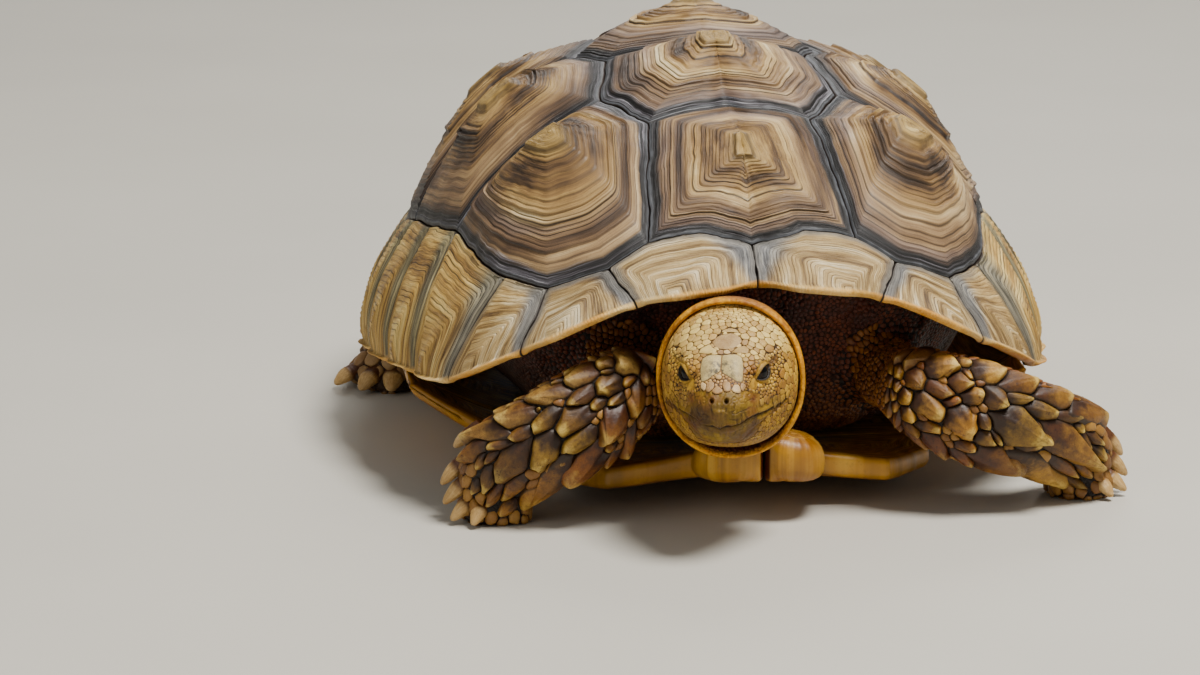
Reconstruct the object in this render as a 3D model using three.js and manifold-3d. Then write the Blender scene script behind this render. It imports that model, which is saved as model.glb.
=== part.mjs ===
// African spurred tortoise, life size, resting low on its four feet with the head half drawn in.
// Millimetres, +Z up, the animal faces -Y and its left side is +X. Straight carapace length 520, width about 420.
// The shell is a dome written in disc coordinates (a, b): the crown is the disc's centre and the rim its edge.
// Each horny plate is a polygon in that disc, raised to its growth centre, and built as a closed slab along the surface normal.
import * as THREE from "three";
import { mergeVertices } from "three/addons/utils/BufferGeometryUtils.js";
import Module from "manifold-3d";

const wasm = await Module();
wasm.setup();

// ---- driving dimensions -------------------------------------------------------------------------------------------
const CROWN_Z = 252; // top of the dome before the plates' growth centres are raised
const DOME_Y = 13; // fore and aft place of the crown
const HALF_WIDTH = 211; // nominal half width of the carapace
const HALF_LENGTH = 259; // nominal half length of the carapace
const PLATE_T = 12; // plate with the bone under it
const RIM_T = 5; // thickness at the rim
const GAP = 0.5; // half the gap between neighbouring plates
const NOTCH = 11; // depth of the nuchal notch
const BELLY_Z = 12; // underside of the plastron above the floor
const BELLY_T = 12;
const HEAD_AT = [-19.5, -262, 96]; // middle of the skin collar behind the head
const HEAD_YAW = -13.5; // degrees, towards the animal's right
const HEAD_PITCH = -6;
const HEAD_ROLL = 1.9; // degrees, right side down
const EYE_R = 8.2;
const EYE_AT = [16.7, 38.2, 16]; // sideways, forward and up from HEAD_AT
const MOUTH_H = -9; // level of the mouth slit in the head's frame
const MOUTH_BACK = 16; // how far forward of HEAD_AT the mouth's corners lie
const BRIDGE_X = 190; // half width over the bridges
const BRIDGE_RISE = 38; // how far the bridges turn up to meet the marginals
const LOBE_RISE = 12; // how far the plastron's front edge arches up at the middle
const GULAR_HALF = 40;
const GULAR_X = 5;
const GULAR_UP = 15; // how far the gular's top swells over the plastron's
const TRUNK_IN = 19; // depth of the trunk's top under the dome's surface
const TRUNK_LOW = 32; // underside of the trunk, just over the plastron
const CUT = 0.35; // thin cut between neighbouring flesh pieces

// ---- small helpers ------------------------------------------------------------------------------------------------
const rad = (d) => (d * Math.PI) / 180;
const add = (a, b, k = 1) => [a[0] + k * b[0], a[1] + k * b[1], a[2] + k * b[2]];
const sub = (a, b) => add(a, b, -1);
const dot = (a, b) => a[0] * b[0] + a[1] * b[1] + a[2] * b[2];
const cross = (a, b) => [a[1] * b[2] - a[2] * b[1], a[2] * b[0] - a[0] * b[2], a[0] * b[1] - a[1] * b[0]];
const unit = (a) => {
  const l = Math.hypot(...a) || 1;
  return [a[0] / l, a[1] / l, a[2] / l];
};
const lerp = (a, b, t) => a.map((v, i) => v * (1 - t) + b[i] * t);

// Smooth curve through a table: xs ascending, ys rows of numbers.
function through(xs, ys, x) {
  const n = xs.length;
  x = Math.min(Math.max(x, xs[0]), xs[n - 1]);
  let i = 0;
  while (i < n - 2 && x > xs[i + 1]) i++;
  const slope = (j) =>
    j === 0
      ? ys[1].map((v, k) => (v - ys[0][k]) / (xs[1] - xs[0]))
      : j === n - 1
        ? ys[n - 1].map((v, k) => (v - ys[n - 2][k]) / (xs[n - 1] - xs[n - 2]))
        : ys[j + 1].map((v, k) => (v - ys[j - 1][k]) / (xs[j + 1] - xs[j - 1]));
  const h = xs[i + 1] - xs[i],
    t = (x - xs[i]) / h,
    m0 = slope(i),
    m1 = slope(i + 1);
  return ys[i].map(
    (y0, k) =>
      (2 * t ** 3 - 3 * t * t + 1) * y0 +
      (t ** 3 - 2 * t * t + t) * h * m0[k] +
      (-2 * t ** 3 + 3 * t * t) * ys[i + 1][k] +
      (t ** 3 - t * t) * h * m1[k],
  );
}
const rows = (list) => list.map((v) => [v]);

// ---- shell surface ------------------------------------------------------------------------------------------------
const PROFILE_AT = [0, 0.2, 0.4, 0.6, 0.8, 0.9, 1];
// [share of the way out, share of the height], over the front, the side and the rear
const FRONT = [[0, 1], [0.22, 0.95], [0.45, 0.785], [0.66, 0.6], [0.86, 0.26], [0.93, 0.11], [1, 0]];
const SIDE = [[0, 1], [0.3, 0.945], [0.57, 0.79], [0.78, 0.55], [0.945, 0.26], [0.992, 0.12], [1, 0]];
const REAR = [[0, 1], [0.22, 0.965], [0.46, 0.84], [0.7, 0.64], [0.89, 0.34], [0.95, 0.17], [1, 0]];
const RIM_PHI = [0, 10, 20, 34, 49, 65, 90, 110, 130, 150, 168, 180]; // degrees round the rim from the front
const RIM_Z = rows([146, 143, 136, 109, 79, 70, 57, 49, 50, 60, 56, 50]);
const OUT_PHI = [0, 10, 20, 35, 47, 56, 66, 80, 92, 105, 120, 135, 150, 165, 180];
const OUT_K = rows([1.0, 1.012, 1.045, 1.105, 1.118, 1.065, 1.015, 0.985, 0.98, 0.99, 1.025, 1.06, 1.065, 1.03, 1.0]);

function rim(ca, cb) {
  const phi = (Math.atan2(Math.abs(ca), -cb) * 180) / Math.PI;
  const k = through(OUT_PHI, OUT_K, phi)[0];
  const x = HALF_WIDTH * k * ca;
  let y = HALF_LENGTH * k * cb;
  if (cb < 0) y += NOTCH * Math.exp(-((x / 15) ** 2));
  return [x, y, through(RIM_PHI, RIM_Z, phi)[0]];
}
function dome([a, b]) {
  const rho = Math.hypot(a, b),
    q = Math.max(rho, 1e-9);
  const ca = rho < 1e-9 ? 0 : a / q,
    cb = rho < 1e-9 ? -1 : b / q;
  const [x, y, z] = rim(ca, cb);
  const f = through(PROFILE_AT, FRONT, rho),
    s = through(PROFILE_AT, SIDE, rho),
    r = through(PROFILE_AT, REAR, rho);
  const wf = cb < 0 ? cb * cb : 0,
    wr = cb > 0 ? cb * cb : 0,
    ws = ca * ca;
  const g = f[0] * wf + s[0] * ws + r[0] * wr,
    h = f[1] * wf + s[1] * ws + r[1] * wr;
  return [x * g, DOME_Y + y * g, z + (CROWN_Z - z) * h];
}
function domeNormal([a, b]) {
  const rho = Math.hypot(a, b),
    k = Math.min(1, 0.992 / Math.max(rho, 1e-9)),
    p = [a * k, b * k],
    e = 0.008;
  const u = sub(dome([p[0] + e, p[1]]), dome([p[0] - e, p[1]]));
  const v = sub(dome([p[0], p[1] + e]), dome([p[0], p[1] - e]));
  return unit(cross(u, v));
}
// The disc coordinates of a plan point, by walking out along its direction.
function discOf([x, y]) {
  const u = x / HALF_WIDTH,
    v = (y - DOME_Y) / HALF_LENGTH,
    d = Math.hypot(u, v) || 1e-9,
    ca = u / d,
    cb = v / d,
    want = Math.hypot(x, y - DOME_Y);
  let lo = 0,
    hi = 1;
  for (let i = 0; i < 40; i++) {
    const m = (lo + hi) / 2,
      p = dome([m * ca, m * cb]);
    if (Math.hypot(p[0], p[1] - DOME_Y) < want) lo = m;
    else hi = m;
  }
  return [lo * ca, lo * cb];
}

// ---- where the plates' seams meet, as plan points on the animal's left, and places round the rim -------------------
const CORNER = {
  n0: [0, -212], n01: [31, -211], v1m: [61.5, -211.5], v12m: [0, -106], v12: [49, -121], v2c: [72.4, -78], v23m: [0, -22],
  v23: [62, -20], v3c: [76, 22], v34m: [0, 66], v34: [52, 66], v4c: [66, 106], v45m: [0, 150], v45: [40, 150], v5c: [76, 212],
  v5s: [34, 228], v5m: [0, 231], m12: [85, -215], m23: [119, -203], m34: [141, -173], m45: [161.5, -88], m56: [173, -43],
  m67: [179, 5], m78: [180, 55], m89: [173, 105], m910: [152, 155], m1011: [116, 193],
};
const RIM_AT = { r175: 174, r0: 0, r01: 7, r1: 13, r12: 19.5, r23: 36, r34: 48.5, r45: 60, r56: 73, r67: 87, r78: 100, r89: 113, r910: 127, r1011: 144, r11s: 167, r180: 180 };
const AT = {};
for (const k in CORNER) AT[k] = discOf(CORNER[k]);
for (const k in RIM_AT) AT[k] = [Math.sin(rad(RIM_AT[k])), -Math.cos(rad(RIM_AT[k]))];
const place = (name, side) => (name.startsWith("-") ? [-AT[name.slice(1)][0] * side, AT[name.slice(1)][1]] : [AT[name][0] * side, AT[name][1]]);

// ---- meshes -------------------------------------------------------------------------------------------------------
const group = new THREE.Group();
function geometryOf(vertices, triangles) {
  const g = new THREE.BufferGeometry();
  g.setAttribute("position", new THREE.Float32BufferAttribute(vertices.flat(), 3));
  g.setIndex(triangles.flat());
  return g;
}
function solidOf(geometry) {
  const g = geometry.clone();
  g.deleteAttribute("normal");
  g.deleteAttribute("uv");
  const m = mergeVertices(g, 1e-4);
  const s = new wasm.Manifold(
    new wasm.Mesh({ numProp: 3, vertProperties: new Float32Array(m.attributes.position.array), triVerts: new Uint32Array(m.index.array) }),
  );
  if (s.volume() < 0) {
    const t = new Uint32Array(m.index.array);
    for (let i = 0; i < t.length; i += 3) [t[i + 1], t[i + 2]] = [t[i + 2], t[i + 1]];
    return new wasm.Manifold(new wasm.Mesh({ numProp: 3, vertProperties: new Float32Array(m.attributes.position.array), triVerts: t }));
  }
  return s;
}
const solid = (vertices, triangles) => solidOf(geometryOf(vertices, triangles));
function largest(s) {
  const bodies = s.decompose();
  return bodies.reduce((a, b) => (b.volume() > a.volume() ? b : a));
}
const pieces = [];
function keep(name, s, colour, roughness) {
  pieces.push({ name, s, colour, roughness });
  return s;
}
const COLOUR = { shell: 0x8f7450, rim: 0xab8c5c, belly: 0xc79a52, flesh: 0x7d5a36, head: 0xb08a4a, claw: 0x8d7a5c, eye: 0x15110d };

// A closed slab over a star-shaped polygon of the disc: outer face raised towards the growth centre, inner face PLATE_T under.
function plate(polygon, centre, raise, steps = 2) {
  const mid = polygon.reduce((s, p) => [s[0] + p[0] / polygon.length, s[1] + p[1] / polygon.length], [0, 0]);
  const edge = [];
  polygon.forEach((p, i) => {
    const q = polygon[(i + 1) % polygon.length];
    for (let k = 0; k < steps; k++) edge.push([p[0] + ((q[0] - p[0]) * k) / steps, p[1] + ((q[1] - p[1]) * k) / steps]);
  });
  const mm = (p, q) => Math.hypot((p[0] - q[0]) * 200, (p[1] - q[1]) * 230);
  const inset = edge.map((p) => {
    const k = 1 - (1.9 * GAP) / mm(p, mid);
    return [mid[0] + (p[0] - mid[0]) * k, mid[1] + (p[1] - mid[1]) * k];
  });
  const n = inset.length,
    rings = [0.24, 0.6, 1],
    vertices = [],
    triangles = [];
  const put = (p, up) => vertices.push(add(dome(p), domeNormal(p), up)) - 1;
  const at = (p, r) => [centre[0] + (p[0] - centre[0]) * r, centre[1] + (p[1] - centre[1]) * r];
  const lift = (r) => (r <= 0.24 ? raise : raise * (1 - (r - 0.24) / 0.76) ** 1.25);
  const top = put(centre, raise),
    outer = rings.map((r) => inset.map((p) => put(at(p, r), lift(r)))),
    inner = [0.55, 1].map((r) => inset.map((p) => put(at(p, r), -PLATE_T))),
    under = put(centre, -PLATE_T);
  for (let i = 0; i < n; i++) {
    const j = (i + 1) % n;
    triangles.push([top, outer[0][i], outer[0][j]]);
    for (let k = 0; k + 1 < rings.length; k++)
      triangles.push([outer[k][i], outer[k + 1][i], outer[k + 1][j]], [outer[k][i], outer[k + 1][j], outer[k][j]]);
    triangles.push([outer[2][i], inner[1][i], inner[1][j]], [outer[2][i], inner[1][j], outer[2][j]]);
    triangles.push([inner[1][i], inner[0][i], inner[0][j]], [inner[1][i], inner[0][j], inner[1][j]]);
    triangles.push([inner[0][i], under, inner[0][j]]);
  }
  return solid(vertices, triangles);
}

// A strip of marginals: columns from the seam to the rim, slab along the normal.
function strip(columns, side, gapStart = true, gapEnd = true) {
  const cols = [];
  columns.forEach(([inner, outer], i) => {
    const a = [place(inner, side), place(outer, side)];
    if (i) {
      const b = cols[cols.length - 1];
      cols.push([lerp(b[0], a[0], 0.5), lerp(b[1], a[1], 0.5)]);
    }
    cols.push(a);
  });
  // the rim stays on the disc's edge
  cols.forEach((c) => {
    const l = Math.hypot(...c[1]);
    c[1] = [c[1][0] / l, c[1][1] / l];
  });
  const shift = (c, d, k) => c.map((p, i) => lerp(p, d[i], k / Math.hypot((p[0] - d[i][0]) * 200, (p[1] - d[i][1]) * 230)));
  const first = cols[0],
    last = cols[cols.length - 1];
  if (gapStart) cols[0] = shift(first, cols[1], GAP);
  if (gapEnd) cols[cols.length - 1] = shift(last, cols[cols.length - 2], GAP);
  const across = [0, 0.4, 0.75, 1],
    vertices = [],
    grid = [[], []];
  cols.forEach((c, i) => {
    grid[0][i] = [];
    grid[1][i] = [];
    across.forEach((v, k) => {
      const vv = k === 0 ? (1.9 * GAP) / Math.hypot((c[0][0] - c[1][0]) * 200, (c[0][1] - c[1][1]) * 230) : v;
      const p = lerp(c[0], c[1], vv);
      const nrm = domeNormal(p),
        on = dome(p),
        bump = k === 1 ? 2.2 : k === 2 ? 1.2 : 0,
        t = PLATE_T + (RIM_T - PLATE_T) * Math.max(0, v * 1.15 - 0.15);
      grid[0][i].push(vertices.push(add(on, nrm, bump)) - 1);
      grid[1][i].push(vertices.push(add(on, nrm, -t)) - 1);
    });
  });
  const triangles = [];
  const quad = (a, b, c, d) => triangles.push([a, b, c], [a, c, d]);
  const m = cols.length,
    w = across.length;
  for (let i = 0; i + 1 < m; i++) {
    for (let k = 0; k + 1 < w; k++) {
      quad(grid[0][i][k], grid[0][i][k + 1], grid[0][i + 1][k + 1], grid[0][i + 1][k]);
      quad(grid[1][i][k], grid[1][i + 1][k], grid[1][i + 1][k + 1], grid[1][i][k + 1]);
    }
    quad(grid[0][i][0], grid[0][i + 1][0], grid[1][i + 1][0], grid[1][i][0]);
    quad(grid[0][i][w - 1], grid[1][i][w - 1], grid[1][i + 1][w - 1], grid[0][i + 1][w - 1]);
  }
  for (let k = 0; k + 1 < w; k++) {
    quad(grid[0][0][k], grid[1][0][k], grid[1][0][k + 1], grid[0][0][k + 1]);
    quad(grid[0][m - 1][k], grid[0][m - 1][k + 1], grid[1][m - 1][k + 1], grid[1][m - 1][k]);
  }
  return solid(vertices, triangles);
}

// ---- carapace: five vertebrals, four costals a side, the marginals in three runs a side, and the supracaudal --------
const VERTEBRALS = [
  { ring: ["v12", "v1m", "n01", "n0", "-n01", "-v1m", "-v12", "v12m"], at: [0, -163], raise: 11 },
  { ring: ["v23", "v2c", "v12", "v12m", "-v12", "-v2c", "-v23", "v23m"], at: [0, -51], raise: 13 },
  { ring: ["v34", "v3c", "v23", "v23m", "-v23", "-v3c", "-v34", "v34m"], at: [0, 35], raise: 15 },
  { ring: ["v45", "v4c", "v34", "v34m", "-v34", "-v4c", "-v45", "v45m"], at: [0, 114], raise: 12 },
  { ring: ["v5s", "v5c", "v45", "v45m", "-v45", "-v5c", "-v5s", "v5m"], at: [0, 184], raise: 9 },
];
VERTEBRALS.forEach(({ ring, at, raise }, i) =>
  keep("vertebral_" + (i + 1), plate(ring.map((n) => place(n, 1)), discOf(at), raise), COLOUR.shell, 0.5),
);
const COSTALS = [
  { ring: ["v1m", "v12", "v2c", "m45", "m34", "m23", "m12"], at: [101, -118], raise: 14 },
  { ring: ["v2c", "v23", "v3c", "m67", "m56", "m45"], at: [118, -14], raise: 13 },
  { ring: ["v3c", "v34", "v4c", "m89", "m78", "m67"], at: [116, 66], raise: 12 },
  { ring: ["v4c", "v45", "v5c", "m1011", "m910", "m89"], at: [102, 138], raise: 10 },
];
const MARGINALS = {
  front: [["n0", "r0"], ["n01", "r01"], ["v1m", "r1"], ["m12", "r12"], ["m23", "r23"], ["m34", "r34"]],
  side: [["m34", "r34"], ["m45", "r45"], ["m56", "r56"], ["m67", "r67"], ["m78", "r78"]],
  rear: [["m78", "r78"], ["m89", "r89"], ["m910", "r910"], ["m1011", "r1011"], ["v5c", "r11s"]],
};
for (const [side, word] of [[1, "left"], [-1, "right"]]) {
  COSTALS.forEach(({ ring, at, raise }, i) =>
    keep(`costal_${word}_${i + 1}`, plate(ring.map((n) => place(n, side)), discOf([at[0] * side, at[1]]), raise), COLOUR.shell, 0.5),
  );
  for (const run in MARGINALS) keep(`marginals_${run}_${word}`, strip(MARGINALS[run], side), COLOUR.rim, 0.5);
}
keep("supracaudal", strip([["-v5c", "-r11s"], ["-v5s", "-r175"], ["v5m", "r180"], ["v5s", "r175"], ["v5c", "r11s"]], 1), COLOUR.rim, 0.5);

// ---- plastron: a slab over the plan, flat underneath and turned up at the sides into the bridges --------------------
const BRIDGE_AT = [-118, 84]; // where the bridge starts and ends along the body
const LOBE = [[-206, 84], [-196, 101], [-170, 114], [-135, 121], [-100, 124], [0, 124], [80, 122], [120, 117], [160, 106], [190, 88], [204, 62]];
const lobeHalf = (y) => through(LOBE.map((p) => p[0]), LOBE.map((p) => [p[1]]), y)[0];
function plastronHalf(y) {
  const inBridge = Math.min(1, Math.max(0, (y - BRIDGE_AT[0]) / 26)) * Math.min(1, Math.max(0, (BRIDGE_AT[1] - y) / 24));
  const smooth = inBridge * inBridge * (3 - 2 * inBridge);
  return lobeHalf(y) + smooth * (BRIDGE_X - lobeHalf(y));
}
const bellyZ = (x, y) => {
  const out = Math.max(0, (Math.abs(x) - 112) / (BRIDGE_X - 112)),
    front = Math.max(0, (-y - 120) / 86);
  return BELLY_Z + BRIDGE_RISE * out ** 1.35 + LOBE_RISE * front * front * Math.exp(-((x / 72) ** 2));
};
function bellySlab(y0, y1, count) {
  const vertices = [],
    low = [],
    high = [],
    across = [-1, -0.84, -0.62, -0.25, 0.25, 0.62, 0.84, 1];
  for (let i = 0; i <= count; i++) {
    const y = y0 + CUT + ((y1 - y0 - 2 * CUT) * i) / count,
      half = plastronHalf(y);
    const notch = y > 150 ? Math.max(0, (y - 150) / 54) : 0;
    low.push([]);
    high.push([]);
    for (const v of across) {
      const x = v * half,
        yy = y - notch * 26 * Math.max(0, 1 - Math.abs(v) / 0.55);
      const z = bellyZ(x, y),
        t = BELLY_T - 4 * Math.max(0, (Math.abs(x) - 124) / (BRIDGE_X - 124)) + 3 * Math.max(0, (-y - 120) / 86);
      low[i].push(vertices.push([x, yy, z]) - 1);
      high[i].push(vertices.push([x, yy, z + t]) - 1);
    }
  }
  const triangles = [],
    quad = (a, b, c, d) => triangles.push([a, b, c], [a, c, d]),
    w = across.length;
  for (let i = 0; i < count; i++) {
    for (let k = 0; k + 1 < w; k++) {
      quad(low[i][k], low[i + 1][k], low[i + 1][k + 1], low[i][k + 1]);
      quad(high[i][k], high[i][k + 1], high[i + 1][k + 1], high[i + 1][k]);
    }
    quad(low[i][0], high[i][0], high[i + 1][0], low[i + 1][0]);
    quad(low[i][w - 1], low[i + 1][w - 1], high[i + 1][w - 1], high[i][w - 1]);
  }
  for (let k = 0; k + 1 < w; k++) {
    quad(low[0][k], low[0][k + 1], high[0][k + 1], high[0][k]);
    quad(low[count][k], high[count][k], high[count][k + 1], low[count][k + 1]);
  }
  return solid(vertices, triangles);
}
keep("plastron_front", bellySlab(-206, -62, 7), COLOUR.belly, 0.5);
keep("plastron_middle", bellySlab(-62, 74, 4), COLOUR.belly, 0.5);
keep("plastron_rear", bellySlab(74, 204, 6), COLOUR.belly, 0.5);

// ---- lofts --------------------------------------------------------------------------------------------------------
const power = (v, e) => Math.sign(v) * Math.abs(v) ** (2 / e);
// stations: { c, a, b, low?, e? } with a and b as half-axis vectors; low scales the half below the middle.
function loft(stations, n) {
  const vertices = [],
    triangles = [];
  for (const { c, a, b, low = 1, e = 2 } of stations)
    for (let i = 0; i < n; i++) {
      const t = (2 * Math.PI * i) / n,
        s = power(Math.sin(t), e);
      vertices.push(add(add(c, a, power(Math.cos(t), e)), b, s < 0 ? s * low : s));
    }
  const m = stations.length,
    first = vertices.push(stations[0].c) - 1,
    last = vertices.push(stations[m - 1].c) - 1;
  for (let i = 0; i < n; i++) {
    const j = (i + 1) % n;
    triangles.push([first, i, j], [last, (m - 1) * n + j, (m - 1) * n + i]);
    for (let k = 0; k + 1 < m; k++) triangles.push([k * n + i, (k + 1) * n + i, (k + 1) * n + j], [k * n + i, (k + 1) * n + j, k * n + j]);
  }
  return solid(vertices, triangles);
}
// A limb: rows of [x, y, z, half width, half depth] along its length; the width lies across `front`.
const SQUARENESS = 2.3;
function section(rowsIn, front, u, grow = 0) {
  const xs = rowsIn.map((_, i) => i),
    at = (v) => through(xs, rowsIn, v),
    p = at(u),
    tangent = unit(sub(at(Math.min(u + 0.15, xs.length - 1)).slice(0, 3), at(Math.max(u - 0.15, 0)).slice(0, 3))),
    wide = unit(cross(tangent, front)),
    deep = unit(cross(wide, tangent));
  return { c: p.slice(0, 3), a: wide.map((v) => v * (p[3] + grow)), b: deep.map((v) => v * (p[4] + grow)), e: SQUARENESS, tangent, wide, deep };
}
function limb(rowsIn, front, n, grow = 0, between = 2, round = [1, 0]) {
  const count = (rowsIn.length - 1) * between,
    stations = [];
  for (let i = 0; i <= count; i++) stations.push(section(rowsIn, front, i / between, grow));
  const cap = (s, way) =>
    [0.5, 0.83].map((k) => ({ ...s, c: add(s.c, s.tangent, way * k * Math.min(Math.hypot(...s.a), Math.hypot(...s.b)) * 0.8), a: s.a.map((v) => v * Math.sqrt(1 - k * k)), b: s.b.map((v) => v * Math.sqrt(1 - k * k)) }));
  if (round[0]) stations.unshift(...cap(stations[0], -1).reverse());
  if (round[1]) stations.push(...cap(stations[stations.length - 1], 1));
  return loft(stations, n);
}
function boxAt(x0, x1, y0, y1, z0, z1) {
  const g = new THREE.BoxGeometry(x1 - x0, y1 - y0, z1 - z0);
  g.translate((x0 + x1) / 2, (y0 + y1) / 2, (z0 + z1) / 2);
  return solidOf(g);
}
function ball(c, r, w = 12, h = 8) {
  const g = new THREE.SphereGeometry(r, w, h);
  g.translate(...c);
  return solidOf(g);
}
const below = boxAt(-400, 400, -500, 500, -100, 0);

// ---- head, in its own frame: sideways, forward, up ------------------------------------------------------------------
const yaw = rad(HEAD_YAW),
  pitch = rad(HEAD_PITCH);
const HEAD_F = [Math.sin(yaw) * Math.cos(pitch), -Math.cos(yaw) * Math.cos(pitch), Math.sin(pitch)],
  LEVEL_S = [Math.cos(yaw), Math.sin(yaw), 0],
  LEVEL_U = cross(HEAD_F, LEVEL_S),
  HEAD_S = add(LEVEL_S.map((v) => v * Math.cos(rad(HEAD_ROLL))), LEVEL_U, Math.sin(rad(HEAD_ROLL))),
  HEAD_U = cross(HEAD_F, HEAD_S);
const head = (s, f, u) => add(add(add(HEAD_AT, HEAD_S, s), HEAD_F, f), HEAD_U, u);
const vec = (s, f, u) => sub(head(s, f, u), HEAD_AT);
// [forward, half width, level of the widest line, top, bottom, squareness]
const HEAD_ROWS = [
  [-2, 38.5, 2, 42.5, -37, 2.2],
  [10, 39, 1, 41, -36, 2.2],
  [20, 37, 1, 37.5, -34, 2.3],
  [30, 32.5, 0.5, 33, -31, 2.6],
  [40, 27.5, 0, 28, -27.5, 2.9],
  [50, 22.8, -1, 21.8, -23, 2.7],
  [58, 19, -1.5, 16, -19, 2.5],
  [64, 15, -1, 11.6, -15, 2.4],
  [68, 10, -0.5, 7, -10.5, 2.3],
  [69.8, 5, 0, 3.2, -5.4, 2.2],
];
function headSolid(grow = 0) {
  const stations = [];
  const count = 12;
  for (let i = 0; i <= count; i++) {
    const [f, w, mid, top, bottom, e] = through(HEAD_ROWS.map((_, k) => k), HEAD_ROWS, (i / count) * (HEAD_ROWS.length - 1));
    stations.push({ c: head(0, f, mid), a: vec(w + grow, 0, 0), b: vec(0, 0, top - mid + grow), low: (mid - bottom + grow) / (top - mid + grow), e });
  }
  return loft(stations, 20);
}
const eyes = [-1, 1].map((s) => head(EYE_AT[0] * s, EYE_AT[1], EYE_AT[2]));
keep("eye_right", ball(eyes[0], EYE_R), COLOUR.eye, 0.15);
keep("eye_left", ball(eyes[1], EYE_R), COLOUR.eye, 0.15);
let skull = headSolid();
for (const e of eyes) skull = skull.subtract(ball(e, EYE_R + CUT));
function headBox(f0, f1, u0, u1, s0 = -80, s1 = 80) {
  const g = new THREE.BoxGeometry(1, 1, 1);
  const p = g.attributes.position;
  for (let i = 0; i < p.count; i++) p.setXYZ(i, ...head(p.getX(i) < 0 ? s0 : s1, p.getY(i) < 0 ? f0 : f1, p.getZ(i) < 0 ? u0 : u1));
  return solidOf(g);
}
keep("lower_jaw", largest(skull.intersect(headBox(MOUTH_BACK + CUT, 120, -90, MOUTH_H - CUT / 2))), COLOUR.head, 0.5);
keep("head", largest(skull.subtract(headBox(MOUTH_BACK, 120, -90, MOUTH_H + CUT / 2))), COLOUR.head, 0.5);

// ---- neck with the skin collar round the back of the head -----------------------------------------------------------
const COLLAR = [[7, 40.5, 44.5, 0.5], [3, 42.8, 46.8, 0.5], [-3, 42.2, 46, 0], [-8, 39.5, 42.5, -1], [-13, 37, 36.5, -5]]; // forward, half width, half height, up
const COLLAR_TILT = 5; // the collar's lower edge lies this much further forward, its upper edge further back
const NECK = [[-14, -236, 86, 35, 35], [-11, -214, 84, 37, 37], [-5, -185, 84, 37, 38], [0, -140, 86, 34, 34]]; // x, y, z, half width, half height
function neckSolid(grow = 0) {
  const stations = COLLAR.map(([f, w, h, u]) => ({ c: head(0, f, u), a: vec(w + grow, 0, 0), b: vec(0, -COLLAR_TILT, h + grow) }));
  for (const [x, y, z, w, h] of NECK) stations.push({ c: [x, y - (y === -140 ? -grow : 0), z], a: [w + grow, 0, 0], b: [0, 0, h + grow], low: 0.72 });
  return loft(stations, 20);
}
keep("neck", largest(neckSolid().subtract(headSolid(CUT))), COLOUR.flesh, 0.6);

// ---- legs: rows of x, y, z, half width, half depth --------------------------------------------------------------------
const LEGS = {
  leg_front_right: {
    front: [0, -1, 0],
    lower: [[-68, -211, 82, 27, 21], [-83, -220, 73.5, 32, 22], [-103, -224, 62, 34, 23], [-122, -222, 51.5, 32.5, 23], [-138, -216, 43, 31, 23], [-148, -209, 31, 28.5, 22], [-150, -205, 14, 23, 21], [-149, -202, -8, 21, 20]],
    upper: [[-78, -150, 78, 24, 24], [-75, -180, 78, 25, 24], [-71, -200, 79, 20, 22]],
  },
  leg_front_left: {
    front: [0, -1, 0],
    lower: [[89, -212, 78, 26, 21], [110, -221, 68.5, 33, 22], [137, -224, 59, 34.5, 23], [163, -217, 49.5, 32, 23], [184, -207, 41, 29.5, 22], [197, -196, 29, 26.5, 21], [202, -189, 12, 22, 20], [202, -186, -8, 20, 20]],
    upper: [[88, -150, 74, 24, 24], [89, -180, 74, 25, 24], [92, -200, 75, 20, 22]],
  },
  leg_rear_right: {
    front: [-0.5, -0.86, 0],
    lower: [[-104, 128, 64, 30, 31], [-130, 140, 46, 27, 30], [-152, 146, 27, 25, 30], [-176, 146, 12, 28, 31], [-189, 142, -8, 29, 31]],
  },
  leg_rear_left: {
    front: [0.5, -0.86, 0],
    lower: [[104, 128, 64, 30, 31], [130, 140, 46, 27, 30], [152, 146, 27, 25, 30], [176, 146, 12, 28, 31], [189, 142, -8, 29, 31]],
  },
};
const side = (name) => (name.includes("left") ? -1 : 1);
function legSolid(name, grow = 0) {
  const { front, lower, upper } = LEGS[name];
  let s = limb(lower, front, 14, grow, name.includes("rear") ? 2 : 1.5, [1, 0]);
  if (upper) s = s.add(limb(upper.map((r, i) => (i ? r : [r[0], r[1] + 3 * grow, ...r.slice(2)])), [0, 0, 1], 12, grow, 1, [0, 0]));
  return s;
}
for (const name in LEGS) keep(name, largest(legSolid(name).subtract(below).subtract(neckSolid(CUT))), COLOUR.flesh, 0.6);

// ---- claws: blunt nails set round the foot ---------------------------------------------------------------------------
// [degrees round the foot in plan, counted from straight out towards the front, height, lean down, length, half width, half depth]
const FRONT_CLAWS = [[-20, 47, 0.8, 13, 4, 4], [-5, 29.8, 1.0, 16, 4.6, 4.4], [6, 18.6, 0.9, 16, 4.7, 4.6], [24, 9.5, 0.6, 14, 4.8, 4.4], [56, 8, 0.5, 12, 4.8, 4.2]];
const REAR_CLAWS = [[20, 8, 0.35, 13, 6.2, 5], [48, 9, 0.35, 14, 6.8, 5.2], [76, 9, 0.35, 14, 6.8, 5.2], [104, 8, 0.3, 12, 6, 4.8]];
const CLAWS = { claw_front_right_: ["leg_front_right", FRONT_CLAWS], claw_front_left_: ["leg_front_left", FRONT_CLAWS], claw_rear_right_: ["leg_rear_right", REAR_CLAWS], claw_rear_left_: ["leg_rear_left", REAR_CLAWS] };
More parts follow.
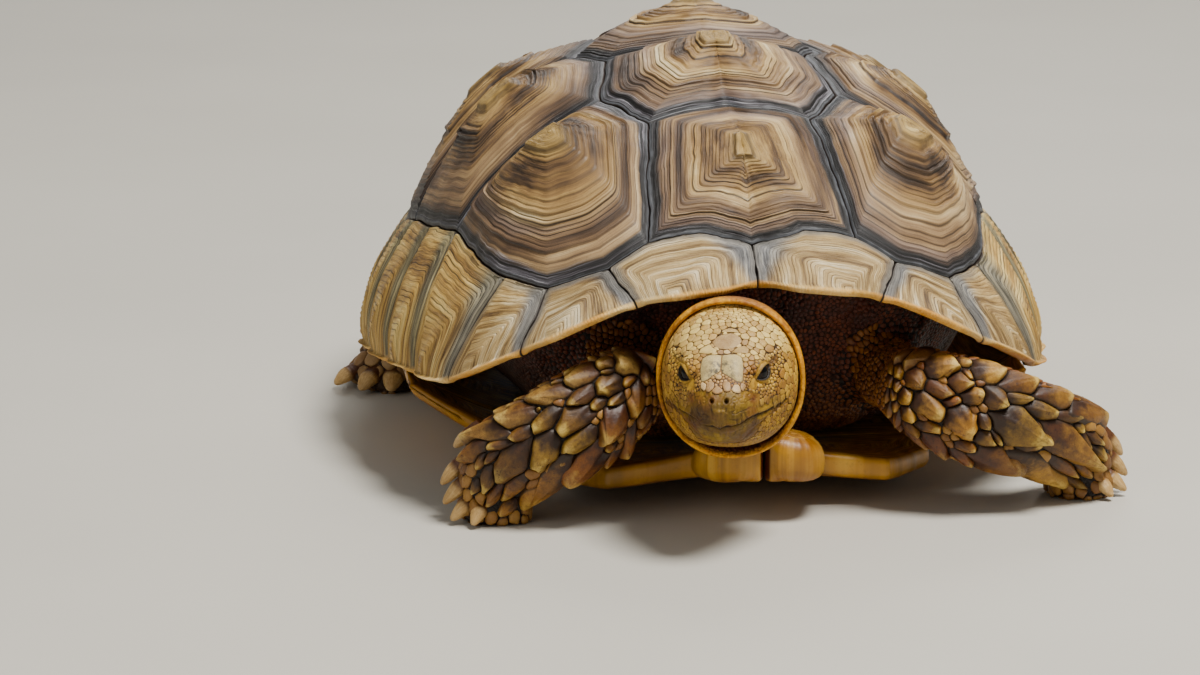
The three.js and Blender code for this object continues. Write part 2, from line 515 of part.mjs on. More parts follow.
// The point of a leg's surface at a height, in a plan direction from the foot's middle.
function onLeg(leg, dir, z) {
  const { lower, front } = LEGS[leg],
    foot = lower[lower.length - 2];
  let best = null,
    score = Infinity;
  for (let i = 0; i <= 60; i++) {
    const s = section(lower, front, lower.length - 4 + (3 * i) / 60);
    for (let k = 0; k < 72; k++) {
      const t = (2 * Math.PI * k) / 72,
        p = add(add(s.c, s.a, power(Math.cos(t), SQUARENESS)), s.b, power(Math.sin(t), SQUARENESS)),
        r = [p[0] - foot[0], p[1] - foot[1], 0],
        miss = Math.abs(p[2] - z) * 1.5 + Math.abs(r[0] * dir[1] - r[1] * dir[0]) + (dot(r, dir) < 0 ? 500 : 0) - 0.02 * dot(r, dir);
      if (miss < score) [score, best] = [miss, p];
    }
  }
  return best;
}
const outwards = (leg, degrees) => [side(leg) * -Math.cos(rad(degrees)), -Math.sin(rad(degrees)), 0];
function clawSolids(leg, list) {
  const roots = list.map(([degrees, z]) => onLeg(leg, outwards(leg, degrees), z));
  return list.map(([degrees, , lean, length, w, d], i) => {
    const flat = outwards(leg, degrees),
      dir = unit([flat[0], flat[1], -lean]),
      along = sub(roots[Math.min(i + 1, list.length - 1)], roots[Math.max(i - 1, 0)]),
      across = unit(add(along, dir, -dot(along, dir))),
      normal = cross(dir, across),
      up = dot(normal, add(flat, [0, 0, 1], 0.4)) < 0 ? normal.map((v) => -v) : normal,
      stations = [];
    for (const [f, size, drop] of [[-0.6, 1, 0], [0.1, 1, 0], [0.6, 0.84, 0.12], [0.88, 0.58, 0.26], [1, 0.26, 0.36]])
      stations.push({ c: add(add(roots[i], dir, (f - 0.35) * length), up, -drop * d), a: across.map((v) => v * w * size), b: up.map((v) => v * d * size), e: 2.4 });
    return loft(stations, 7);
  });
}
for (const prefix in CLAWS) {
  const [leg, list] = CLAWS[prefix],
    grown = legSolid(leg, CUT);
  clawSolids(leg, list).forEach((s, i) => keep(prefix + (i + 1), largest(s.subtract(grown).subtract(below)), COLOUR.claw, 0.45));
}

// ---- tail and trunk -------------------------------------------------------------------------------------------------
const TAIL = [[0, 196, 58, 21, 19], [1, 222, 47, 17.5, 16], [5, 243, 36, 13, 12], [12, 258, 26, 8.5, 8], [19, 267, 19, 4, 4]];
const tailSolid = (grow = 0) => limb(TAIL, [0, 0, 1], 10, grow, 2, [0, 1]);
keep("tail", tailSolid(), COLOUR.flesh, 0.6);

function trunkSolid() {
  const n = 28,
    stationsUp = [0.3, 0.5, 0.66, 0.78],
    vertices = [],
    rings = [];
  const top = vertices.push(add(dome([0, 0]), [0, 0, 1], -TRUNK_IN)) - 1;
  for (const r of stationsUp) {
    const ring = [];
    for (let i = 0; i < n; i++) {
      const t = (2 * Math.PI * i) / n,
        p = [r * Math.sin(t), -r * Math.cos(t)];
      ring.push(vertices.push(add(dome(p), domeNormal(p), -TRUNK_IN)) - 1);
    }
    rings.push(ring);
  }
  // [share of the last ring's plan kept, height] down the wall to the floor of the trunk
  for (const [k, z] of [[0.94, 0.66], [0.84, 0.36], [0.69, 0.1], [0.56, 0]]) {
    const ring = [];
    for (let i = 0; i < n; i++) {
      const t = (2 * Math.PI * i) / n,
        last = vertices[rings[stationsUp.length - 1][i]],
        side = Math.abs(Math.sin(t)),
        kk = 1 - (1 - k) * (0.35 + 0.65 * side * side);
      ring.push(vertices.push([last[0] * kk, DOME_Y + (last[1] - DOME_Y) * kk, TRUNK_LOW + (last[2] - TRUNK_LOW) * z]) - 1);
    }
    rings.push(ring);
  }
  const bottom = vertices.push([0, DOME_Y, TRUNK_LOW]) - 1,
    triangles = [];
  for (let i = 0; i < n; i++) {
    const j = (i + 1) % n;
    triangles.push([top, rings[0][i], rings[0][j]], [bottom, rings[rings.length - 1][j], rings[rings.length - 1][i]]);
    for (let k = 0; k + 1 < rings.length; k++)
      triangles.push([rings[k][i], rings[k + 1][i], rings[k + 1][j]], [rings[k][i], rings[k + 1][j], rings[k][j]]);
  }
  return solid(vertices, triangles);
}
let trunk = trunkSolid().subtract(neckSolid(CUT)).subtract(tailSolid(CUT));
for (const name in LEGS) trunk = trunk.subtract(legSolid(name, CUT));
keep("trunk", largest(trunk), COLOUR.flesh, 0.65);

// ---- gular: the paired front plates of the plastron, thick and turned up ----------------------------------------------
{
  const outline = [[-1, -206], [-0.98, -224], [-0.78, -238], [-0.35, -241], [-0.06, -236], [0.06, -236], [0.35, -241], [0.78, -238], [0.98, -224], [1, -206]];
  const vertices = [],
    triangles = [],
    n = outline.length;
  for (const [v, y] of outline) {
    const out = (-206 - y) / 35,
      x = GULAR_X + GULAR_HALF * v * (1 - 0.12 * out);
    vertices.push([x, y - CUT, bellyZ(x, -206) + 2 * out], [x, y - CUT, bellyZ(x, -206) + BELLY_T + 3 + 8 * out ** 0.7]);
  }
  // a swollen top: the outline's own ring, a smaller ring and a middle, and the same flat underneath
  const ring = outline.map(([v, y]) => {
    const x = GULAR_X + GULAR_HALF * v * 0.62;
    return vertices.push([x, -222 + (y + 222) * 0.6, bellyZ(x, -206) + BELLY_T + 3 + GULAR_UP * 0.85]) - 1;
  });
  const top = vertices.push([GULAR_X, -222, bellyZ(0, -206) + BELLY_T + 3 + GULAR_UP]) - 1,
    bottom = vertices.push([GULAR_X, -222, bellyZ(0, -206) + 1]) - 1;
  for (let i = 0; i < n; i++) {
    const j = (i + 1) % n;
    triangles.push([2 * i + 1, 2 * j + 1, ring[j]], [2 * i + 1, ring[j], ring[i]], [ring[i], ring[j], top], [2 * j, 2 * i, bottom]);
  }
  for (let i = 0; i < n; i++) {
    const j = (i + 1) % n;
    triangles.push([2 * i, 2 * j, 2 * j + 1], [2 * i, 2 * j + 1, 2 * i + 1]);
  }
  keep("gular", solid(vertices, triangles), COLOUR.belly, 0.45);
}

// ---- assembly: every piece in the common frame, then the animal centred over its own middle and stood on its feet -------
for (const { name, s, colour, roughness } of pieces) {
  const mesh = s.getMesh(),
    position = [];
  const v = mesh.vertProperties;
  for (let i = 0; i < v.length; i += mesh.numProp) position.push(v[i], v[i + 1], v[i + 2]);
  const g = new THREE.BufferGeometry();
  g.setAttribute("position", new THREE.Float32BufferAttribute(position, 3));
  g.setIndex(Array.from(mesh.triVerts));
  const m = new THREE.Mesh(g, new THREE.MeshStandardMaterial({ color: colour, roughness, metalness: 0 }));
  m.name = name;
  group.add(m);
}
const bounds = new THREE.Box3().setFromObject(group);
group.position.set(-(bounds.min.x + bounds.max.x) / 2, -(bounds.min.y + bounds.max.y) / 2, -bounds.min.z);
group.updateMatrixWorld(true);

export default group;
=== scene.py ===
import math

import bpy
import numpy as np
from mathutils import Matrix, Vector
from mathutils.bvhtree import BVHTree
from mathutils.kdtree import KDTree


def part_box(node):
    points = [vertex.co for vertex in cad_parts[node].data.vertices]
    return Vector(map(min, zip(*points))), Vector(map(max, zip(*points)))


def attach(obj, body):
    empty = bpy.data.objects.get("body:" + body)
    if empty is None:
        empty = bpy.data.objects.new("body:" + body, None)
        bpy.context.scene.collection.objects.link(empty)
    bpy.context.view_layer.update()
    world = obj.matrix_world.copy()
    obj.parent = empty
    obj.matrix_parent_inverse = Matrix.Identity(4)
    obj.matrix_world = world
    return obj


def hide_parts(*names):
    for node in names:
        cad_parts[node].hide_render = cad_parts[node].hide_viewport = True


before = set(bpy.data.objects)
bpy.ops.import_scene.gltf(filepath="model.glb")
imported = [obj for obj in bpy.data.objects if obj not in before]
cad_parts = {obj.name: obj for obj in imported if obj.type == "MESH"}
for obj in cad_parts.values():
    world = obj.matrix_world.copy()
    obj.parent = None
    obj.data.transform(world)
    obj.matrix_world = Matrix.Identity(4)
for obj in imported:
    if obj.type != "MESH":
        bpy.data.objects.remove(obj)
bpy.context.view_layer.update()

# African spurred tortoise. Everything below is in millimetres, the animal facing -Y with its left side at +X,
# and is moved by SHIFT into the frame's metres when a mesh is made.

# ---- head frame ---------------------------------------------------------------------------------------------------
HEAD_AT = np.array([-19.5, -262.0, 96.0])
HEAD_YAW, HEAD_PITCH, HEAD_ROLL = -13.5, -6.0, 1.9
EYE_R = 8.2
EYE_AT = (16.7, 38.2, 16.0)
_y, _p, _r = (math.radians(v) for v in (HEAD_YAW, HEAD_PITCH, HEAD_ROLL))
HEAD_F = np.array([math.sin(_y) * math.cos(_p), -math.cos(_y) * math.cos(_p), math.sin(_p)])
_ls = np.array([math.cos(_y), math.sin(_y), 0.0])
_lu = np.cross(HEAD_F, _ls)
HEAD_S = _ls * math.cos(_r) + _lu * math.sin(_r)
HEAD_U = np.cross(HEAD_F, HEAD_S)


def head(s, f, u):
    """Design-frame point(s) of head-frame sideways, forward and up."""
    s, f, u = (np.asarray(v, float)[..., None] for v in (s, f, u))
    return HEAD_AT + HEAD_S * s + HEAD_F * f + HEAD_U * u


_lo, _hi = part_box("eye_left")
SHIFT = (np.array(_lo) + np.array(_hi)) * 500.0 - head(*EYE_AT)


def metres(p):
    return (np.asarray(p, float) + SHIFT) * 0.001


# ---- small helpers --------------------------------------------------------------------------------------------------
def unit(v):
    v = np.asarray(v, float)
    return v / np.maximum(np.linalg.norm(v, axis=-1, keepdims=True), 1e-12)


def through(xs, ys, x):
    """Smooth curve through a table, vectorised; ys may hold rows."""
    xs, ys = np.asarray(xs, float), np.asarray(ys, float)
    flat = ys.ndim == 1
    if flat:
        ys = ys[:, None]
    x = np.clip(np.asarray(x, float), xs[0], xs[-1])
    m = np.zeros_like(ys)
    m[1:-1] = (ys[2:] - ys[:-2]) / (xs[2:] - xs[:-2])[:, None]
    m[0] = (ys[1] - ys[0]) / (xs[1] - xs[0])
    m[-1] = (ys[-1] - ys[-2]) / (xs[-1] - xs[-2])
    i = np.clip(np.searchsorted(xs, x, side="right") - 1, 0, len(xs) - 2)
    h = (xs[i + 1] - xs[i])[..., None]
    t = ((x - xs[i]) / (xs[i + 1] - xs[i]))[..., None]
    r = (2 * t**3 - 3 * t * t + 1) * ys[i] + (t**3 - 2 * t * t + t) * h * m[i] + (-2 * t**3 + 3 * t * t) * ys[i + 1] + (t**3 - t * t) * h * m[i + 1]
    return r[..., 0] if flat else r


def smooth(a, b, x):
    t = np.clip((np.asarray(x, float) - a) / (b - a), 0, 1)
    return t * t * (3 - 2 * t)


def _hash(ix, iy, iz, seed):
    h = (ix * 374761393 + iy * 668265263 + iz * 1440662683 + seed * 1274126177) & 0xFFFFFFFF
    h = ((h ^ (h >> 13)) * 1274126177) & 0xFFFFFFFF
    h = ((h ^ (h >> 16)) * 2246822519) & 0xFFFFFFFF
    return ((h ^ (h >> 15)) & 0xFFFFFF) / float(0xFFFFFF) * 2 - 1


def noise(p, seed=0, octaves=1):
    """Smooth value noise, about -1 to 1, of points (..., 3)."""
    p = np.asarray(p, float)
    total, amp, norm = 0.0, 1.0, 0.0
    for o in range(octaves):
        q = p * 2.0**o
        i = np.floor(q).astype(np.int64)
        f = q - i
        f = f * f * (3 - 2 * f)
        v = 0.0
        for dx in (0, 1):
            for dy in (0, 1):
                for dz in (0, 1):
                    w = (f[..., 0] if dx else 1 - f[..., 0]) * (f[..., 1] if dy else 1 - f[..., 1]) * (f[..., 2] if dz else 1 - f[..., 2])
                    v = v + w * _hash(i[..., 0] + dx, i[..., 1] + dy, i[..., 2] + dz, seed + 31 * o)
        total = total + amp * v
        norm += amp
        amp *= 0.5
    return total / norm


def xyz(a, b, c):
    return np.stack(np.broadcast_arrays(a, b, c), -1).astype(float)


def n1(x, seed=0, octaves=1):
    return noise(xyz(x, 0.37, 0.71), seed, octaves)


# ---- mesh making ----------------------------------------------------------------------------------------------------
class Build:
    """Vertices, faces and point attributes gathered from many patches into one mesh."""

    def __init__(self):
        self.V, self.F, self.A, self.UV, self.L, self.n = [], [], [], [], [], 0

    def add(self, V, faces, uv=None, corner_uv=None, **attrs):
        """corner_uv, when given, holds one array of (faces, corners, 2) for each array of faces."""
        V = np.asarray(V, float).reshape(-1, 3)
        self.V.append(V)
        uv = np.zeros((len(V), 2)) if uv is None else np.asarray(uv, float).reshape(-1, 2)
        for i, f in enumerate(faces):
            f = np.asarray(f, np.int64)
            if f.size:
                self.F.append(f + self.n)
                self.L.append((uv[f] if corner_uv is None else np.asarray(corner_uv[i], float)).reshape(-1, 2))
        held = {}
        for k, v in attrs.items():
            v = np.asarray(v, float)
            vec = v.ndim > 0 and v.shape[-1] == 3 and (v.size in (3, 3 * len(V)))
            held[k] = np.broadcast_to(v.reshape(-1, 3), (len(V), 3)) if vec else np.broadcast_to(v.reshape(-1), (len(V),))
        self.A.append(held)
        self.n += len(V)
        return self

    def mesh(self, name, material=None, slot=None, replaces=(), smooth_shade=True):
        V = np.concatenate(self.V)
        V[:, 2] = np.maximum(V[:, 2], 0.0)  # nothing reaches below the soles
        V = metres(V).astype(np.float32)
        me = bpy.data.meshes.new(name)
        me.vertices.add(len(V))
        me.vertices.foreach_set("co", V.ravel())
        loops = np.concatenate([f.ravel() for f in self.F]).astype(np.int32)
        sizes = np.concatenate([np.full(len(f), f.shape[1]) for f in self.F])
        me.loops.add(len(loops))
        me.loops.foreach_set("vertex_index", loops)
        me.polygons.add(len(sizes))
        me.polygons.foreach_set("loop_start", np.concatenate([[0], np.cumsum(sizes)[:-1]]).astype(np.int32))
        me.polygons.foreach_set("use_smooth", np.full(len(sizes), smooth_shade))
        me.update(calc_edges=True)
        layer = me.uv_layers.new(name="OFBake")
        layer.data.foreach_set("uv", np.concatenate(self.L).astype(np.float32).ravel())
        for k in sorted({k for a in self.A for k in a}):
            first = next(a[k] for a in self.A if k in a)
            vec = first.ndim > 1
            full = np.concatenate([a[k] if k in a else np.zeros((len(v), 3) if vec else len(v)) for a, v in zip(self.A, self.V)])
            at = me.attributes.new(k, "FLOAT_VECTOR" if vec else "FLOAT", "POINT")
            at.data.foreach_set("vector" if vec else "value", full.astype(np.float32).ravel())
        me.validate()
        ob = bpy.data.objects.new(name, me)
        bpy.context.scene.collection.objects.link(ob)
        if material:
            me.materials.append(material)
        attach(ob, "root")
        if replaces:
            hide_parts(*replaces)
        return ob


def grid(rows, cols, wrap=False, flip=False):
    """Quads of a rows x cols grid of vertices, row after row."""
    c = np.arange(cols if wrap else cols - 1)
    d = (c + 1) % cols
    r = np.arange(rows - 1)[:, None]
    q = np.stack([r * cols + c, r * cols + d, (r + 1) * cols + d, (r + 1) * cols + c], -1).reshape(-1, 4)
    return q[:, ::-1] if flip else q


# ---- materials ------------------------------------------------------------------------------------------------------
RICH = 1.28  # the colours are meant this much richer than their codes


def colour(h):
    h = h.lstrip("#")
    v = [int(h[i : i + 2], 16) / 255 for i in (0, 2, 4)]
    v = [x / 12.92 if x <= 0.04045 else ((x + 0.055) / 1.055) ** 2.4 for x in v]
    grey = 0.2126 * v[0] + 0.7152 * v[1] + 0.0722 * v[2]
    return tuple(min(1.0, max(0.0, grey + (x - grey) * RICH)) for x in v) + (1.0,)


class Mat:
    """A procedural material, written as nested calls."""

    def __init__(self, name, **fixed):
        self.mat = bpy.data.materials.new(name)
        self.mat.use_nodes = True
        self.t = self.mat.node_tree
        self.t.nodes.clear()
        self.bsdf = self.t.nodes.new("ShaderNodeBsdfPrincipled")
        out = self.t.nodes.new("ShaderNodeOutputMaterial")
        self.t.links.new(self.bsdf.outputs[0], out.inputs[0])
        for k, v in fixed.items():
            self.bsdf.inputs[k.replace("_", " ")].default_value = v

    def put(self, socket, v):
        if isinstance(v, bpy.types.NodeSocket):
            self.t.links.new(v, socket)
        elif isinstance(v, str):
            socket.default_value = colour(v)
        elif v is not None:
            socket.default_value = v

    def set(self, **kw):
        for k, v in kw.items():
            self.put(self.bsdf.inputs[k.replace("_", " ")], v)
        return self.mat

    def attr(self, name, vector=False):
        n = self.t.nodes.new("ShaderNodeAttribute")
        n.attribute_name = name
        return n.outputs["Vector" if vector else "Fac"]

    def position(self):
        n = self.t.nodes.new("ShaderNodeTexCoord")
        return n.outputs["Object"]

    def math(self, op, a, b=None, c=None, clamp=False):
        n = self.t.nodes.new("ShaderNodeMath")
        n.operation = op
        n.use_clamp = clamp
        for i, v in enumerate((a, b, c)):
            if v is not None:
                self.put(n.inputs[i], v)
        return n.outputs[0]

    def vec(self, op, a, b=None, scale=None):
        n = self.t.nodes.new("ShaderNodeVectorMath")
        n.operation = op
        self.put(n.inputs[0], a)
        if b is not None:
            self.put(n.inputs[1], b)
        if scale is not None:
            self.put(n.inputs["Scale"], scale)
        return n.outputs["Vector"] if op not in ("LENGTH", "DISTANCE", "DOT_PRODUCT") else n.outputs["Value"]

    def join(self, x, y, z):
        n = self.t.nodes.new("ShaderNodeCombineXYZ")
        for i, v in enumerate((x, y, z)):
            self.put(n.inputs[i], v)
        return n.outputs[0]

    def split(self, v):
        n = self.t.nodes.new("ShaderNodeSeparateXYZ")
        self.put(n.inputs[0], v)
        return n.outputs

    def noise(self, v, scale=5.0, detail=2.0, rough=0.5, distort=0.0):
        n = self.t.nodes.new("ShaderNodeTexNoise")
        self.put(n.inputs["Vector"], v)
        self.put(n.inputs["Scale"], scale)
        n.inputs["Detail"].default_value = detail
        n.inputs["Roughness"].default_value = rough
        n.inputs["Distortion"].default_value = distort
        return n.outputs["Fac"]

    def voronoi(self, v, scale=5.0, feature="F1", rand=1.0):
        n = self.t.nodes.new("ShaderNodeTexVoronoi")
        n.feature = feature
        self.put(n.inputs["Vector"], v)
        self.put(n.inputs["Scale"], scale)
        n.inputs["Randomness"].default_value = rand
        return n.outputs["Distance"]

    def white(self, w):
        n = self.t.nodes.new("ShaderNodeTexWhiteNoise")
        n.noise_dimensions = "1D"
        self.put(n.inputs["W"], w)
        return n.outputs["Value"]

    def ramp(self, f, stops, mode="LINEAR"):
        n = self.t.nodes.new("ShaderNodeValToRGB")
        n.color_ramp.interpolation = mode
        e = n.color_ramp.elements
        while len(e) < len(stops):
            e.new(0.5)
        for i, (p, v) in enumerate(stops):
            e[i].position = p
            e[i].color = colour(v) if isinstance(v, str) else (v, v, v, 1)
        self.put(n.inputs[0], f)
        return n.outputs[0]

    def mix(self, f, a, b, mode="MIX"):
        n = self.t.nodes.new("ShaderNodeMix")
        n.data_type = "RGBA"
        n.blend_type = mode
        self.put(n.inputs[0], f)
        self.put(n.inputs[6], a)
        self.put(n.inputs[7], b)
        return n.outputs[2]

    def fade(self, v, a, b, lo=0.0, hi=1.0):
        n = self.t.nodes.new("ShaderNodeMapRange")
        n.interpolation_type = "SMOOTHSTEP"
        for i, x in enumerate((v, a, b, lo, hi)):
            self.put(n.inputs[i], x)
        return n.outputs[0]

    def bump(self, height, distance=0.0005, strength=1.0, normal=None):
        n = self.t.nodes.new("ShaderNodeBump")
        n.inputs["Strength"].default_value = strength
        n.inputs["Distance"].default_value = distance
        self.put(n.inputs["Height"], height)
        if normal is not None:
            self.put(n.inputs["Normal"], normal)
        return n.outputs[0]


# ---- the shell's base surface ------------------------------------------------------------------------------------------
CROWN_Z, DOME_Y, HALF_WIDTH, HALF_LENGTH, NOTCH = 252.0, 13.0, 211.0, 259.0, 11.0
PLATE_T = 12.0
PROFILE_AT = [0, 0.2, 0.4, 0.6, 0.8, 0.9, 1]
FRONT = [(0, 1), (0.22, 0.95), (0.45, 0.785), (0.66, 0.6), (0.86, 0.26), (0.93, 0.11), (1, 0)]
SIDE = [(0, 1), (0.3, 0.945), (0.57, 0.79), (0.78, 0.55), (0.945, 0.26), (0.992, 0.12), (1, 0)]
REAR = [(0, 1), (0.22, 0.965), (0.46, 0.84), (0.7, 0.64), (0.89, 0.34), (0.95, 0.17), (1, 0)]
RIM_PHI = [0, 10, 20, 34, 49, 65, 90, 110, 130, 150, 168, 180]
RIM_Z = [146, 143, 136, 109, 79, 70, 57, 49, 50, 60, 56, 50]
OUT_PHI = [0, 10, 20, 35, 47, 56, 66, 80, 92, 105, 120, 135, 150, 165, 180]
OUT_K = [1.0, 1.012, 1.045, 1.105, 1.118, 1.065, 1.015, 0.985, 0.98, 0.99, 1.025, 1.06, 1.065, 1.03, 1.0]


def dome(d):
    """Points of the dome at disc coordinates (..., 2)."""
    a, b = d[..., 0], d[..., 1]
    rho = np.hypot(a, b)
    q = np.maximum(rho, 1e-9)
    ca, cb = np.where(rho < 1e-9, 0, a / q), np.where(rho < 1e-9, -1, b / q)
    phi = np.degrees(np.arctan2(np.abs(ca), -cb))
    k = through(OUT_PHI, OUT_K, phi)
    x, y, z = HALF_WIDTH * k * ca, HALF_LENGTH * k * cb, through(RIM_PHI, RIM_Z, phi)
    y = y + np.where(cb < 0, NOTCH * np.exp(-((x / 15.0) ** 2)), 0)
    wf, wr, ws = np.where(cb < 0, cb * cb, 0), np.where(cb > 0, cb * cb, 0), ca * ca
    g = through(PROFILE_AT, FRONT, rho) * wf[..., None] + through(PROFILE_AT, REAR, rho) * wr[..., None] + through(PROFILE_AT, SIDE, rho) * ws[..., None]
    over = np.maximum(rho - 1, 0)
    return np.stack([x * (g[..., 0] + over), DOME_Y + y * (g[..., 0] + over), z + (CROWN_Z - z) * g[..., 1]], -1)


def dome_normal(d):
    rho = np.hypot(d[..., 0], d[..., 1])
    p = d * np.minimum(1, 0.992 / np.maximum(rho, 1e-9))[..., None]
    e = 0.008
    ex, ey = np.array([e, 0.0]), np.array([0.0, e])
    return unit(np.cross(dome(p + ex) - dome(p - ex), dome(p + ey) - dome(p - ey)))


_RHO = np.linspace(0, 1, 601)


def disc_of(x, y):
    u, v = x / HALF_WIDTH, (y - DOME_Y) / HALF_LENGTH
    d = math.hypot(u, v) or 1e-9
    line = dome(np.stack([_RHO * u / d, _RHO * v / d], -1))
    r = np.interp(math.hypot(x, y - DOME_Y), np.maximum.accumulate(np.hypot(line[:, 0], line[:, 1] - DOME_Y)), _RHO)
    return np.array([r * u / d, r * v / d])


CORNER = {
    "n0": (0, -212), "n01": (31, -211), "v1m": (61.5, -211.5), "v12m": (0, -106), "v12": (49, -121), "v2c": (72.4, -78), "v23m": (0, -22),
    "v23": (62, -20), "v3c": (76, 22), "v34m": (0, 66), "v34": (52, 66), "v4c": (66, 106), "v45m": (0, 150), "v45": (40, 150), "v5c": (76, 212),
    "v5s": (34, 228), "v5m": (0, 231), "m12": (85, -215), "m23": (119, -203), "m34": (141, -173), "m45": (161.5, -88), "m56": (173, -43),
    "m67": (179, 5), "m78": (180, 55), "m89": (173, 105), "m910": (152, 155), "m1011": (116, 193),
}
RIM_AT = {"r175": 174, "r0": 0, "r01": 7, "r1": 13, "r12": 19.5, "r23": 36, "r34": 48.5, "r45": 60, "r56": 73, "r67": 87, "r78": 100, "r89": 113, "r910": 127, "r1011": 144, "r11s": 167, "r180": 180}
DISC = {k: disc_of(*v) for k, v in CORNER.items()}
DISC.update({k: np.array([math.sin(math.radians(v)), -math.cos(math.radians(v))]) for k, v in RIM_AT.items()})


def canon(name, side):
    """A corner's own name: the left one plain, the right one with a minus, the midline ones plain."""
    flip = name.startswith("-")
    base = name.lstrip("-")
    if abs(DISC[base][0]) < 1e-6:
        return base
    return ("-" if (side < 0) != flip else "") + base


def where(name):
    p = DISC[name.lstrip("-")]
    return np.array([-p[0], p[1]]) if name.startswith("-") else p.copy()


MM = np.array([205.0, 240.0])  # rough size of a disc unit, for lengths along the shell


def seam(p, q, count, wobble=1.3):
    """Points from corner p (included) to corner q (left out), the same wavy line for both plates that share it."""
    a, b = sorted((p, q))
    t = np.arange(count) / count
    tt = t if p == a else 1 - t
    A, B = where(a), where(b)
    line = A + (B - A) * tt[:, None]
    across = np.array([-(B - A)[1] * MM[1], (B - A)[0] * MM[0]])
    length = np.linalg.norm((B - A) * MM)
    across = across / np.linalg.norm(across)
    seed = sum(ord(c) * (7 + 3 * i) for i, c in enumerate(a + b))
    s = tt * length
    w = np.minimum(1, np.minimum(s, length - s) / 9.0)
    off = wobble * w * (n1(s / 17.0 + 3.1, seed) * 1.0 + n1(s / 6.0 + 1.7, seed + 5) * 0.45 + n1(s / 2.4, seed + 9) * 0.18)
    return line + (across / MM) * off[:, None]


# ---- horny plates: growth rings round each growth centre ------------------------------------------------------------------
def ring_relief(phase, ridge):
    """One terrace for each unit of phase: a tread that rises outwards, then a short steep drop."""
    f = phase - np.floor(phase)
    return ridge * np.where(f < 0.8, f / 0.8, (1 - f) / 0.2)


def ring_size(phase, ident):
    """How strong each growth ring is, from faint ones to a few deep ones."""
    k = np.floor(phase + 1e-6)
    q = np.abs(np.sin(k * 12.9898 + ident * 78.233) * 43758.5453) % 1.0
    return 0.3 + 0.5 * q + 1.2 * (q > 0.8)


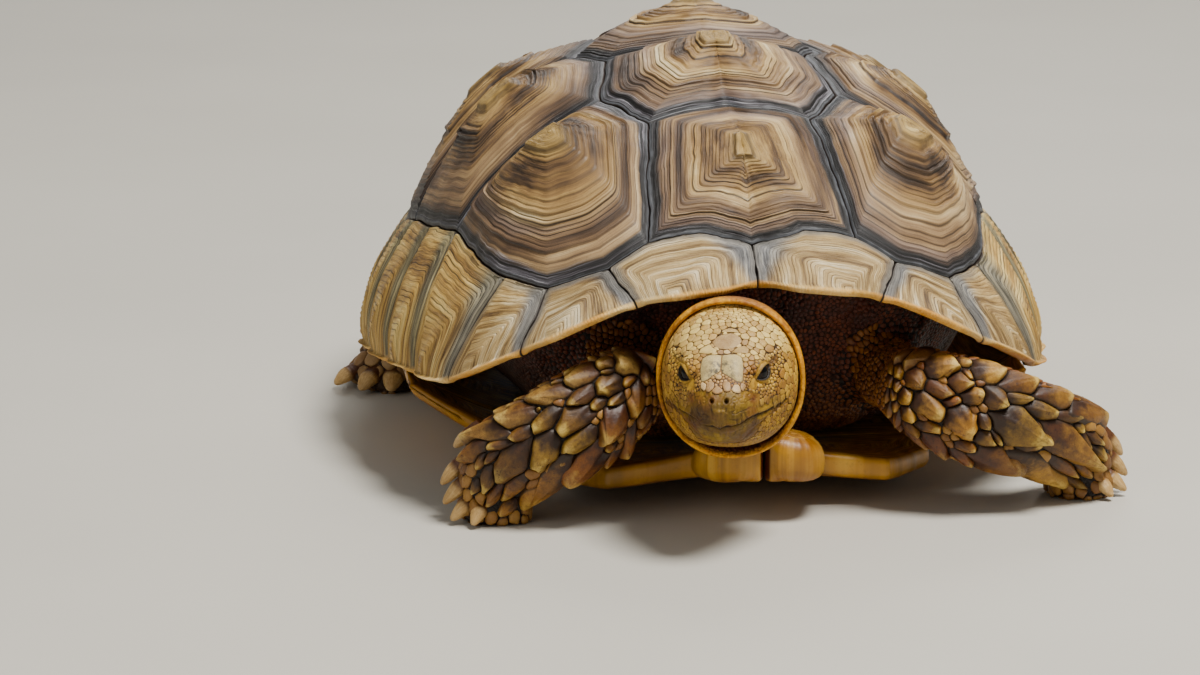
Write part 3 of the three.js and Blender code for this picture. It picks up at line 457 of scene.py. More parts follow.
def scute(build, ring, centre, raise_by, rings, ident, side=1, around=176, rows=100, areola=0.15, wobble=1.3, squeeze=1.15, crease=()):
    names = [canon(n, side) for n in ring]
    pts = [where(n) for n in names]
    lengths = [np.linalg.norm((pts[(i + 1) % len(pts)] - p) * MM) for i, p in enumerate(pts)]
    total = sum(lengths)
    counts = [max(4, int(round(around * L / total))) for L in lengths]
    edge = np.concatenate([seam(names[i], names[(i + 1) % len(names)], counts[i], wobble) for i in range(len(names))])
    plain = np.concatenate([seam(names[i], names[(i + 1) % len(names)], counts[i], 0.0) for i in range(len(names))])
    if np.sum((edge[:, 0] * np.roll(edge[:, 1], -1) - np.roll(edge[:, 0], -1) * edge[:, 1])) < 0:
        edge, plain = edge[::-1], plain[::-1]
    g = disc_of(centre[0] * side, centre[1])
    ray = edge - g
    reach = np.linalg.norm(ray * MM, axis=1)  # mm from the growth centre to the seam
    soft = plain - g
    for _ in range(10):
        soft = 0.25 * np.roll(soft, 1, 0) + 0.5 * soft + 0.25 * np.roll(soft, -1, 0)
    soft = soft * (np.linalg.norm(ray, axis=1).mean() / np.linalg.norm(soft, axis=1).mean())
    phi = np.arctan2(ray[:, 1] * MM[1], ray[:, 0] * MM[0])
    n = len(edge)
    cp, sp = np.cos(phi)[None], np.sin(phi)[None]
    fine_s = np.linspace(0, 1, 320)[:, None]
    wander = noise(xyz(cp * 1.3, sp * 1.3, fine_s * 4 + ident * 3.3), 11)
    fine = noise(xyz(cp * 6, sp * 6, fine_s * 7 + ident), 12)
    start = ident * 0.37
    uneven = 0.045 * (np.sin(2 * np.pi * (2 * fine_s + start)) - math.sin(2 * math.pi * start))
    ph = rings * (fine_s**squeeze + uneven) + 0.32 * wander * np.sin(np.pi * fine_s) + 0.12 * fine * smooth(0.1, 0.3, fine_s) * smooth(1, 0.9, fine_s)
    ph = np.maximum.accumulate(np.clip(ph, 0, rings), 0) + fine_s * 1e-4
    levels = np.array([0.0] + [k + f for k in range(rings) for f in (0.12, 0.45, 0.78, 0.9, 1.0)])
    s = np.stack([np.interp(levels, ph[:, j], fine_s[:, 0]) for j in range(len(edge))], -1)
    s[-1] = 1.0
    table = [(v, 1.15, 0.0, 0) for v in levels] + [(1, 0.8, 0.18, 0), (1, 0.5, 0.5, 0), (1, 0.26, 1.1, 0), (1, 0.14, 2.2, 0), (1, 0.14, 7.0, 1), (1, 0.6, PLATE_T, 1), (0.55, 0, PLATE_T, 1)]
    S = np.concatenate([s, np.array([t[0] for t in table[len(levels) :]])[:, None] + 0 * s[:1]])
    phase = np.concatenate([levels, np.full(len(table) - len(levels), float(rings))])[:, None] + 0 * s[:1]
    inset = np.array([t[1] for t in table])[:, None]
    drop = np.array([t[2] for t in table])[:, None]
    hidden = np.array([t[3] for t in table])[:, None]
    w = smooth(1.0, 0.6, S)[..., None]
    P = g + (ray * (1 - w) + soft * w) * (S * (1 - inset / reach))[..., None]
    edge_ = np.clip((S - areola) / (1 - areola), 0, 1)
    lift = 1 - 0.10 * smooth(areola, areola + 0.035, S) - 0.90 * edge_ ** 0.82
    lift = lift - 0.03 * smooth(areola, 0, S)
    ridge = 0.18 + (0.85 + 0.4 * smooth(0.6, 0.35, S)) * smooth(areola * 0.8, areola * 1.5, S) * ring_size(phase - 1e-3, ident) * (1 + 0.3 * noise(xyz(cp * 2, sp * 2, phase * 0.35 + ident), 13))
    ridge = ridge * np.where(S > 0.84, 0.55, 1.0)
    scallop = 0.3 * noise(xyz(cp * 9, sp * 9, phase * 0.6 + ident * 2), 17) * smooth(areola, areola * 2, S)
    h = (raise_by + 4.0) * lift + ring_relief(phase, ridge) + scallop - drop
    valley = smooth(0.86, 1.0, S) * 0.9
    h = h - valley
    for (ang, width, deep) in crease:  # a crease or ridge line that runs out from the growth centre
        d = np.abs(np.angle(np.exp(1j * (phi - math.radians(ang)))))[None, :] * reach[None, :] * S
        h = h + deep * np.exp(-((d / width) ** 2)) * smooth(0.05, 0.3, S) * smooth(1.0, 0.8, S)
    h = np.where(hidden > 0, -drop, h)
    h[0] = h[0].mean()
    P[0] = g
    V = dome(P) + dome_normal(P) * h[..., None]
    rr, cc = V.shape[:2]
    faces = [grid(rr, cc, wrap=True)]
    V = V.reshape(-1, 3)
    # merge the centre row into one point by pointing the first band at it with triangles
    top = faces[0][:cc]
    tri = np.stack([np.zeros(cc, int), top[:, 2], top[:, 3]], -1)
    quads = faces[0][cc:]
    low = np.array([V[(rr - 1) * cc :].mean(0)])
    V = np.concatenate([V, low])
    last = (rr - 1) * cc
    cap = np.stack([last + np.arange(cc), last + (np.arange(cc) + 1) % cc, np.full(cc, len(V) - 1)], -1)
    keep = np.ones(len(V), bool)
    keep[1:cc] = False
    remap = np.cumsum(keep) - 1
    rim_mm = (reach[None, :] * (1 - S * (1 - inset / reach)))
    uvp = (P - edge.mean(0)) * MM
    span = np.abs(uvp[: len(s) + 4]).max()
    uv = 0.5 + uvp / span * 0.47
    uv[len(s) + 4 :] = uv[len(s) + 3]
    flat = lambda a: np.append(np.broadcast_to(a, (rr, cc)).reshape(-1), np.broadcast_to(a, (rr, cc))[-1, 0])
    attrs = dict(phase=flat(phase), age=flat(S * 1.0), rim=flat(rim_mm), ident=flat(np.full((1, 1), float(ident))),
                 turn=np.stack([flat(np.cos(phi)[None, :] * 1.0), flat(np.sin(phi)[None, :] * 1.0), flat(np.full((1, 1), ident * 1.37))], -1))
    tri, quads, cap = remap[tri], remap[quads], remap[cap]
    build.add(V[keep], [tri, quads, cap], uv=np.concatenate([uv.reshape(-1, 2), uv[-1, :1]])[keep], **{k: v[keep] for k, v in attrs.items()})
    return build


def shell_material(name, kind):
    m = Mat(name, IOR=1.5)
    phase, age, rim, ident = m.attr("phase"), m.attr("age"), m.attr("rim"), m.attr("ident")
    turn, pos = m.attr("turn", True), m.position()
    tx, ty, tz = m.split(turn)
    # noise stretched along the growth lines
    a, b, c = (0.38, 0.8, 1.5) if kind == "scute" else (0.28, 0.6, 1.6)
    lay = m.join(m.math("MULTIPLY", phase, 0.17 if kind == "scute" else 0.26), m.math("MULTIPLY", tx, a), m.math("ADD", m.math("MULTIPLY", ty, a), m.math("MULTIPLY", tz, 5.0)))
    lay2 = m.join(m.math("MULTIPLY", phase, 1.1), m.math("MULTIPLY", tx, b), m.math("ADD", m.math("MULTIPLY", ty, b), m.math("MULTIPLY", tz, 3.0)))
    lay3 = m.join(m.math("MULTIPLY", phase, 4.5), m.math("MULTIPLY", tx, c), m.math("ADD", m.math("MULTIPLY", ty, c), tz))
    streak = m.noise(lay, 1.6, 3, 0.55)
    thin = m.noise(lay2, 1.5, 3, 0.6)
    hair = m.noise(lay3, 1.3, 2, 0.6)
    blot = m.noise(pos, 22, 4, 0.6)
    grain = m.noise(pos, 900, 3, 0.6)
    each = m.white(m.math("ADD", m.math("FLOOR", phase), m.math("MULTIPLY", ident, 13.7)))
    f = m.math("FRACT", phase)
    tri = m.math("ABSOLUTE", m.math("SUBTRACT", m.math("MULTIPLY", m.math("FRACT", m.math("ADD", phase, 0.05)), 2.0), 1.0))
    groove = m.fade(tri, 0.66, 0.96)
    v = m.math("ADD", m.math("MULTIPLY", streak, 1.15), m.math("MULTIPLY", thin, 0.34))
    v = m.math("ADD", v, m.math("MULTIPLY", each, 0.15))
    v = m.math("ADD", v, m.math("MULTIPLY", m.math("ADD", hair, -0.25), 0.32))
    v = m.math("ADD", v, m.math("MULTIPLY", blot, 0.34))
    if kind == "scute":
        turn_age = m.math("ADD", age, m.math("MULTIPLY", m.math("SUBTRACT", blot, 0.5), 0.22))
        step_ = m.ramp(turn_age, [(0.0, 0.5), (0.17, 0.55), (0.26, 0.44), (0.36, 0.26), (0.46, 0.36), (0.54, 0.58), (0.64, 0.5), (0.73, 0.36), (0.88, 0.4)])
        v = m.math("ADD", m.math("MULTIPLY", m.math("ADD", v, -1.09), 1.35), step_)
    else:
        v = m.math("ADD", m.math("MULTIPLY", m.math("ADD", v, -1.05), 1.9), 0.48)
    mauve = m.fade(m.noise(m.vec("ADD", lay, (7.0, 3.0, 1.0)), 1.1, 3, 0.55), 0.46, 0.62)
    if kind == "scute":
        mid = m.ramp(v, [(0.02, "#30241a"), (0.22, "#5d4935"), (0.42, "#856c4c"), (0.58, "#a48a62"), (0.76, "#bfa880"), (0.95, "#dccfae")])
        mid = m.mix(m.math("MULTIPLY", m.fade(mauve, 0.0, 1.0, 0.45, 1.0), m.fade(age, 0.5, 0.72, 0.05, 0.8)), mid, m.ramp(v, [(0.05, "#2c2422"), (0.35, "#594b47"), (0.6, "#82736c"), (0.9, "#b5a89b")]))
        old = m.ramp(v, [(0.15, "#5c4930"), (0.45, "#86704a"), (0.75, "#a88f62"), (0.95, "#c4b085")])
        # near the seams the new growth is near-black; its pale grey stops are partly painted reflection
        w = m.math("ADD", m.math("MULTIPLY", thin, 0.9), m.math("ADD", m.math("MULTIPLY", hair, 0.7), m.math("MULTIPLY", each, 0.2)))
        new = m.ramp(m.math("ADD", m.math("MULTIPLY", m.math("ADD", w, -0.9), 1.6), 0.5), [(0.3, "#060506"), (0.55, "#161415"), (0.7, "#353235"), (0.84, "#68666c"), (0.97, "#a1a0a2")])
        col = m.mix(m.fade(age, 0.12, 0.26), old, mid)
        wob = m.math("ADD", age, m.math("MULTIPLY", m.math("SUBTRACT", thin, 0.5), 0.10))
        near_ = m.fade(m.math("ADD", rim, m.math("MULTIPLY", m.math("SUBTRACT", blot, 0.5), 6.0)), 7.0, 3.6)
        near_ = m.math("MAXIMUM", near_, m.fade(m.math("ADD", age, m.math("MULTIPLY", m.math("SUBTRACT", thin, 0.5), 0.1)), 0.88, 0.935))
        col = m.mix(near_, col, new)
        # painted reflection: a blue-grey sheen painted along the sides of the seam grooves
        grey = m.mix(m.noise(pos, 160, 3), "#3b3c40", "#8e9298")
        edge = m.fade(m.math("ADD", rim, m.math("MULTIPLY", m.noise(pos, 90, 2), 3.0)), 4.2, 2.0)
        col = m.mix(m.math("MULTIPLY", edge, 0.7), col, grey)
        round_areola = m.math("MULTIPLY", m.fade(age, 0.145, 0.165), m.fade(age, 0.2, 0.175))
        dark = m.math("MULTIPLY", m.math("MULTIPLY", groove, m.fade(each, 0.3, 1.0, 0.2, 0.95)), m.fade(age, 0.08, 0.22, 0.4, 1.0))
        dark = m.math("MAXIMUM", dark, m.math("MULTIPLY", round_areola, 0.6))
    else:
        mid = m.ramp(v, [(0.0, "#5c4934"), (0.24, "#8c7555"), (0.48, "#b09871"), (0.7, "#cab48e"), (0.95, "#e4d6b8")])
        new = m.ramp(v, [(0.05, "#333232"), (0.35, "#595858"), (0.6, "#828282"), (0.9, "#aeaaa2")])
        front = m.attr("front")
        col = m.mix(m.fade(m.math("ADD", front, m.math("MULTIPLY", m.math("SUBTRACT", blot, 0.5), 0.5)), 0.34, 0.8), mid, new)
        grey = m.mix(m.noise(pos, 160, 3), "#4c4a48", "#98958f")
        edge = m.fade(m.math("ADD", rim, m.math("MULTIPLY", m.noise(pos, 90, 2), 3.0)), 8.0, 3.2)
        flank = m.fade(m.split(pos)[1], -0.19, -0.11)
        col = m.mix(m.math("MULTIPLY", edge, m.math("SUBTRACT", 0.85, m.math("MULTIPLY", flank, 0.5))), col, grey)
        col = m.mix(flank, col, m.mix(1.0, col, "#fff0c4", "MULTIPLY"))
        lip = m.attr("lip")
        under = m.ramp(m.math("ADD", m.math("MULTIPLY", blot, 0.6), m.math("MULTIPLY", thin, 0.4)), [(0.3, "#b0782c"), (0.5, "#cf9c4e"), (0.7, "#e2bd7c")])
        cream = m.ramp(m.math("ADD", m.math("MULTIPLY", blot, 0.7), m.math("MULTIPLY", grain, 0.3)), [(0.35, "#c4893c"), (0.5, "#dcb273"), (0.62, "#ecd2a0")])
        col = m.mix(m.fade(lip, 0.15, 0.6), col, cream)
        col = m.mix(m.fade(lip, 1.15, 1.7), col, under)
        dark = m.math("MULTIPLY", m.math("MULTIPLY", groove, m.fade(each, 0.2, 1.0, 0.25, 1.0)), m.fade(lip, 0.5, 0.1))
    # growth rings darkened at each ring's steep drop: partly dirt in the grooves, partly painted shade under the ledge;
    # on the scutes the line round the areola is the plate's own colour
    col = m.mix(dark, col, m.mix(1.0, col, "#3c2e24", "MULTIPLY"))
    crack = m.fade(m.attr("rim"), 0.8, 0.3)
    col = m.mix(crack, col, "#2c2420")
    col = m.mix(m.math("MULTIPLY", m.fade(grain, 0.5, 0.75), 0.22), col, m.mix(1.0, col, "#6e5a48", "MULTIPLY"))
    height = m.math("ADD", m.math("MULTIPLY", tri, -0.3), m.math("ADD", m.math("MULTIPLY", hair, 0.9), m.math("MULTIPLY", thin, 0.5)))
    n = m.bump(height, 0.0009, 0.9)
    n = m.bump(m.math("ADD", grain, m.math("MULTIPLY", m.voronoi(pos, 900), 0.5)), 0.00012, 0.6, n)
    rough = m.math("ADD", m.math("MULTIPLY", blot, 0.22), m.math("ADD", 0.36, m.math("MULTIPLY", hair, 0.12)))
    return m.set(Base_Color=col, Roughness=rough, Normal=n)


SCUTE = shell_material("horn_scute", "scute")
RIM = shell_material("horn_rim", "rim")

VERTEBRALS = [
    (["v12", "v1m", "n01", "n0", "-n01", "-v1m", "-v12", "v12m"], (0, -163), 11, 21, ((-90, 1.6, -0.5),)),
    (["v23", "v2c", "v12", "v12m", "-v12", "-v2c", "-v23", "v23m"], (0, -51), 13, 20, ()),
    (["v34", "v3c", "v23", "v23m", "-v23", "-v3c", "-v34", "v34m"], (0, 35), 15, 20, ()),
    (["v45", "v4c", "v34", "v34m", "-v34", "-v4c", "-v45", "v45m"], (0, 114), 12, 18, ()),
    (["v5s", "v5c", "v45", "v45m", "-v45", "-v5c", "-v5s", "v5m"], (0, 184), 9, 18, ()),
]
COSTALS = [
    (["v1m", "v12", "v2c", "m45", "m34", "m23", "m12"], (101, -118), 14, 22),
    (["v2c", "v23", "v3c", "m67", "m56", "m45"], (118, -14), 13, 20),
    (["v3c", "v34", "v4c", "m89", "m78", "m67"], (116, 66), 12, 20),
    (["v4c", "v45", "v5c", "m1011", "m910", "m89"], (102, 138), 10, 18),
]
for i, (ring, at, up, rings, crease) in enumerate(VERTEBRALS):
    scute(Build(), ring, at, up, rings, i + 1, crease=crease, wobble=1.8).mesh(f"scute_vertebral_{i + 1}", SCUTE, "shell_scute", [f"vertebral_{i + 1}"])
for side, word in ((1, "left"), (-1, "right")):
    for i, (ring, at, up, rings) in enumerate(COSTALS):
        scute(Build(), ring, at, up, rings, 10 * (2 + side) + i, side).mesh(f"scute_costal_{word}_{i + 1}", SCUTE, "shell_scute", [f"costal_{word}_{i + 1}"])

# ---- marginals: a rounded rim round the shell, each with growth lines set round its rear outer corner ------------------------
MARGINALS = {
    "front": [("n0", "r0"), ("v1m", "r1"), ("m12", "r12"), ("m23", "r23"), ("m34", "r34")],
    "side": [("m34", "r34"), ("m45", "r45"), ("m56", "r56"), ("m67", "r67"), ("m78", "r78")],
    "rear": [("m78", "r78"), ("m89", "r89"), ("m910", "r910"), ("m1011", "r1011"), ("v5c", "r11s")],
}
INNER_VIA = {("n0", "m12"): ["n01", "v1m"], ("v5c", "-v5c"): ["v5s", "v5m", "-v5s"]}


def marginal(build, a, b, side, ident, uv_box, focus=0.72, cols=62):
    """One marginal between the seams (a inner, a rim) and (b inner, b rim), front to rear on the left side."""
    (ia, ra), (ib, rb) = a, b
    ia_, ib_, ra_, rb_ = canon(ia, side), canon(ib, side), canon(ra, side), canon(rb, side)
    via = [canon(n, side) for n in INNER_VIA.get((ia, ib), [])]
    chain = [ia_] + via + [ib_]
    inner = np.concatenate([seam(chain[k], chain[k + 1], 60) for k in range(len(chain) - 1)] + [where(ib_)[None]])
    arc = np.concatenate([[0], np.cumsum(np.linalg.norm(np.diff(inner, axis=0) * MM, axis=1))])
    lock = {n: k * 60 for k, n in enumerate(chain)}
    inner_at = lambda u: np.stack([np.interp(u * arc[-1], arc, inner[:, k]) for k in (0, 1)], -1)
    angle = lambda p: math.atan2(p[0], -p[1])
    t0, t1 = angle(where(ra_)), angle(where(rb_))
    if rb_ == "r180":
        t1 = math.pi * (1 if side > 0 else -1)
    if side > 0 and t1 < t0:
        t1 += 2 * math.pi
    width = (arc[-1] + abs(t1 - t0) * 230) / 2
    e = np.array([0.14, 0.3, 0.6, 1.0, 1.5]) / width
    u = np.concatenate([e, np.linspace(e[-1], 1 - e[-1], cols)[1:-1], 1 - e[::-1]])
    inner_p = inner_at(u)
    # the side seams wander, and the rim swells between them
    rim_t = t0 + (t1 - t0) * u
    rim_p = np.stack([np.sin(rim_t), -np.cos(rim_t)], -1)
    top = 52
    v = np.concatenate([[0.0] * 5, np.linspace(0, 1, top)[1:]])
    inset = np.concatenate([[0.14, 0.26, 0.5, 0.85, 1.2], np.zeros(top - 1)])
    drop = np.concatenate([[3.0, 1.6, 0.7, 0.22, 0.0], np.zeros(top - 1)])
    depth = np.linalg.norm((rim_p - inner_p) * MM, axis=1)
    V_, W_ = v[:, None], (inset[:, None] / depth[None, :]) + 0 * u[None, :]
    vv = W_ + (1 - W_) * V_
    wig = 1.0 * (n1(vv * depth.mean() / 14.0 + ident * 3.1, 41) * 0.8 + n1(vv * depth.mean() / 4.0, 42 + ident) * 0.25)
    swing0, swing1 = seam_swing(ra_, vv, depth.mean()), seam_swing(rb_, vv, depth.mean())
    shift_mm = swing0 * (1 - u[None, :]) + swing1 * u[None, :]
    along = unit((np.roll(inner_p, -1, 0) - inner_p)[:-1].mean(0) * MM)
    P = inner_p[None] * (1 - vv[..., None]) + rim_p[None] * vv[..., None]
    P = P + (along / MM) * shift_mm[..., None]
    rho = np.linalg.norm(P, axis=-1, keepdims=True)
    swell = 0.0165 * np.sin(np.pi * np.clip(u, 0, 1)) ** 0.7 * smooth(0.55, 1.0, vv) - 0.007 * (1 - np.sin(np.pi * np.clip(u, 0, 1)) ** 0.35) * smooth(0.7, 1.0, vv)
    P = P * (1 + swell[..., None])
    side_mm = np.minimum(u, 1 - u)[None, :] * (arc[-1] * (1 - vv) + abs(t1 - t0) * 230 * vv)
    seam_mm = np.minimum(side_mm, vv * depth[None, :])
    edge_drop = 2.0 * np.exp(-((side_mm / 0.42) ** 1.3))
    U = u[None, :] + 0 * vv
    sharp = 24.0
    s = (np.clip((focus - U) / focus, 0, 1) ** sharp + np.clip((U - focus) / (1 - focus), 0, 1) ** sharp + np.clip(1 - vv, 0, 1) ** sharp) ** (1 / sharp)
    s = np.clip(s, 0, 1)
    rings = 25
    wob = noise(xyz(U * 3 + ident * 5.1, vv * 3, ident), 21) * 0.45 + noise(xyz(U * 9, vv * 9 + ident, 0.5), 22) * 0.16
    phase = rings * s**1.15 + 0.7 * wob
    on, nr = dome(P), dome_normal(P)
    swell_h = 2.6 * np.sin(np.pi * np.clip(vv, 0, 1)) ** 0.8 * (0.55 + 0.45 * np.sin(np.pi * U)) + 1.2 * smooth(0.5, 0.95, vv) * np.sin(np.pi * U)
    ridge = 2.0 * np.exp(-(((U - focus * (0.25 + 0.75 * vv)) * width / 6.0) ** 2)) * np.clip(vv * 1.4, 0, 1) * smooth(1.02, 0.8, vv)
    h = swell_h + ridge + 0.42 * np.sin(2 * np.pi * (phase - 0.3)) * smooth(0.04, 0.12, s) * (0.25 + 0.75 * smooth(1.0, 0.92, vv)) - drop[:, None] - edge_drop - 0.8 * smooth(5, 0, seam_mm)
    T = on + nr * h[..., None]
    # lip round the rim and the underside, back to the inner wall
    thick = lambda q: PLATE_T + (4.4 - PLATE_T) * np.clip(q * 1.15 - 0.15, 0, 1)
    rim_top, nrm = T[-1], nr[-1]
    inward = unit(T[-3] - T[-1])
    out = -inward
    lip_t = 4.6 + 1.2 * np.sin(np.pi * u)
    rows_, vv_rows, lips, ph = [], [], [], []
    for k in np.linspace(0, math.pi, 9)[1:]:
        rows_.append(rim_top + out * (lip_t[:, None] * 0.5 * math.sin(k)) - nrm * (lip_t[:, None] * 0.5 * (1 - math.cos(k))))
        vv_rows.append(np.full_like(u, 1.0)); lips.append(np.full_like(u, 0.35 + 0.9 * k / math.pi)); ph.append(phase[-1])
    under_v = np.linspace(1, 0.0, 15)[1:]
    for q in under_v:
        p = inner_p * (1 - q) + rim_p * q
        p = p * (1 + (swell[-1] * smooth(0.55, 1, q))[:, None])
        h_u = -thick(q) - 1.0 + (lip_t * 0 + 0.5 * np.sin(np.pi * u))
        if q == under_v[-1]:
            p = inner_p
        blend = smooth(1.0, 0.8, q)
        base = dome(p) + dome_normal(p) * np.where(True, h_u, 0)[:, None]
        lin = rows_[7] + inward * ((1 - q) * depth)[:, None] * 0.96
        rows_.append(lin * (1 - blend) + base * blend)
        vv_rows.append(np.full_like(u, q)); lips.append(np.full_like(u, 2.0)); ph.append(rings * np.maximum(np.abs(u - focus), 1 - q) * 1.0)
    full = np.concatenate([T, np.array(rows_)])
    rr, cc = full.shape[:2]
    # the section is a closed loop, so the last row joins the first again
    quads = grid(rr, cc)
    close = np.stack([(rr - 1) * cc + np.arange(cc - 1), (rr - 1) * cc + np.arange(1, cc), np.arange(1, cc), np.arange(cc - 1)], -1)
    V = full.reshape(-1, 3)
    caps = []
    for col, flip in ((0, False), (cc - 1, True)):
        loop = np.arange(rr) * cc + col
        c = full[:, col].mean(0)
        V = np.concatenate([V, c[None]])
        f = np.stack([loop, np.roll(loop, -1), np.full(rr, len(V) - 1)], -1)
        caps.append(f[:, ::-1] if flip else f)
    allv = np.concatenate([vv, np.array(vv_rows)])
    pad = lambda A, fill=0.0: np.concatenate([A.reshape(-1), [fill, fill]])
    lipf = np.concatenate([np.zeros_like(T[..., 0]) + 0.35 * smooth(0.93, 1.0, vv), np.array(lips)])
    phase_f = np.concatenate([phase, np.array(ph)])
    rim_f = np.concatenate([seam_mm, np.minimum(u, 1 - u)[None] * width + 0 * np.array(vv_rows)])
    age_f = np.concatenate([s, np.full_like(np.array(vv_rows), 0.6)])
    front_f = np.concatenate([np.clip(1 - U * 1.5 / np.clip(0.25 + 0.75 * (1 - vv), 0.3, 1), -1, 1), 0 * np.array(vv_rows)])
    UU = np.broadcast_to(u, allv.shape)
    turn = np.stack([pad(UU * 2.5), pad(allv * 2.5), pad(np.full_like(allv, ident * 1.9), ident * 1.9)], -1)
    x0, y0, w, hgt = uv_box
    rowpos = np.linspace(0, 1, rr)[:, None] + 0 * UU
    uv = np.stack([pad(x0 + w * (0.03 + 0.94 * UU), x0), pad(y0 + hgt * (0.03 + 0.94 * rowpos), y0)], -1)
    sets = [quads, close, *caps]
    if side > 0:
        sets = [f[:, ::-1] for f in sets]
    build.add(V, sets, uv=uv, phase=pad(phase_f), age=pad(age_f, 1), rim=pad(rim_f), ident=pad(np.full_like(allv, float(ident)), ident), lip=pad(lipf, 1), front=pad(front_f), turn=turn)
    return build


def seam_swing(rim_name, vv, depth):
    """How far a seam between two marginals wanders along the rim at each share of the way out, in mm."""
    seed = sum(ord(c) * (5 + i) for i, c in enumerate(rim_name.lstrip("-")))
    x = vv * depth
    return np.sin(np.pi * np.clip(vv, 0, 1)) * (1.5 * n1(x / 18.0 + seed, seed) + 0.5 * n1(x / 5.0, seed + 3))


for side, word in ((1, "left"), (-1, "right")):
    ident = 60 if side > 0 else 80
    for run, cols in MARGINALS.items():
        b = Build()
        pairs = [(cols[0], cols[2])] + [(cols[i], cols[i + 1]) for i in range(2, len(cols) - 1)] if run == "front" else [(cols[i], cols[i + 1]) for i in range(len(cols) - 1)]
        for k, (p, q) in enumerate(pairs):
            ident += 1
            marginal(b, p, q, side, ident, (k * 0.25, 0, 0.25, 1), focus=0.7, cols=78 if (run == "front" and k == 0) else 62)
        b.mesh(f"scute_marginals_{run}_{word}", RIM, "rim_scute", [f"marginals_{run}_{word}"])

# ---- scales laid on a skin: cells between neighbouring seeds, each a low rounded plate ---------------------------------------
def grid_normals(P, wrap=True):
    du = np.gradient(P, axis=0)
    if wrap:
        dv = (np.roll(P, -1, 1) - np.roll(P, 1, 1)) * 0.5
    else:
        dv = np.gradient(P, axis=1)
    return unit(np.cross(du, dv))


def darts(X, r, spacing, fixed=()):
    """Indices of the points kept when each keeps its distance from the ones before it."""
    cell = max([float(np.max(r))] + [float(q) for _, q in fixed]) * spacing
    table, kept = {}, []

    def put(p, rad_):
        table.setdefault((int(p[0] // cell), int(p[1] // cell), int(p[2] // cell)), []).append((p[0], p[1], p[2], rad_))

    for p, rad_ in fixed:
        put(tuple(map(float, p)), float(rad_))
    pts, rr = X.tolist(), r.tolist()
    half = 0.5 * spacing
    for k, (p, q) in enumerate(zip(pts, rr)):
        a, b, c = int(p[0] // cell), int(p[1] // cell), int(p[2] // cell)
        clear = True
        for i in (a - 1, a, a + 1):
            for j in (b - 1, b, b + 1):
                for l in (c - 1, c, c + 1):
                    for x, y, z, w in table.get((i, j, l), ()):
                        if (x - p[0]) ** 2 + (y - p[1]) ** 2 + (z - p[2]) ** 2 < (half * (q + w)) ** 2:
                            clear = False
                            break
                    if not clear:
                        break
                if not clear:
                    break
            if not clear:
                break
        if clear:
            put(p, q)
            kept.append(k)
    return np.array(kept, int)


def scatter(P, N, UV, size, seed, tries, spacing=1.7, relax=2, fixed=None):
    """Seeds over a wrapped grid of points, closer where size() is small. size gives nan where nothing grows."""
    rng = np.random.default_rng(seed)
    P1, N1 = np.roll(P, -1, 1), np.roll(N, -1, 1)
    U1 = np.roll(UV, -1, 1).copy()
    U1[:, -1, 0] = 1.0
    A, B, C, D = P[:-1], P1[:-1], P[1:], P1[1:]
    area_ = np.linalg.norm(np.cross(B - A, C - A), axis=-1) + np.linalg.norm(np.cross(B - D, C - D), axis=-1)
    s0 = size(P[:-1].reshape(-1, 3)).reshape(area_.shape)
    weight = np.where(np.isfinite(s0), area_ / np.maximum(s0, 0.3) ** 2, 0).ravel()
    pick = rng.choice(weight.size, tries, p=weight / weight.sum())
    i, j = np.unravel_index(pick, area_.shape)
    a, b = rng.random(tries)[:, None], rng.random(tries)[:, None]
    mixq = lambda G, G1: (G[i, j] * (1 - b) + G1[i, j] * b) * (1 - a) + (G[i + 1, j] * (1 - b) + G1[i + 1, j] * b) * a
    X, Nn, uv = mixq(P, P1), unit(mixq(N, N1)), mixq(UV, U1)
    r = size(X)
    ok = np.isfinite(r)
    X, Nn, uv, r = X[ok], Nn[ok], uv[ok], r[ok]
    fixed = list(fixed or ())
    nf = len(fixed)
    got = np.array([p for p, _ in fixed]).reshape(-1, 3)
    idx = darts(X, r, spacing, fixed)
    for _ in range(relax):
        pts = np.concatenate([got[:nf], X[idx]])
        tree = KDTree(len(pts))
        for q, p in enumerate(pts):
            tree.insert(p, q)
        tree.balance()
        owner = np.array([tree.find(p)[1] for p in X])
        tot = np.zeros((len(pts), 3))
        cnt = np.zeros(len(pts))
        np.add.at(tot, owner, X)
        np.add.at(cnt, owner, 1)
        want = tot / np.maximum(cnt, 1)[:, None]
        d2 = np.full(len(pts), 1e9)
        best = np.concatenate([np.full(nf, -1), idx])
        dd = np.einsum("ij,ij->i", X - want[owner], X - want[owner])
        order = np.argsort(-dd)
        best2 = best.copy()
        best2[owner[order]] = order
        idx = np.where(best2[nf:] >= 0, best2[nf:], idx)
    return X[idx], Nn[idx], uv[idx], r[idx]


def tree_of(points):
    t = KDTree(len(points))
    for k, p in enumerate(points):
        t.insert(p, k)
    t.balance()
    return t


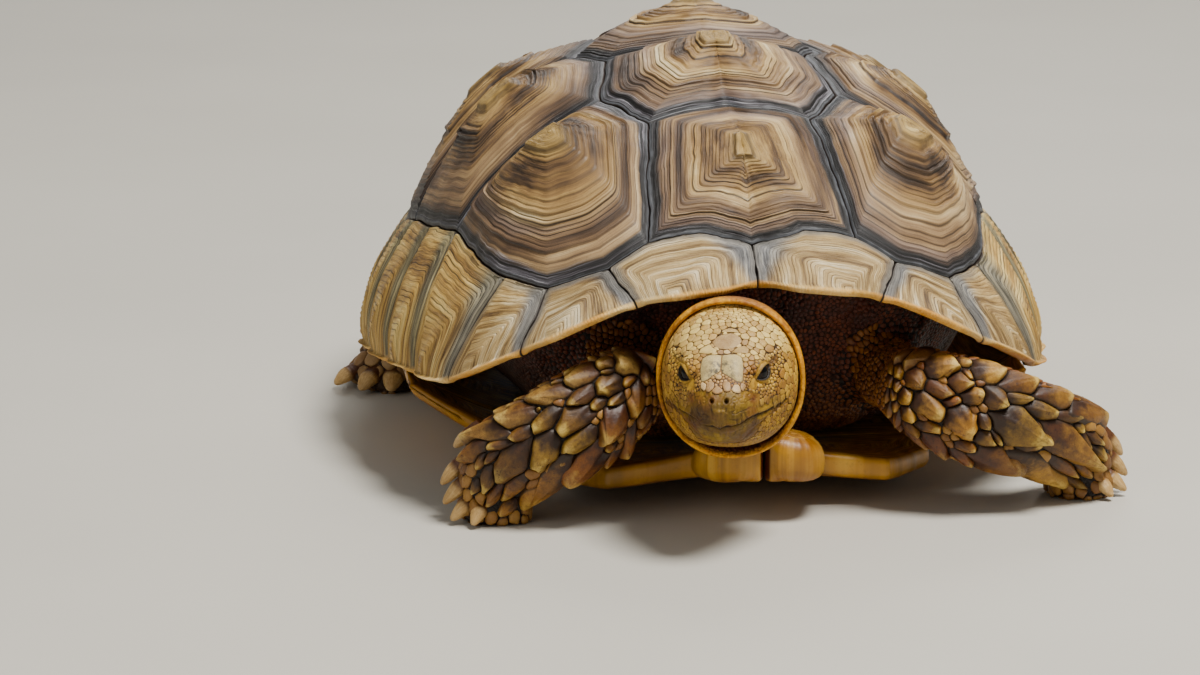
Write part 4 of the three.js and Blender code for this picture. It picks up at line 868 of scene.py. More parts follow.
def lay(build, snap, X, N, uv, r, along, thick, gap=0.3, stretch=1.0, m=14, profile="plate", reach=1.25, skip=0, tint=None, tone=0.0, near=12, tilt=0.0, sharp=26.0, ghosts=None):
    """A low plate in each seed's cell. along is the lie; thick, gap, stretch and tilt may differ from seed to seed."""
    K = len(X)
    if K == 0:
        return
    T = unit(along - N * np.sum(along * N, -1, keepdims=True))
    B = np.cross(N, T)
    XX, rr_ = (X, r) if ghosts is None else (np.concatenate([X, ghosts[0]]), np.concatenate([r, ghosts[1]]))
    tree = tree_of(XX)
    kk = min(near + 1, len(XX))
    nb = np.array([[q for _, q, _ in tree.find_n(p, kk)] for p in X])[:, 1:]
    st = np.broadcast_to(np.asarray(stretch, float), (K,))[:, None]
    rel = XX[nb] - X[:, None]
    x, y = np.einsum("kij,kj->ki", rel, T) / st, np.einsum("kij,kj->ki", rel, B)
    d = np.maximum(np.hypot(x, y), 1e-6)
    share = r[:, None] / (r[:, None] + rr_[nb])
    g = np.broadcast_to(np.asarray(gap, float), (K,))[:, None]
    lim = np.maximum(d * share - g, 0.15)
    ang = np.arctan2(y, x)
    phi = 2 * np.pi * (np.arange(m) + 0.5) / m
    cosd = np.cos(phi[None, :, None] - ang[:, None, :])
    inv = np.maximum(cosd, 0) / lim[:, None, :]
    inv = np.concatenate([inv, np.broadcast_to(1 / (reach * r)[:, None, None], (K, m, 1))], -1)
    R = np.sum(inv**sharp, -1) ** (-1 / sharp)
    if profile == "plate":
        steps = [(1.0, -0.5), (0.99, 0.4), (0.95, 0.82), (0.72, 1.0)]
        peak = 1.0
    elif profile == "dome":
        steps = [(1.0, -0.45), (0.98, 0.3), (0.84, 0.74), (0.45, 0.96)]
        peak = 1.0
    else:
        steps = [(1.0, -0.35), (0.75, 0.62)]
        peak = 0.9
    th = np.broadcast_to(np.asarray(thick, float), (K,))
    ti = np.broadcast_to(np.asarray(tilt, float), (K,))
    pts, hs, rad_ = [], [], []
    for f, h in steps:
        ex, ey = R * f * np.cos(phi) * st, R * f * np.sin(phi)
        pts.append(X[:, None] + T[:, None] * ex[..., None] + B[:, None] * ey[..., None])
        hh = th[:, None] * h + (ti[:, None] * ex / np.maximum(r[:, None], 0.1) if h > 0 else 0)
        hs.append(np.broadcast_to(hh, (K, m)))
        rad_.append(np.full((K, m), f))
    pts = np.stack(pts, 1)
    hs = np.stack(hs, 1)
    S_ = len(steps)
    flat = pts.reshape(-1, 3)
    base = np.array([snap.find_nearest(p)[0] for p in flat]).reshape(pts.shape) if snap is not None else pts
    V = base + N[:, None, None] * hs[..., None]
    cen = X + N * (th * peak)[:, None]
    V = np.concatenate([V.reshape(K, -1, 3), cen[:, None]], 1)
    per = S_ * m + 1
    q = grid(S_, m, wrap=True)
    fan = np.stack([(S_ - 1) * m + np.arange(m), (S_ - 1) * m + (np.arange(m) + 1) % m, np.full(m, S_ * m)], -1)
    off = (np.arange(K) * per)[:, None, None]
    radius = np.concatenate([np.stack(rad_, 1).reshape(K, -1), np.zeros((K, 1))], 1)
    ring = np.concatenate([np.broadcast_to(phi, (K, S_, m)).reshape(K, -1), np.zeros((K, 1))], 1)
    uvs = uv[:, None] + 0.0014 * np.stack([np.cos(ring), np.sin(ring)], -1) * radius[..., None]
    ids = (np.arange(K) * 0.6180339 + skip) % 1.0
    one = np.ones((K, per))
    build.add(V, [(q[None] + off).reshape(-1, 4), (fan[None] + off).reshape(-1, 3)], uv=uvs, cell=ids[:, None] * one, away=radius,
              tint=np.repeat(tint, per, 0), tone=np.broadcast_to(np.asarray(tone, float), (K,))[:, None] * one)


def snapper(P):
    """A tree over a wrapped grid of points, to lay scales on."""
    r, c = P.shape[:2]
    return BVHTree.FromPolygons([tuple(p) for p in P.reshape(-1, 3)], grid(r, c, wrap=True).tolist())


def rgb(h):
    return np.array(colour(h)[:3])


# ---- head and collar: one grid from the nose back into the neck ---------------------------------------------------------------
# [forward, half width, widest level, top, bottom, squareness]
HEAD_ROWS = np.array([
    [-2, 38.0, 2, 41.8, -40.5, 2.2], [10, 38.4, 1, 40.4, -38.5, 2.2], [20, 36.4, 1, 36.9, -35.5, 2.3], [30, 32.0, 0.5, 32.4, -31.5, 2.6], [40, 27.0, 0, 27.4, -27.3, 2.9],
    [50, 22.4, -1, 21.4, -22.8, 2.7], [58, 18.7, -1.5, 15.7, -18.8, 2.5], [64, 14.8, -1, 11.4, -14.8, 2.4], [68, 10, -0.5, 7, -10.5, 2.3], [69.8, 5, 0, 3.2, -5.4, 2.2],
])
COLLAR = [(2.4, 38.5, 42.3), (3.6, 39.3, 43.1), (5.2, 39.8, 43.6), (6.6, 40.2, 44.0), (7.3, 40.9, 44.8), (7.4, 41.7, 45.6), (6.8, 42.4, 46.3), (5.6, 42.8, 46.7), (4.0, 43.0, 46.9),
          (2.0, 42.8, 46.7), (-0.5, 42.5, 46.3), (-3.5, 41.7, 45.4), (-6.5, 40.3, 43.6), (-9.5, 38.6, 41.0), (-13, 37.0, 37.0)]
COLLAR_TILT = 5.0
NECK = [(-14, -236, 86, 35, 35), (-11, -214, 84, 37, 37), (-8, -198, 84, 37, 38), (-5, -180, 84, 36, 37), (0, -150, 86, 33, 33)]


def power(v, e):
    return np.sign(v) * np.abs(v) ** (2.0 / e)


def head_columns(count):
    th = np.linspace(0, 2 * np.pi, 4001)
    deg = np.degrees(th)
    dens = 1.0 + 0 * th
    for c in (36, 144):
        dens += 1.5 * np.exp(-(((deg - c) / 15.0) ** 2))
    for c in (-10, 190, 350):
        dens += 0.4 * np.exp(-(((deg - c) / 10.0) ** 2))
    cdf = np.concatenate([[0], np.cumsum((dens[1:] + dens[:-1]) / 2)])
    return np.interp(np.arange(count) / count, cdf / cdf[-1], th)


HC = 320
TH = head_columns(HC)


def head_grid():
    t = np.linspace(0, 9, 2000)[::-1]
    rows = through(np.arange(10), HEAD_ROWS, t)
    arc = np.concatenate([[0], np.cumsum(np.hypot(np.diff(rows[:, 0]), 0.5 * (np.abs(np.diff(rows[:, 1])) + np.abs(np.diff(rows[:, 3] - rows[:, 4])) / 2)))])
    step = lambda a: 0.36 if a < 22 else (0.42 if a < 46 else 0.85)
    at = [0.0]
    while at[-1] < arc[-1] - 1.0:
        at.append(at[-1] + step(at[-1]))
    rows = np.stack([np.interp(at, arc, rows[:, k]) for k in range(6)], -1)
    rows = rows[rows[:, 0] > 1.5]
    st = []
    for k in (0.04, 0.18, 0.34, 0.5, 0.66, 0.8, 0.91):
        st.append((head(0, 69.8 + 0.9 * math.sqrt(1 - k * k), -1.1 * (1 - k)), HEAD_S * 5 * k, HEAD_U * 4.3 * k, 1.0, 2.2, (0.0, 0.0)))
    for f, w, mid, top, bot, e in rows:
        st.append((head(0, f, mid), HEAD_S * w, HEAD_U * (top - mid), (mid - bot) / (top - mid), e, 0))
    for f, w, h in COLLAR:
        st.append((head(0, f, 0.3), HEAD_S * w, HEAD_U * h - HEAD_F * COLLAR_TILT, 1.0, 2.1, 0))
    for x, y, z, w, h in NECK:
        st.append((np.array([x, y, z], float), np.array([w - 1.0, 0, 0]), np.array([0, 0, h - 1.0]), 0.78, 2.1, 0))
    c, s = np.cos(TH), np.sin(TH)
    P = np.zeros((len(st), HC, 3))
    for i, (cen, a, b, low, e, _) in enumerate(st):
        y = power(s, e)
        y = np.where(y < 0, y * low, y)
        P[i] = cen + a * power(c, e)[:, None] + b * y[:, None]
    first_neck = len(st) - len(NECK)
    return P, 7 + len(rows), first_neck


def in_head(P):
    d = P - HEAD_AT
    return np.stack([d @ HEAD_S, d @ HEAD_F, d @ HEAD_U], -1)


LID_N, SLIT = unit(np.array([0.83, 0.55, 0.10])), unit(np.array([-0.46, 0.83, -0.30]))
SLIT = unit(SLIT - LID_N * (SLIT @ LID_N))
SLIT_LONG, SLIT_WIDE, SLIT_MID = math.radians(48), math.radians(21), math.radians(-6)
MOUTH_F = [20, 24, 28, 33, 45, 50, 57, 62, 65, 68.0, 70]
MOUTH_U = [-1.6, -3.0, -4.6, -5.4, -5.0, -4.5, -3.4, -3.2, -3.8, -5.9, -6.4]
NOSE_S = -0.9


def around_eye(h):
    """For head points: mm past the lid's edge (negative inside the slit), how near the eye, and the offset vector and length."""
    side = np.where(h[..., 0] < 0, -1.0, 1.0)
    q = h.copy()
    q[..., 0] *= side
    d = q - np.array(EYE_AT)
    r = np.linalg.norm(d, axis=-1)
    n = d @ LID_N
    a = np.arctan2(d @ SLIT, n)
    b = np.arctan2(d @ np.cross(LID_N, SLIT), n)
    a = a - SLIT_MID
    half = SLIT_WIDE * np.clip(1 - (a / SLIT_LONG) ** 2, 0, 1) ** 0.7
    past_end = np.maximum(np.abs(a) - SLIT_LONG, 0)
    past = np.where(n > 0, np.hypot(np.maximum(np.abs(b) - half, 0), past_end) - np.where((np.abs(b) < half), half - np.abs(b), 0), 2.0) * (EYE_R + 1)
    return past, n, d, r, side, b


def head_relief(P, N):
    """Moves the head's grid into lids, nostrils, beak, mouth and jaw."""
    h = in_head(P)
    s, f, u = h[..., 0], h[..., 1], h[..., 2]
    a = np.abs(s)
    disp = np.zeros_like(s)
    bump = lambda S_, F_, U_, w, k: k * np.exp(-(((a - S_) ** 2 + (f - F_) ** 2 + (u - U_) ** 2) / w**2))
    disp += bump(19, 41, 25, 7.5, 1.3) + bump(15.5, 57.5, 9.5, 6.0, -1.3) + bump(30, 22, 14, 11, 0.8) + bump(33, 24, -8, 9, 0.9)
    disp += 0.8 * np.exp(-(((s - 5.2 + 0.8) / 5) ** 2 + ((f - 48.5) / 6) ** 2)) * (u > 5) + 0.8 * np.exp(-(((s + 5.2 + 0.8) / 5) ** 2 + ((f - 48.5) / 6) ** 2)) * (u > 5)
    # wrinkles of the cheek and throat
    fold = noise(h * np.array([0.10, 0.22, 0.22]) + 7.0, 51, 2)
    disp += 0.5 * (np.abs(fold) ** 0.6 - 0.5) * smooth(40, 26, f) * smooth(6, -6, u) * smooth(15, 25, a)
    # beak: the central ridge and the plate round the nostrils
    x = np.abs(s - NOSE_S)
    wide = 3.9 * np.clip((u + 8.0) / 13.0, 0.02, 1)
    disp += 0.7 * smooth(wide + 0.5, wide - 0.3, x) * smooth(8.5, 2.5, u) * smooth(60, 65, f)
    disp += 0.22 * smooth(8.8, 7.2, x) * smooth(1.5, 6.5, u) * smooth(13.2, 12.2, u) * smooth(58, 62, f)
    # mouth
    um = through(MOUTH_F, MOUTH_U, f) - 1.3 * np.exp(-(((s - NOSE_S) / 1.9) ** 2)) * smooth(64, 67, f) + 0.5 * np.exp(-(((x - 4.2) / 1.5) ** 2)) * smooth(64, 67, f)
    q = u - um
    on = smooth(21, 27, f)
    disp += on * (-1.8 * np.exp(-((q / 0.65) ** 2)) + 0.6 * np.exp(-(((q - 1.3) / 1.3) ** 2)) * smooth(35, 50, f) - 1.0 * smooth(0.0, -1.2, q) * smooth(-14, -6, q) + 0.5 * np.exp(-(((q + 3.2) / 2.0) ** 2)))
    jaw = through([0, 6, 10, 14, 19, 25, 30], [-23.5, -22, -19, -14.8, -12, -9.4, -8.4], a)
    disp += -0.7 * np.exp(-(((u - jaw) / 0.8) ** 2)) * smooth(34, 42, f) + 0.5 * np.exp(-(((u - jaw - 2.5) / 2.2) ** 2)) * smooth(36, 46, f)
    # nostrils
    for sgn in (-1, 1):
        rho = np.hypot(s - (NOSE_S + 4.15 * sgn), u - 8.3) + 0.2 * np.maximum(0, 60 - f)
        disp += -2.8 * smooth(1.35, 0.65, rho) + 0.35 * np.exp(-(((rho - 1.9) / 0.6) ** 2))
    disp += 0.10 * noise(h * 0.9, 52, 2) * smooth(55, 40, f)
    # the horn of the beak is worn and finely ridged from top to bottom, the soft skin before the eyes wrinkled
    horn = smooth(34, 50, f) * smooth(13.0, 10.5, u)
    disp += horn * (0.26 * noise(h * np.array([0.9, 0.5, 0.16]) + 3.0, 53, 2) + 0.22 * noise(h * 0.28, 54, 2))
    crease = noise(h * np.array([0.20, 0.24, 0.26]) + 21.0, 57, 2)
    disp -= 0.4 * np.exp(-((crease / 0.09) ** 2)) * smooth(34, 50, f) * smooth(14.0, 9.0, u) * smooth(4.5, 7.5, x) * smooth(-14, -9, u)
    disp += 0.22 * np.abs(noise(h * np.array([0.5, 0.5, 0.5]) + 9.0, 55, 2)) * np.exp(-(((a - 17) / 4.5) ** 2 + ((f - 54) / 7) ** 2 + ((u - 8) / 6) ** 2))
    P = P + N * disp[..., None]
    # lids: the skin lies on the eyeball and parts along the slit
    h = in_head(P)
    past, n, d, r, side, b = around_eye(h)
    near = smooth(2.0, 5.0, n) * smooth(16.0, 12.0, r)
    want = EYE_R + 1.05 + 0.5 * np.exp(-(((past - 0.7) / 0.6) ** 2)) - 0.4 * np.exp(-(((past - 2.6) / 0.5) ** 2)) - 0.35 * np.exp(-(((past - 4.8) / 0.55) ** 2)) * (b < 0) + 0.4 * smooth(1.5, 4.0, past)
    hold = smooth(12.0, 5.0, past) * near
    rr = r + (want - r) * hold
    opened = smooth(0.30, -0.34, past) * near
    rr = rr * (1 - opened) + (EYE_R - 2.2) * opened
    rr = rr + 0.14 * noise(h * np.array([0.9, 0.9, 0.9]) + 4.0, 56, 2) * hold * smooth(0.5, 1.2, past)
    new = np.array(EYE_AT) + d * (rr / np.maximum(r, 1e-6))[..., None]
    new[..., 0] *= side
    k = (n > 0) & (past < 14) & (near > 0)
    h = np.where(k[..., None], new, h)
    return HEAD_AT + h[..., :1] * HEAD_S + h[..., 1:2] * HEAD_F + h[..., 2:] * HEAD_U


def head_tint(P):
    """Colour of the head's skin and scales, linear, at design-frame points."""
    h = in_head(P)
    s, f, u = h[..., 0], h[..., 1], h[..., 2]
    a = np.abs(s)
    c = np.broadcast_to(rgb("#cbb06c"), P.shape).copy()

    def lay_on(col, w):
        nonlocal c
        w = np.clip(w, 0, 1)[..., None]
        c = c * (1 - w) + rgb(col) * w

    n = noise(h * 0.12, 61, 2)
    # lighter on top and darker lower down: partly the head's own colours, partly painted light from above and painted
    # shade below
    lay_on("#e6d39a", smooth(14, 30, u) * 0.95)
    lay_on("#c2a15c", smooth(26, 12, u) * smooth(20, 30, a) * 0.8)
    lay_on("#a98a3e", smooth(6, -14, u) * 0.95)
    lay_on("#b08c50", np.exp(-(((a - 17) / 7) ** 2 + ((f - 48) / 8) ** 2 + ((u - 20) / 7) ** 2)) * 1.1)
    lay_on("#6b4526", 1.25 * np.exp(-(((a - 15.5) / 4.2) ** 2 + ((f - 57) / 7) ** 2 + ((u - 9.5) / 6.5) ** 2)) * 1.25 + 0.6 * np.exp(-(((a - 24) / 5) ** 2 + ((f - 44) / 7) ** 2 + ((u - 4) / 4) ** 2)))
    lay_on("#b3a07c", np.exp(-(((s + 0.8) / 9) ** 2 + ((f - 47) / 8) ** 2)) * smooth(10, 16, u) * 1.2)
    lay_on("#c0a48e", np.exp(-(((s - 1.8) / 8) ** 2 + ((f - 32) / 5) ** 2)) * smooth(20, 26, u) * 1.0)
    lay_on("#c4a680", np.exp(-(((s + 0.9) / 10) ** 2 + ((f - 58) / 5) ** 2)) * smooth(11, 13, u) * 1.2)
    beak = smooth(46, 58, f) * smooth(13.5, 11.5, u) * smooth(19.5, 16.5, a + 0.35 * (u - 2))
    lay_on("#7c6a30", beak)
    streaks = noise(h * np.array([1.1, 0.35, 0.12]) + 5.0, 62, 2)
    worn = noise(h * 0.35 + 11.0, 63, 2)
    lay_on("#a8955a", beak * smooth(0.12, 0.6, streaks) * 0.55)
    lay_on("#5a4a22", beak * smooth(0.0, 0.55, worn) * 0.6)
    x_ = np.abs(s - NOSE_S)
    wide = 3.9 * np.clip((u + 8.0) / 13.0, 0.02, 1)
    lay_on("#2a1c0c", beak * np.exp(-(((x_ - wide - 0.3) / 0.6) ** 2)) * smooth(6.5, 4.2, u) * 0.95)
    lay_on("#33230f", beak * np.exp(-(((u - 4.9) / 0.35) ** 2)) * smooth(7.5, 6.0, x_) * 0.12)
    # nostril openings painted near-black: painted shade inside the holes
    rim_ = np.hypot(x_ - 4.15, u - 8.3)
    lay_on("#1a0f08", smooth(1.75, 1.25, rim_) * smooth(56, 60, f))
    lay_on("#6f5a2c", beak * np.exp(-(((np.abs(s - NOSE_S) - 4) / 2.6) ** 2 + ((u - 8.3) / 3) ** 2)) * 0.8)
    lay_on("#94824a", beak * smooth(4.2, 3.2, np.abs(s - NOSE_S)) * smooth(5.5, 4, u))
    um = through(MOUTH_F, MOUTH_U, f)
    side_beak = smooth(24, 40, f) * smooth(um + 8, um + 5, u) * smooth(um - 0.2, um + 0.3, u)
    lay_on("#8a7538", side_beak * (1 - beak) * 0.8)
    jaw = through([0, 6, 10, 14, 19, 25, 30], [-23.5, -22, -19, -14.8, -12, -9.4, -8.4], a)
    low = smooth(um + 0.2, um - 0.5, u) * smooth(jaw - 0.5, jaw + 0.6, u) * smooth(30, 44, f)
    lay_on("#8d7b3a", low)
    lay_on("#b39f5c", low * smooth(0.1, 0.6, noise(h * np.array([0.55, 0.2, 0.10]) + 2.0, 64, 2)) * 0.6)
    lay_on("#5c4a20", low * smooth(0.05, 0.6, noise(h * np.array([0.8, 0.3, 0.16]) + 8.0, 65, 2)) * 0.55)
    lay_on("#8b6a2c", low * smooth(jaw + 7, jaw, u) * 0.8)
    wide_ = smooth(21, 27, f)
    # painted shade: the mouth's groove is painted dark brown
    lay_on("#24150a", wide_ * np.exp(-(((u - um + 0.1) / 0.65) ** 2)) * 1.0)
    lay_on("#b59a5a", wide_ * np.exp(-(((u - um - 1.2) / 0.7) ** 2)) * smooth(36, 50, f) * 0.35)
    red = np.exp(-(((a - 16) / 5.2) ** 2 + ((f - 55) / 8) ** 2 + ((u - 9.5) / 7.5) ** 2))
    lay_on("#643214", red * (0.62 + 0.9 * noise(h * 0.55 + 31.0, 66, 2)))
    lay_on("#4c3716", beak * 0.7 * np.exp(-((noise(h * np.array([0.20, 0.24, 0.26]) + 21.0, 57, 2) / 0.07) ** 2)) * smooth(4.5, 7.5, x_))
    past = around_eye(h)[0]
    lid = smooth(6.5, 3.0, past) * smooth(2, 5, around_eye(h)[1])
    lay_on("#b79c56", lid * 0.75)
    lay_on("#5f5326", lid * smooth(2.0, 0.7, past) * 0.6)
    # the lids' edge and the slit's inner wall painted near-black: partly the lid's dark margin, partly painted shade in
    # the recess
    lay_on("#120b06", lid * smooth(0.75, 0.35, past))
    lay_on("#efbf62", smooth(9.6, 8.2, f + 0.108 * u) * smooth(0.90, 0.95, np.hypot(s / 43.0, u / 46.5)) * 0.95)
    lay_on("#b87a30", smooth(9.6, 8.2, f + 0.108 * u) * smooth(0.90, 0.95, np.hypot(s / 43.0, u / 46.5)) * smooth(-0.1, 0.5, noise(h * 0.5 + 41.0, 67, 3)) * 0.7)
    lay_on("#6e3518", 0.35 * smooth(0.15, 0.5, n) * smooth(45, 30, u))
    return c


def head_size(P):
    """Radius of the scales over the head, nan where the skin is bare."""
    h = in_head(P)
    s, f, u = h[..., 0], h[..., 1], h[..., 2]
    a = np.abs(s)
    r = 2.5 - 1.25 * np.exp(-(((s - 2.5) / 13) ** 2)) * smooth(26, 16, f) * smooth(20, 30, u)
    r = r + 0.75 * np.exp(-(((a - 27) / 7) ** 2 + ((f - 24) / 9) ** 2 + ((u - 22) / 8) ** 2))
    r = np.where(f > 33, np.minimum(r, 1.75 + 0.02 * (u - 20)), r)
    r = r - 0.7 * smooth(46, 54, f) * smooth(18, 14, a)
    r = np.where(u < 4, 1.9, r)
    r = np.where(u < -12, 1.45, r)
    um = through(MOUTH_F, MOUTH_U, f)
    jaw = through([0, 6, 10, 14, 19, 25, 30], [-23.5, -22, -19, -14.8, -12, -9.4, -8.4], a)
    bare = (f > 50) & (u < 13.2 - 0.5 * np.maximum(a - 9, 0)) & (a < 21)
    bare |= (f > 24) & (u > jaw - 0.6) & (u < um + 1.0)
    bare |= (f > 40) & (u < um + 5.5) & (u > um - 1)
    past, n = around_eye(h)[:2]
    bare |= (past < 3.6) & (n > 2)
    r = np.where((past < 7) & (n > 2), np.minimum(r, 1.15), r)
    r = np.where((f > 52) & (u >= 5) & (a > 10), np.minimum(r, 1.0), r)
    ring = np.hypot(s / 43.0, u / 46.5)
    bare |= (ring > 0.925) & (f < 8.6 - u * 0.108)
    for poly, *_ in TOP_PLATES:
        bare |= inside(poly, s, f) & (u > 8)
    bare |= (f < -6) | ((u < -26) & (f < 10.5))
    return np.where(bare, np.nan, r)


HEAD_PLATES = [  # sideways, forward, up, radius, thickness: the small plates along the head's midline and over the nostrils
    (-1.9, 39.6, 28.1, 1.5, 0.8), (2.0, 39.3, 28.3, 1.6, 0.8), (-1.3, 55.0, 18.4, 1.9, 1.7), (-6.0, 58.9, 14.8, 3.1, 1.5),
    (-2.0, 61.6, 13.4, 2.3, 1.3), (2.9, 59.3, 15.0, 3.2, 1.5), (8.2, 59.0, 13.8, 2.7, 1.2), (-10.4, 57.8, 14.2, 2.5, 1.1), (12.2, 57.4, 14.2, 2.4, 1.1),
]
# outlines (sideways, forward) of the large plates on top of the head, each with thickness, bulge and colour
TOP_PLATES = [
    ([(-11.9, 43.0), (-9.5, 41.4), (-5.5, 40.9), (-0.8, 41.3), (-0.8, 46.5), (-0.9, 52.0), (-4.6, 53.9), (-8.4, 55.8), (-11.8, 55.4), (-12.8, 49.0)], 0.2, 1.35, "#c4b792"),
    ([(-0.7, 41.3), (4.5, 40.5), (8.6, 40.8), (10.9, 42.6), (12.0, 48.4), (11.8, 55.6), (8.4, 56.4), (3.6, 54.6), (-0.6, 52.3), (-0.7, 46.5)], 0.2, 1.35, "#c4b792"),
    ([(-7.3, 31.8), (-4.4, 28.0), (-0.2, 25.9), (4.8, 25.7), (8.8, 28.0), (10.4, 31.2), (8.0, 34.8), (5.3, 37.0), (0.9, 37.9), (-3.0, 37.3), (-5.9, 35.0)], 0.5, 0.3, "#cbb894"),
    ([(-14.4, 39.2), (-13.2, 35.8), (-8.3, 33.0), (-6.6, 35.6), (-3.6, 38.2), (-4.6, 40.2), (-9.4, 40.6)], 0.5, 0.3, "#d6c491"),
    ([(5.8, 37.7), (8.5, 35.4), (11.4, 33.8), (14.6, 36.6), (14.0, 39.8), (9.2, 40.2), (4.9, 39.9)], 0.5, 0.3, "#d9c796"),
    ([(-2.6, 25.0), (-0.6, 22.8), (2.6, 21.7), (6.0, 22.6), (8.2, 24.9), (5.2, 25.0), (0.0, 25.2)], 0.5, 0.3, "#d8c698"),
]


def rounded(poly, times=3):
    p = np.array(poly, float)
    for _ in range(times):
        q = np.roll(p, -1, 0)
        p = np.stack([p * 0.86 + q * 0.14, p * 0.14 + q * 0.86], 1).reshape(-1, 2)
    return p


def inside(poly, x, y):
    """Which of the points lie inside the polygon."""
    p = np.array(poly, float)
    q = np.roll(p, -1, 0)
    hit = np.zeros(np.shape(x), bool)
    for (x0, y0), (x1, y1) in zip(p, q):
        if y0 == y1:
            continue
        cross_ = ((y0 > y) != (y1 > y)) & (x < (x1 - x0) * (y - y0) / (y1 - y0) + x0)
        hit ^= cross_
    return hit


def on_top(s, f):
    """The point of the head's upper surface over (sideways, forward), and its normal."""
    hit = head_snap.ray_cast(Vector(head(s, f, 60.0)), Vector(-HEAD_U))
    return np.array(hit[0]), np.array(hit[1])


def top_plate(build, poly, thick, bulge, tint, uv_at, ident):
    edge = rounded(poly)
    c = edge.mean(0)
    table = [(1.0, -0.5), (0.99, 0.4), (0.965, 0.82), (0.92, 0.97)] + [(q, 1.0) for q in (0.76, 0.62, 0.48, 0.34, 0.2, 0.1)]
    n, rows = len(edge), len(table)
    V = np.zeros((rows, n, 3))
    _, nc = on_top(*c)
    if nc @ HEAD_U < 0:
        nc = -nc
    for i, (q, k) in enumerate(table):
        for j, e in enumerate(edge):
            gap = 0.08 / max(np.linalg.norm(e - c), 1e-6)
            p = c + (e - c) * q * (1 - gap)
            at, nn = on_top(*p)
            lump = 0.22 * noise(np.array([p[0] * 0.3, p[1] * 0.3, ident * 3.0]), 111, 3)
            V[i, j] = at + nc * (thick * k + (bulge * (1 - q**2.2) + lump if k > 0 else 0))
    cen = V[-1].mean(0) + nc * 0.02
    flat = np.concatenate([V.reshape(-1, 3), cen[None]])
    i = np.arange(n)
    last = (rows - 1) * n
    faces = [grid(rows, n, wrap=True), np.stack([last + i, last + (i + 1) % n, np.full(n, rows * n)], -1)]
    if np.cross(V[1, 1] - V[1, 0], V[2, 0] - V[1, 0]) @ nc < 0:
        faces = [q[:, ::-1] for q in faces]
    away = np.append(np.repeat([t[0] for t in table], n), 0.0)
    fh = in_head(flat)
    mott = (0.5 * smooth(42, 45, fh[:, 1]) + 0.9 * np.exp(-(((fh[:, 0] - NOSE_S) / 5.5) ** 2)) * smooth(45, 51, fh[:, 1])) * (bulge > 1)
    ang = 2 * np.pi * np.append(np.tile(i / n, rows), 0.0)
    build.add(flat, faces, uv=uv_at + 0.0016 * np.stack([np.cos(ang), np.sin(ang)], -1) * away[:, None], cell=np.full(len(flat), (max(ident, 2) * 0.618) % 1), away=away,
              tint=np.broadcast_to(rgb(tint), (len(flat), 3)), tone=mott)


def skin_material(name, base_rough=0.55):
    """Bare skin: the tint attribute, darkened as painted shade where scales cover it, with fine creases, also darkened
    as painted shade.
    """
    m = Mat(name, IOR=1.42)
    pos = m.position()
    tint, coat, fine = m.attr("tint", True), m.attr("coat"), m.attr("fine")
    blot = m.noise(pos, 45, 4, 0.6)
    speck = m.noise(pos, 380, 3, 0.6)
    cells = m.voronoi(pos, 620, "DISTANCE_TO_EDGE")
    big = m.voronoi(pos, 300, "DISTANCE_TO_EDGE")
    col = m.mix(m.fade(blot, 0.3, 0.7), m.mix(1.0, tint, "#9a8468", "MULTIPLY"), m.mix(1.0, tint, "#f4ead8", "MULTIPLY"))
    col = m.mix(m.math("MULTIPLY", m.fade(speck, 0.5, 0.72), 0.35), col, m.mix(1.0, col, "#7c4a2a", "MULTIPLY"))
    # painted shade: skin under the scales, seen in the gaps between them, is darkened by coat
    col = m.mix(m.math("MULTIPLY", coat, 0.95), col, m.mix(1.0, tint, "#3a2817", "MULTIPLY"))
    # painted shade: the skin's fine creases are darkened
    crease = m.math("MULTIPLY", m.fade(big, 0.12, 0.0), fine)
    col = m.mix(m.math("MULTIPLY", crease, 0.7), col, m.mix(1.0, col, "#4c3020", "MULTIPLY"))
    height = m.math("ADD", m.math("MULTIPLY", m.fade(big, 0.0, 0.3), m.math("MULTIPLY", fine, 1.6)), m.math("MULTIPLY", m.fade(cells, 0, 0.2), m.math("MULTIPLY", fine, 0.35)))
    n = m.bump(height, 0.0007, 0.8)
    n = m.bump(m.math("ADD", speck, m.noise(pos, 170, 4, 0.65)), 0.0005, 0.8, n)
    rough = m.math("ADD", m.math("MULTIPLY", blot, 0.25), base_rough - 0.12)
    return m.set(Base_Color=col, Roughness=rough, Normal=n)


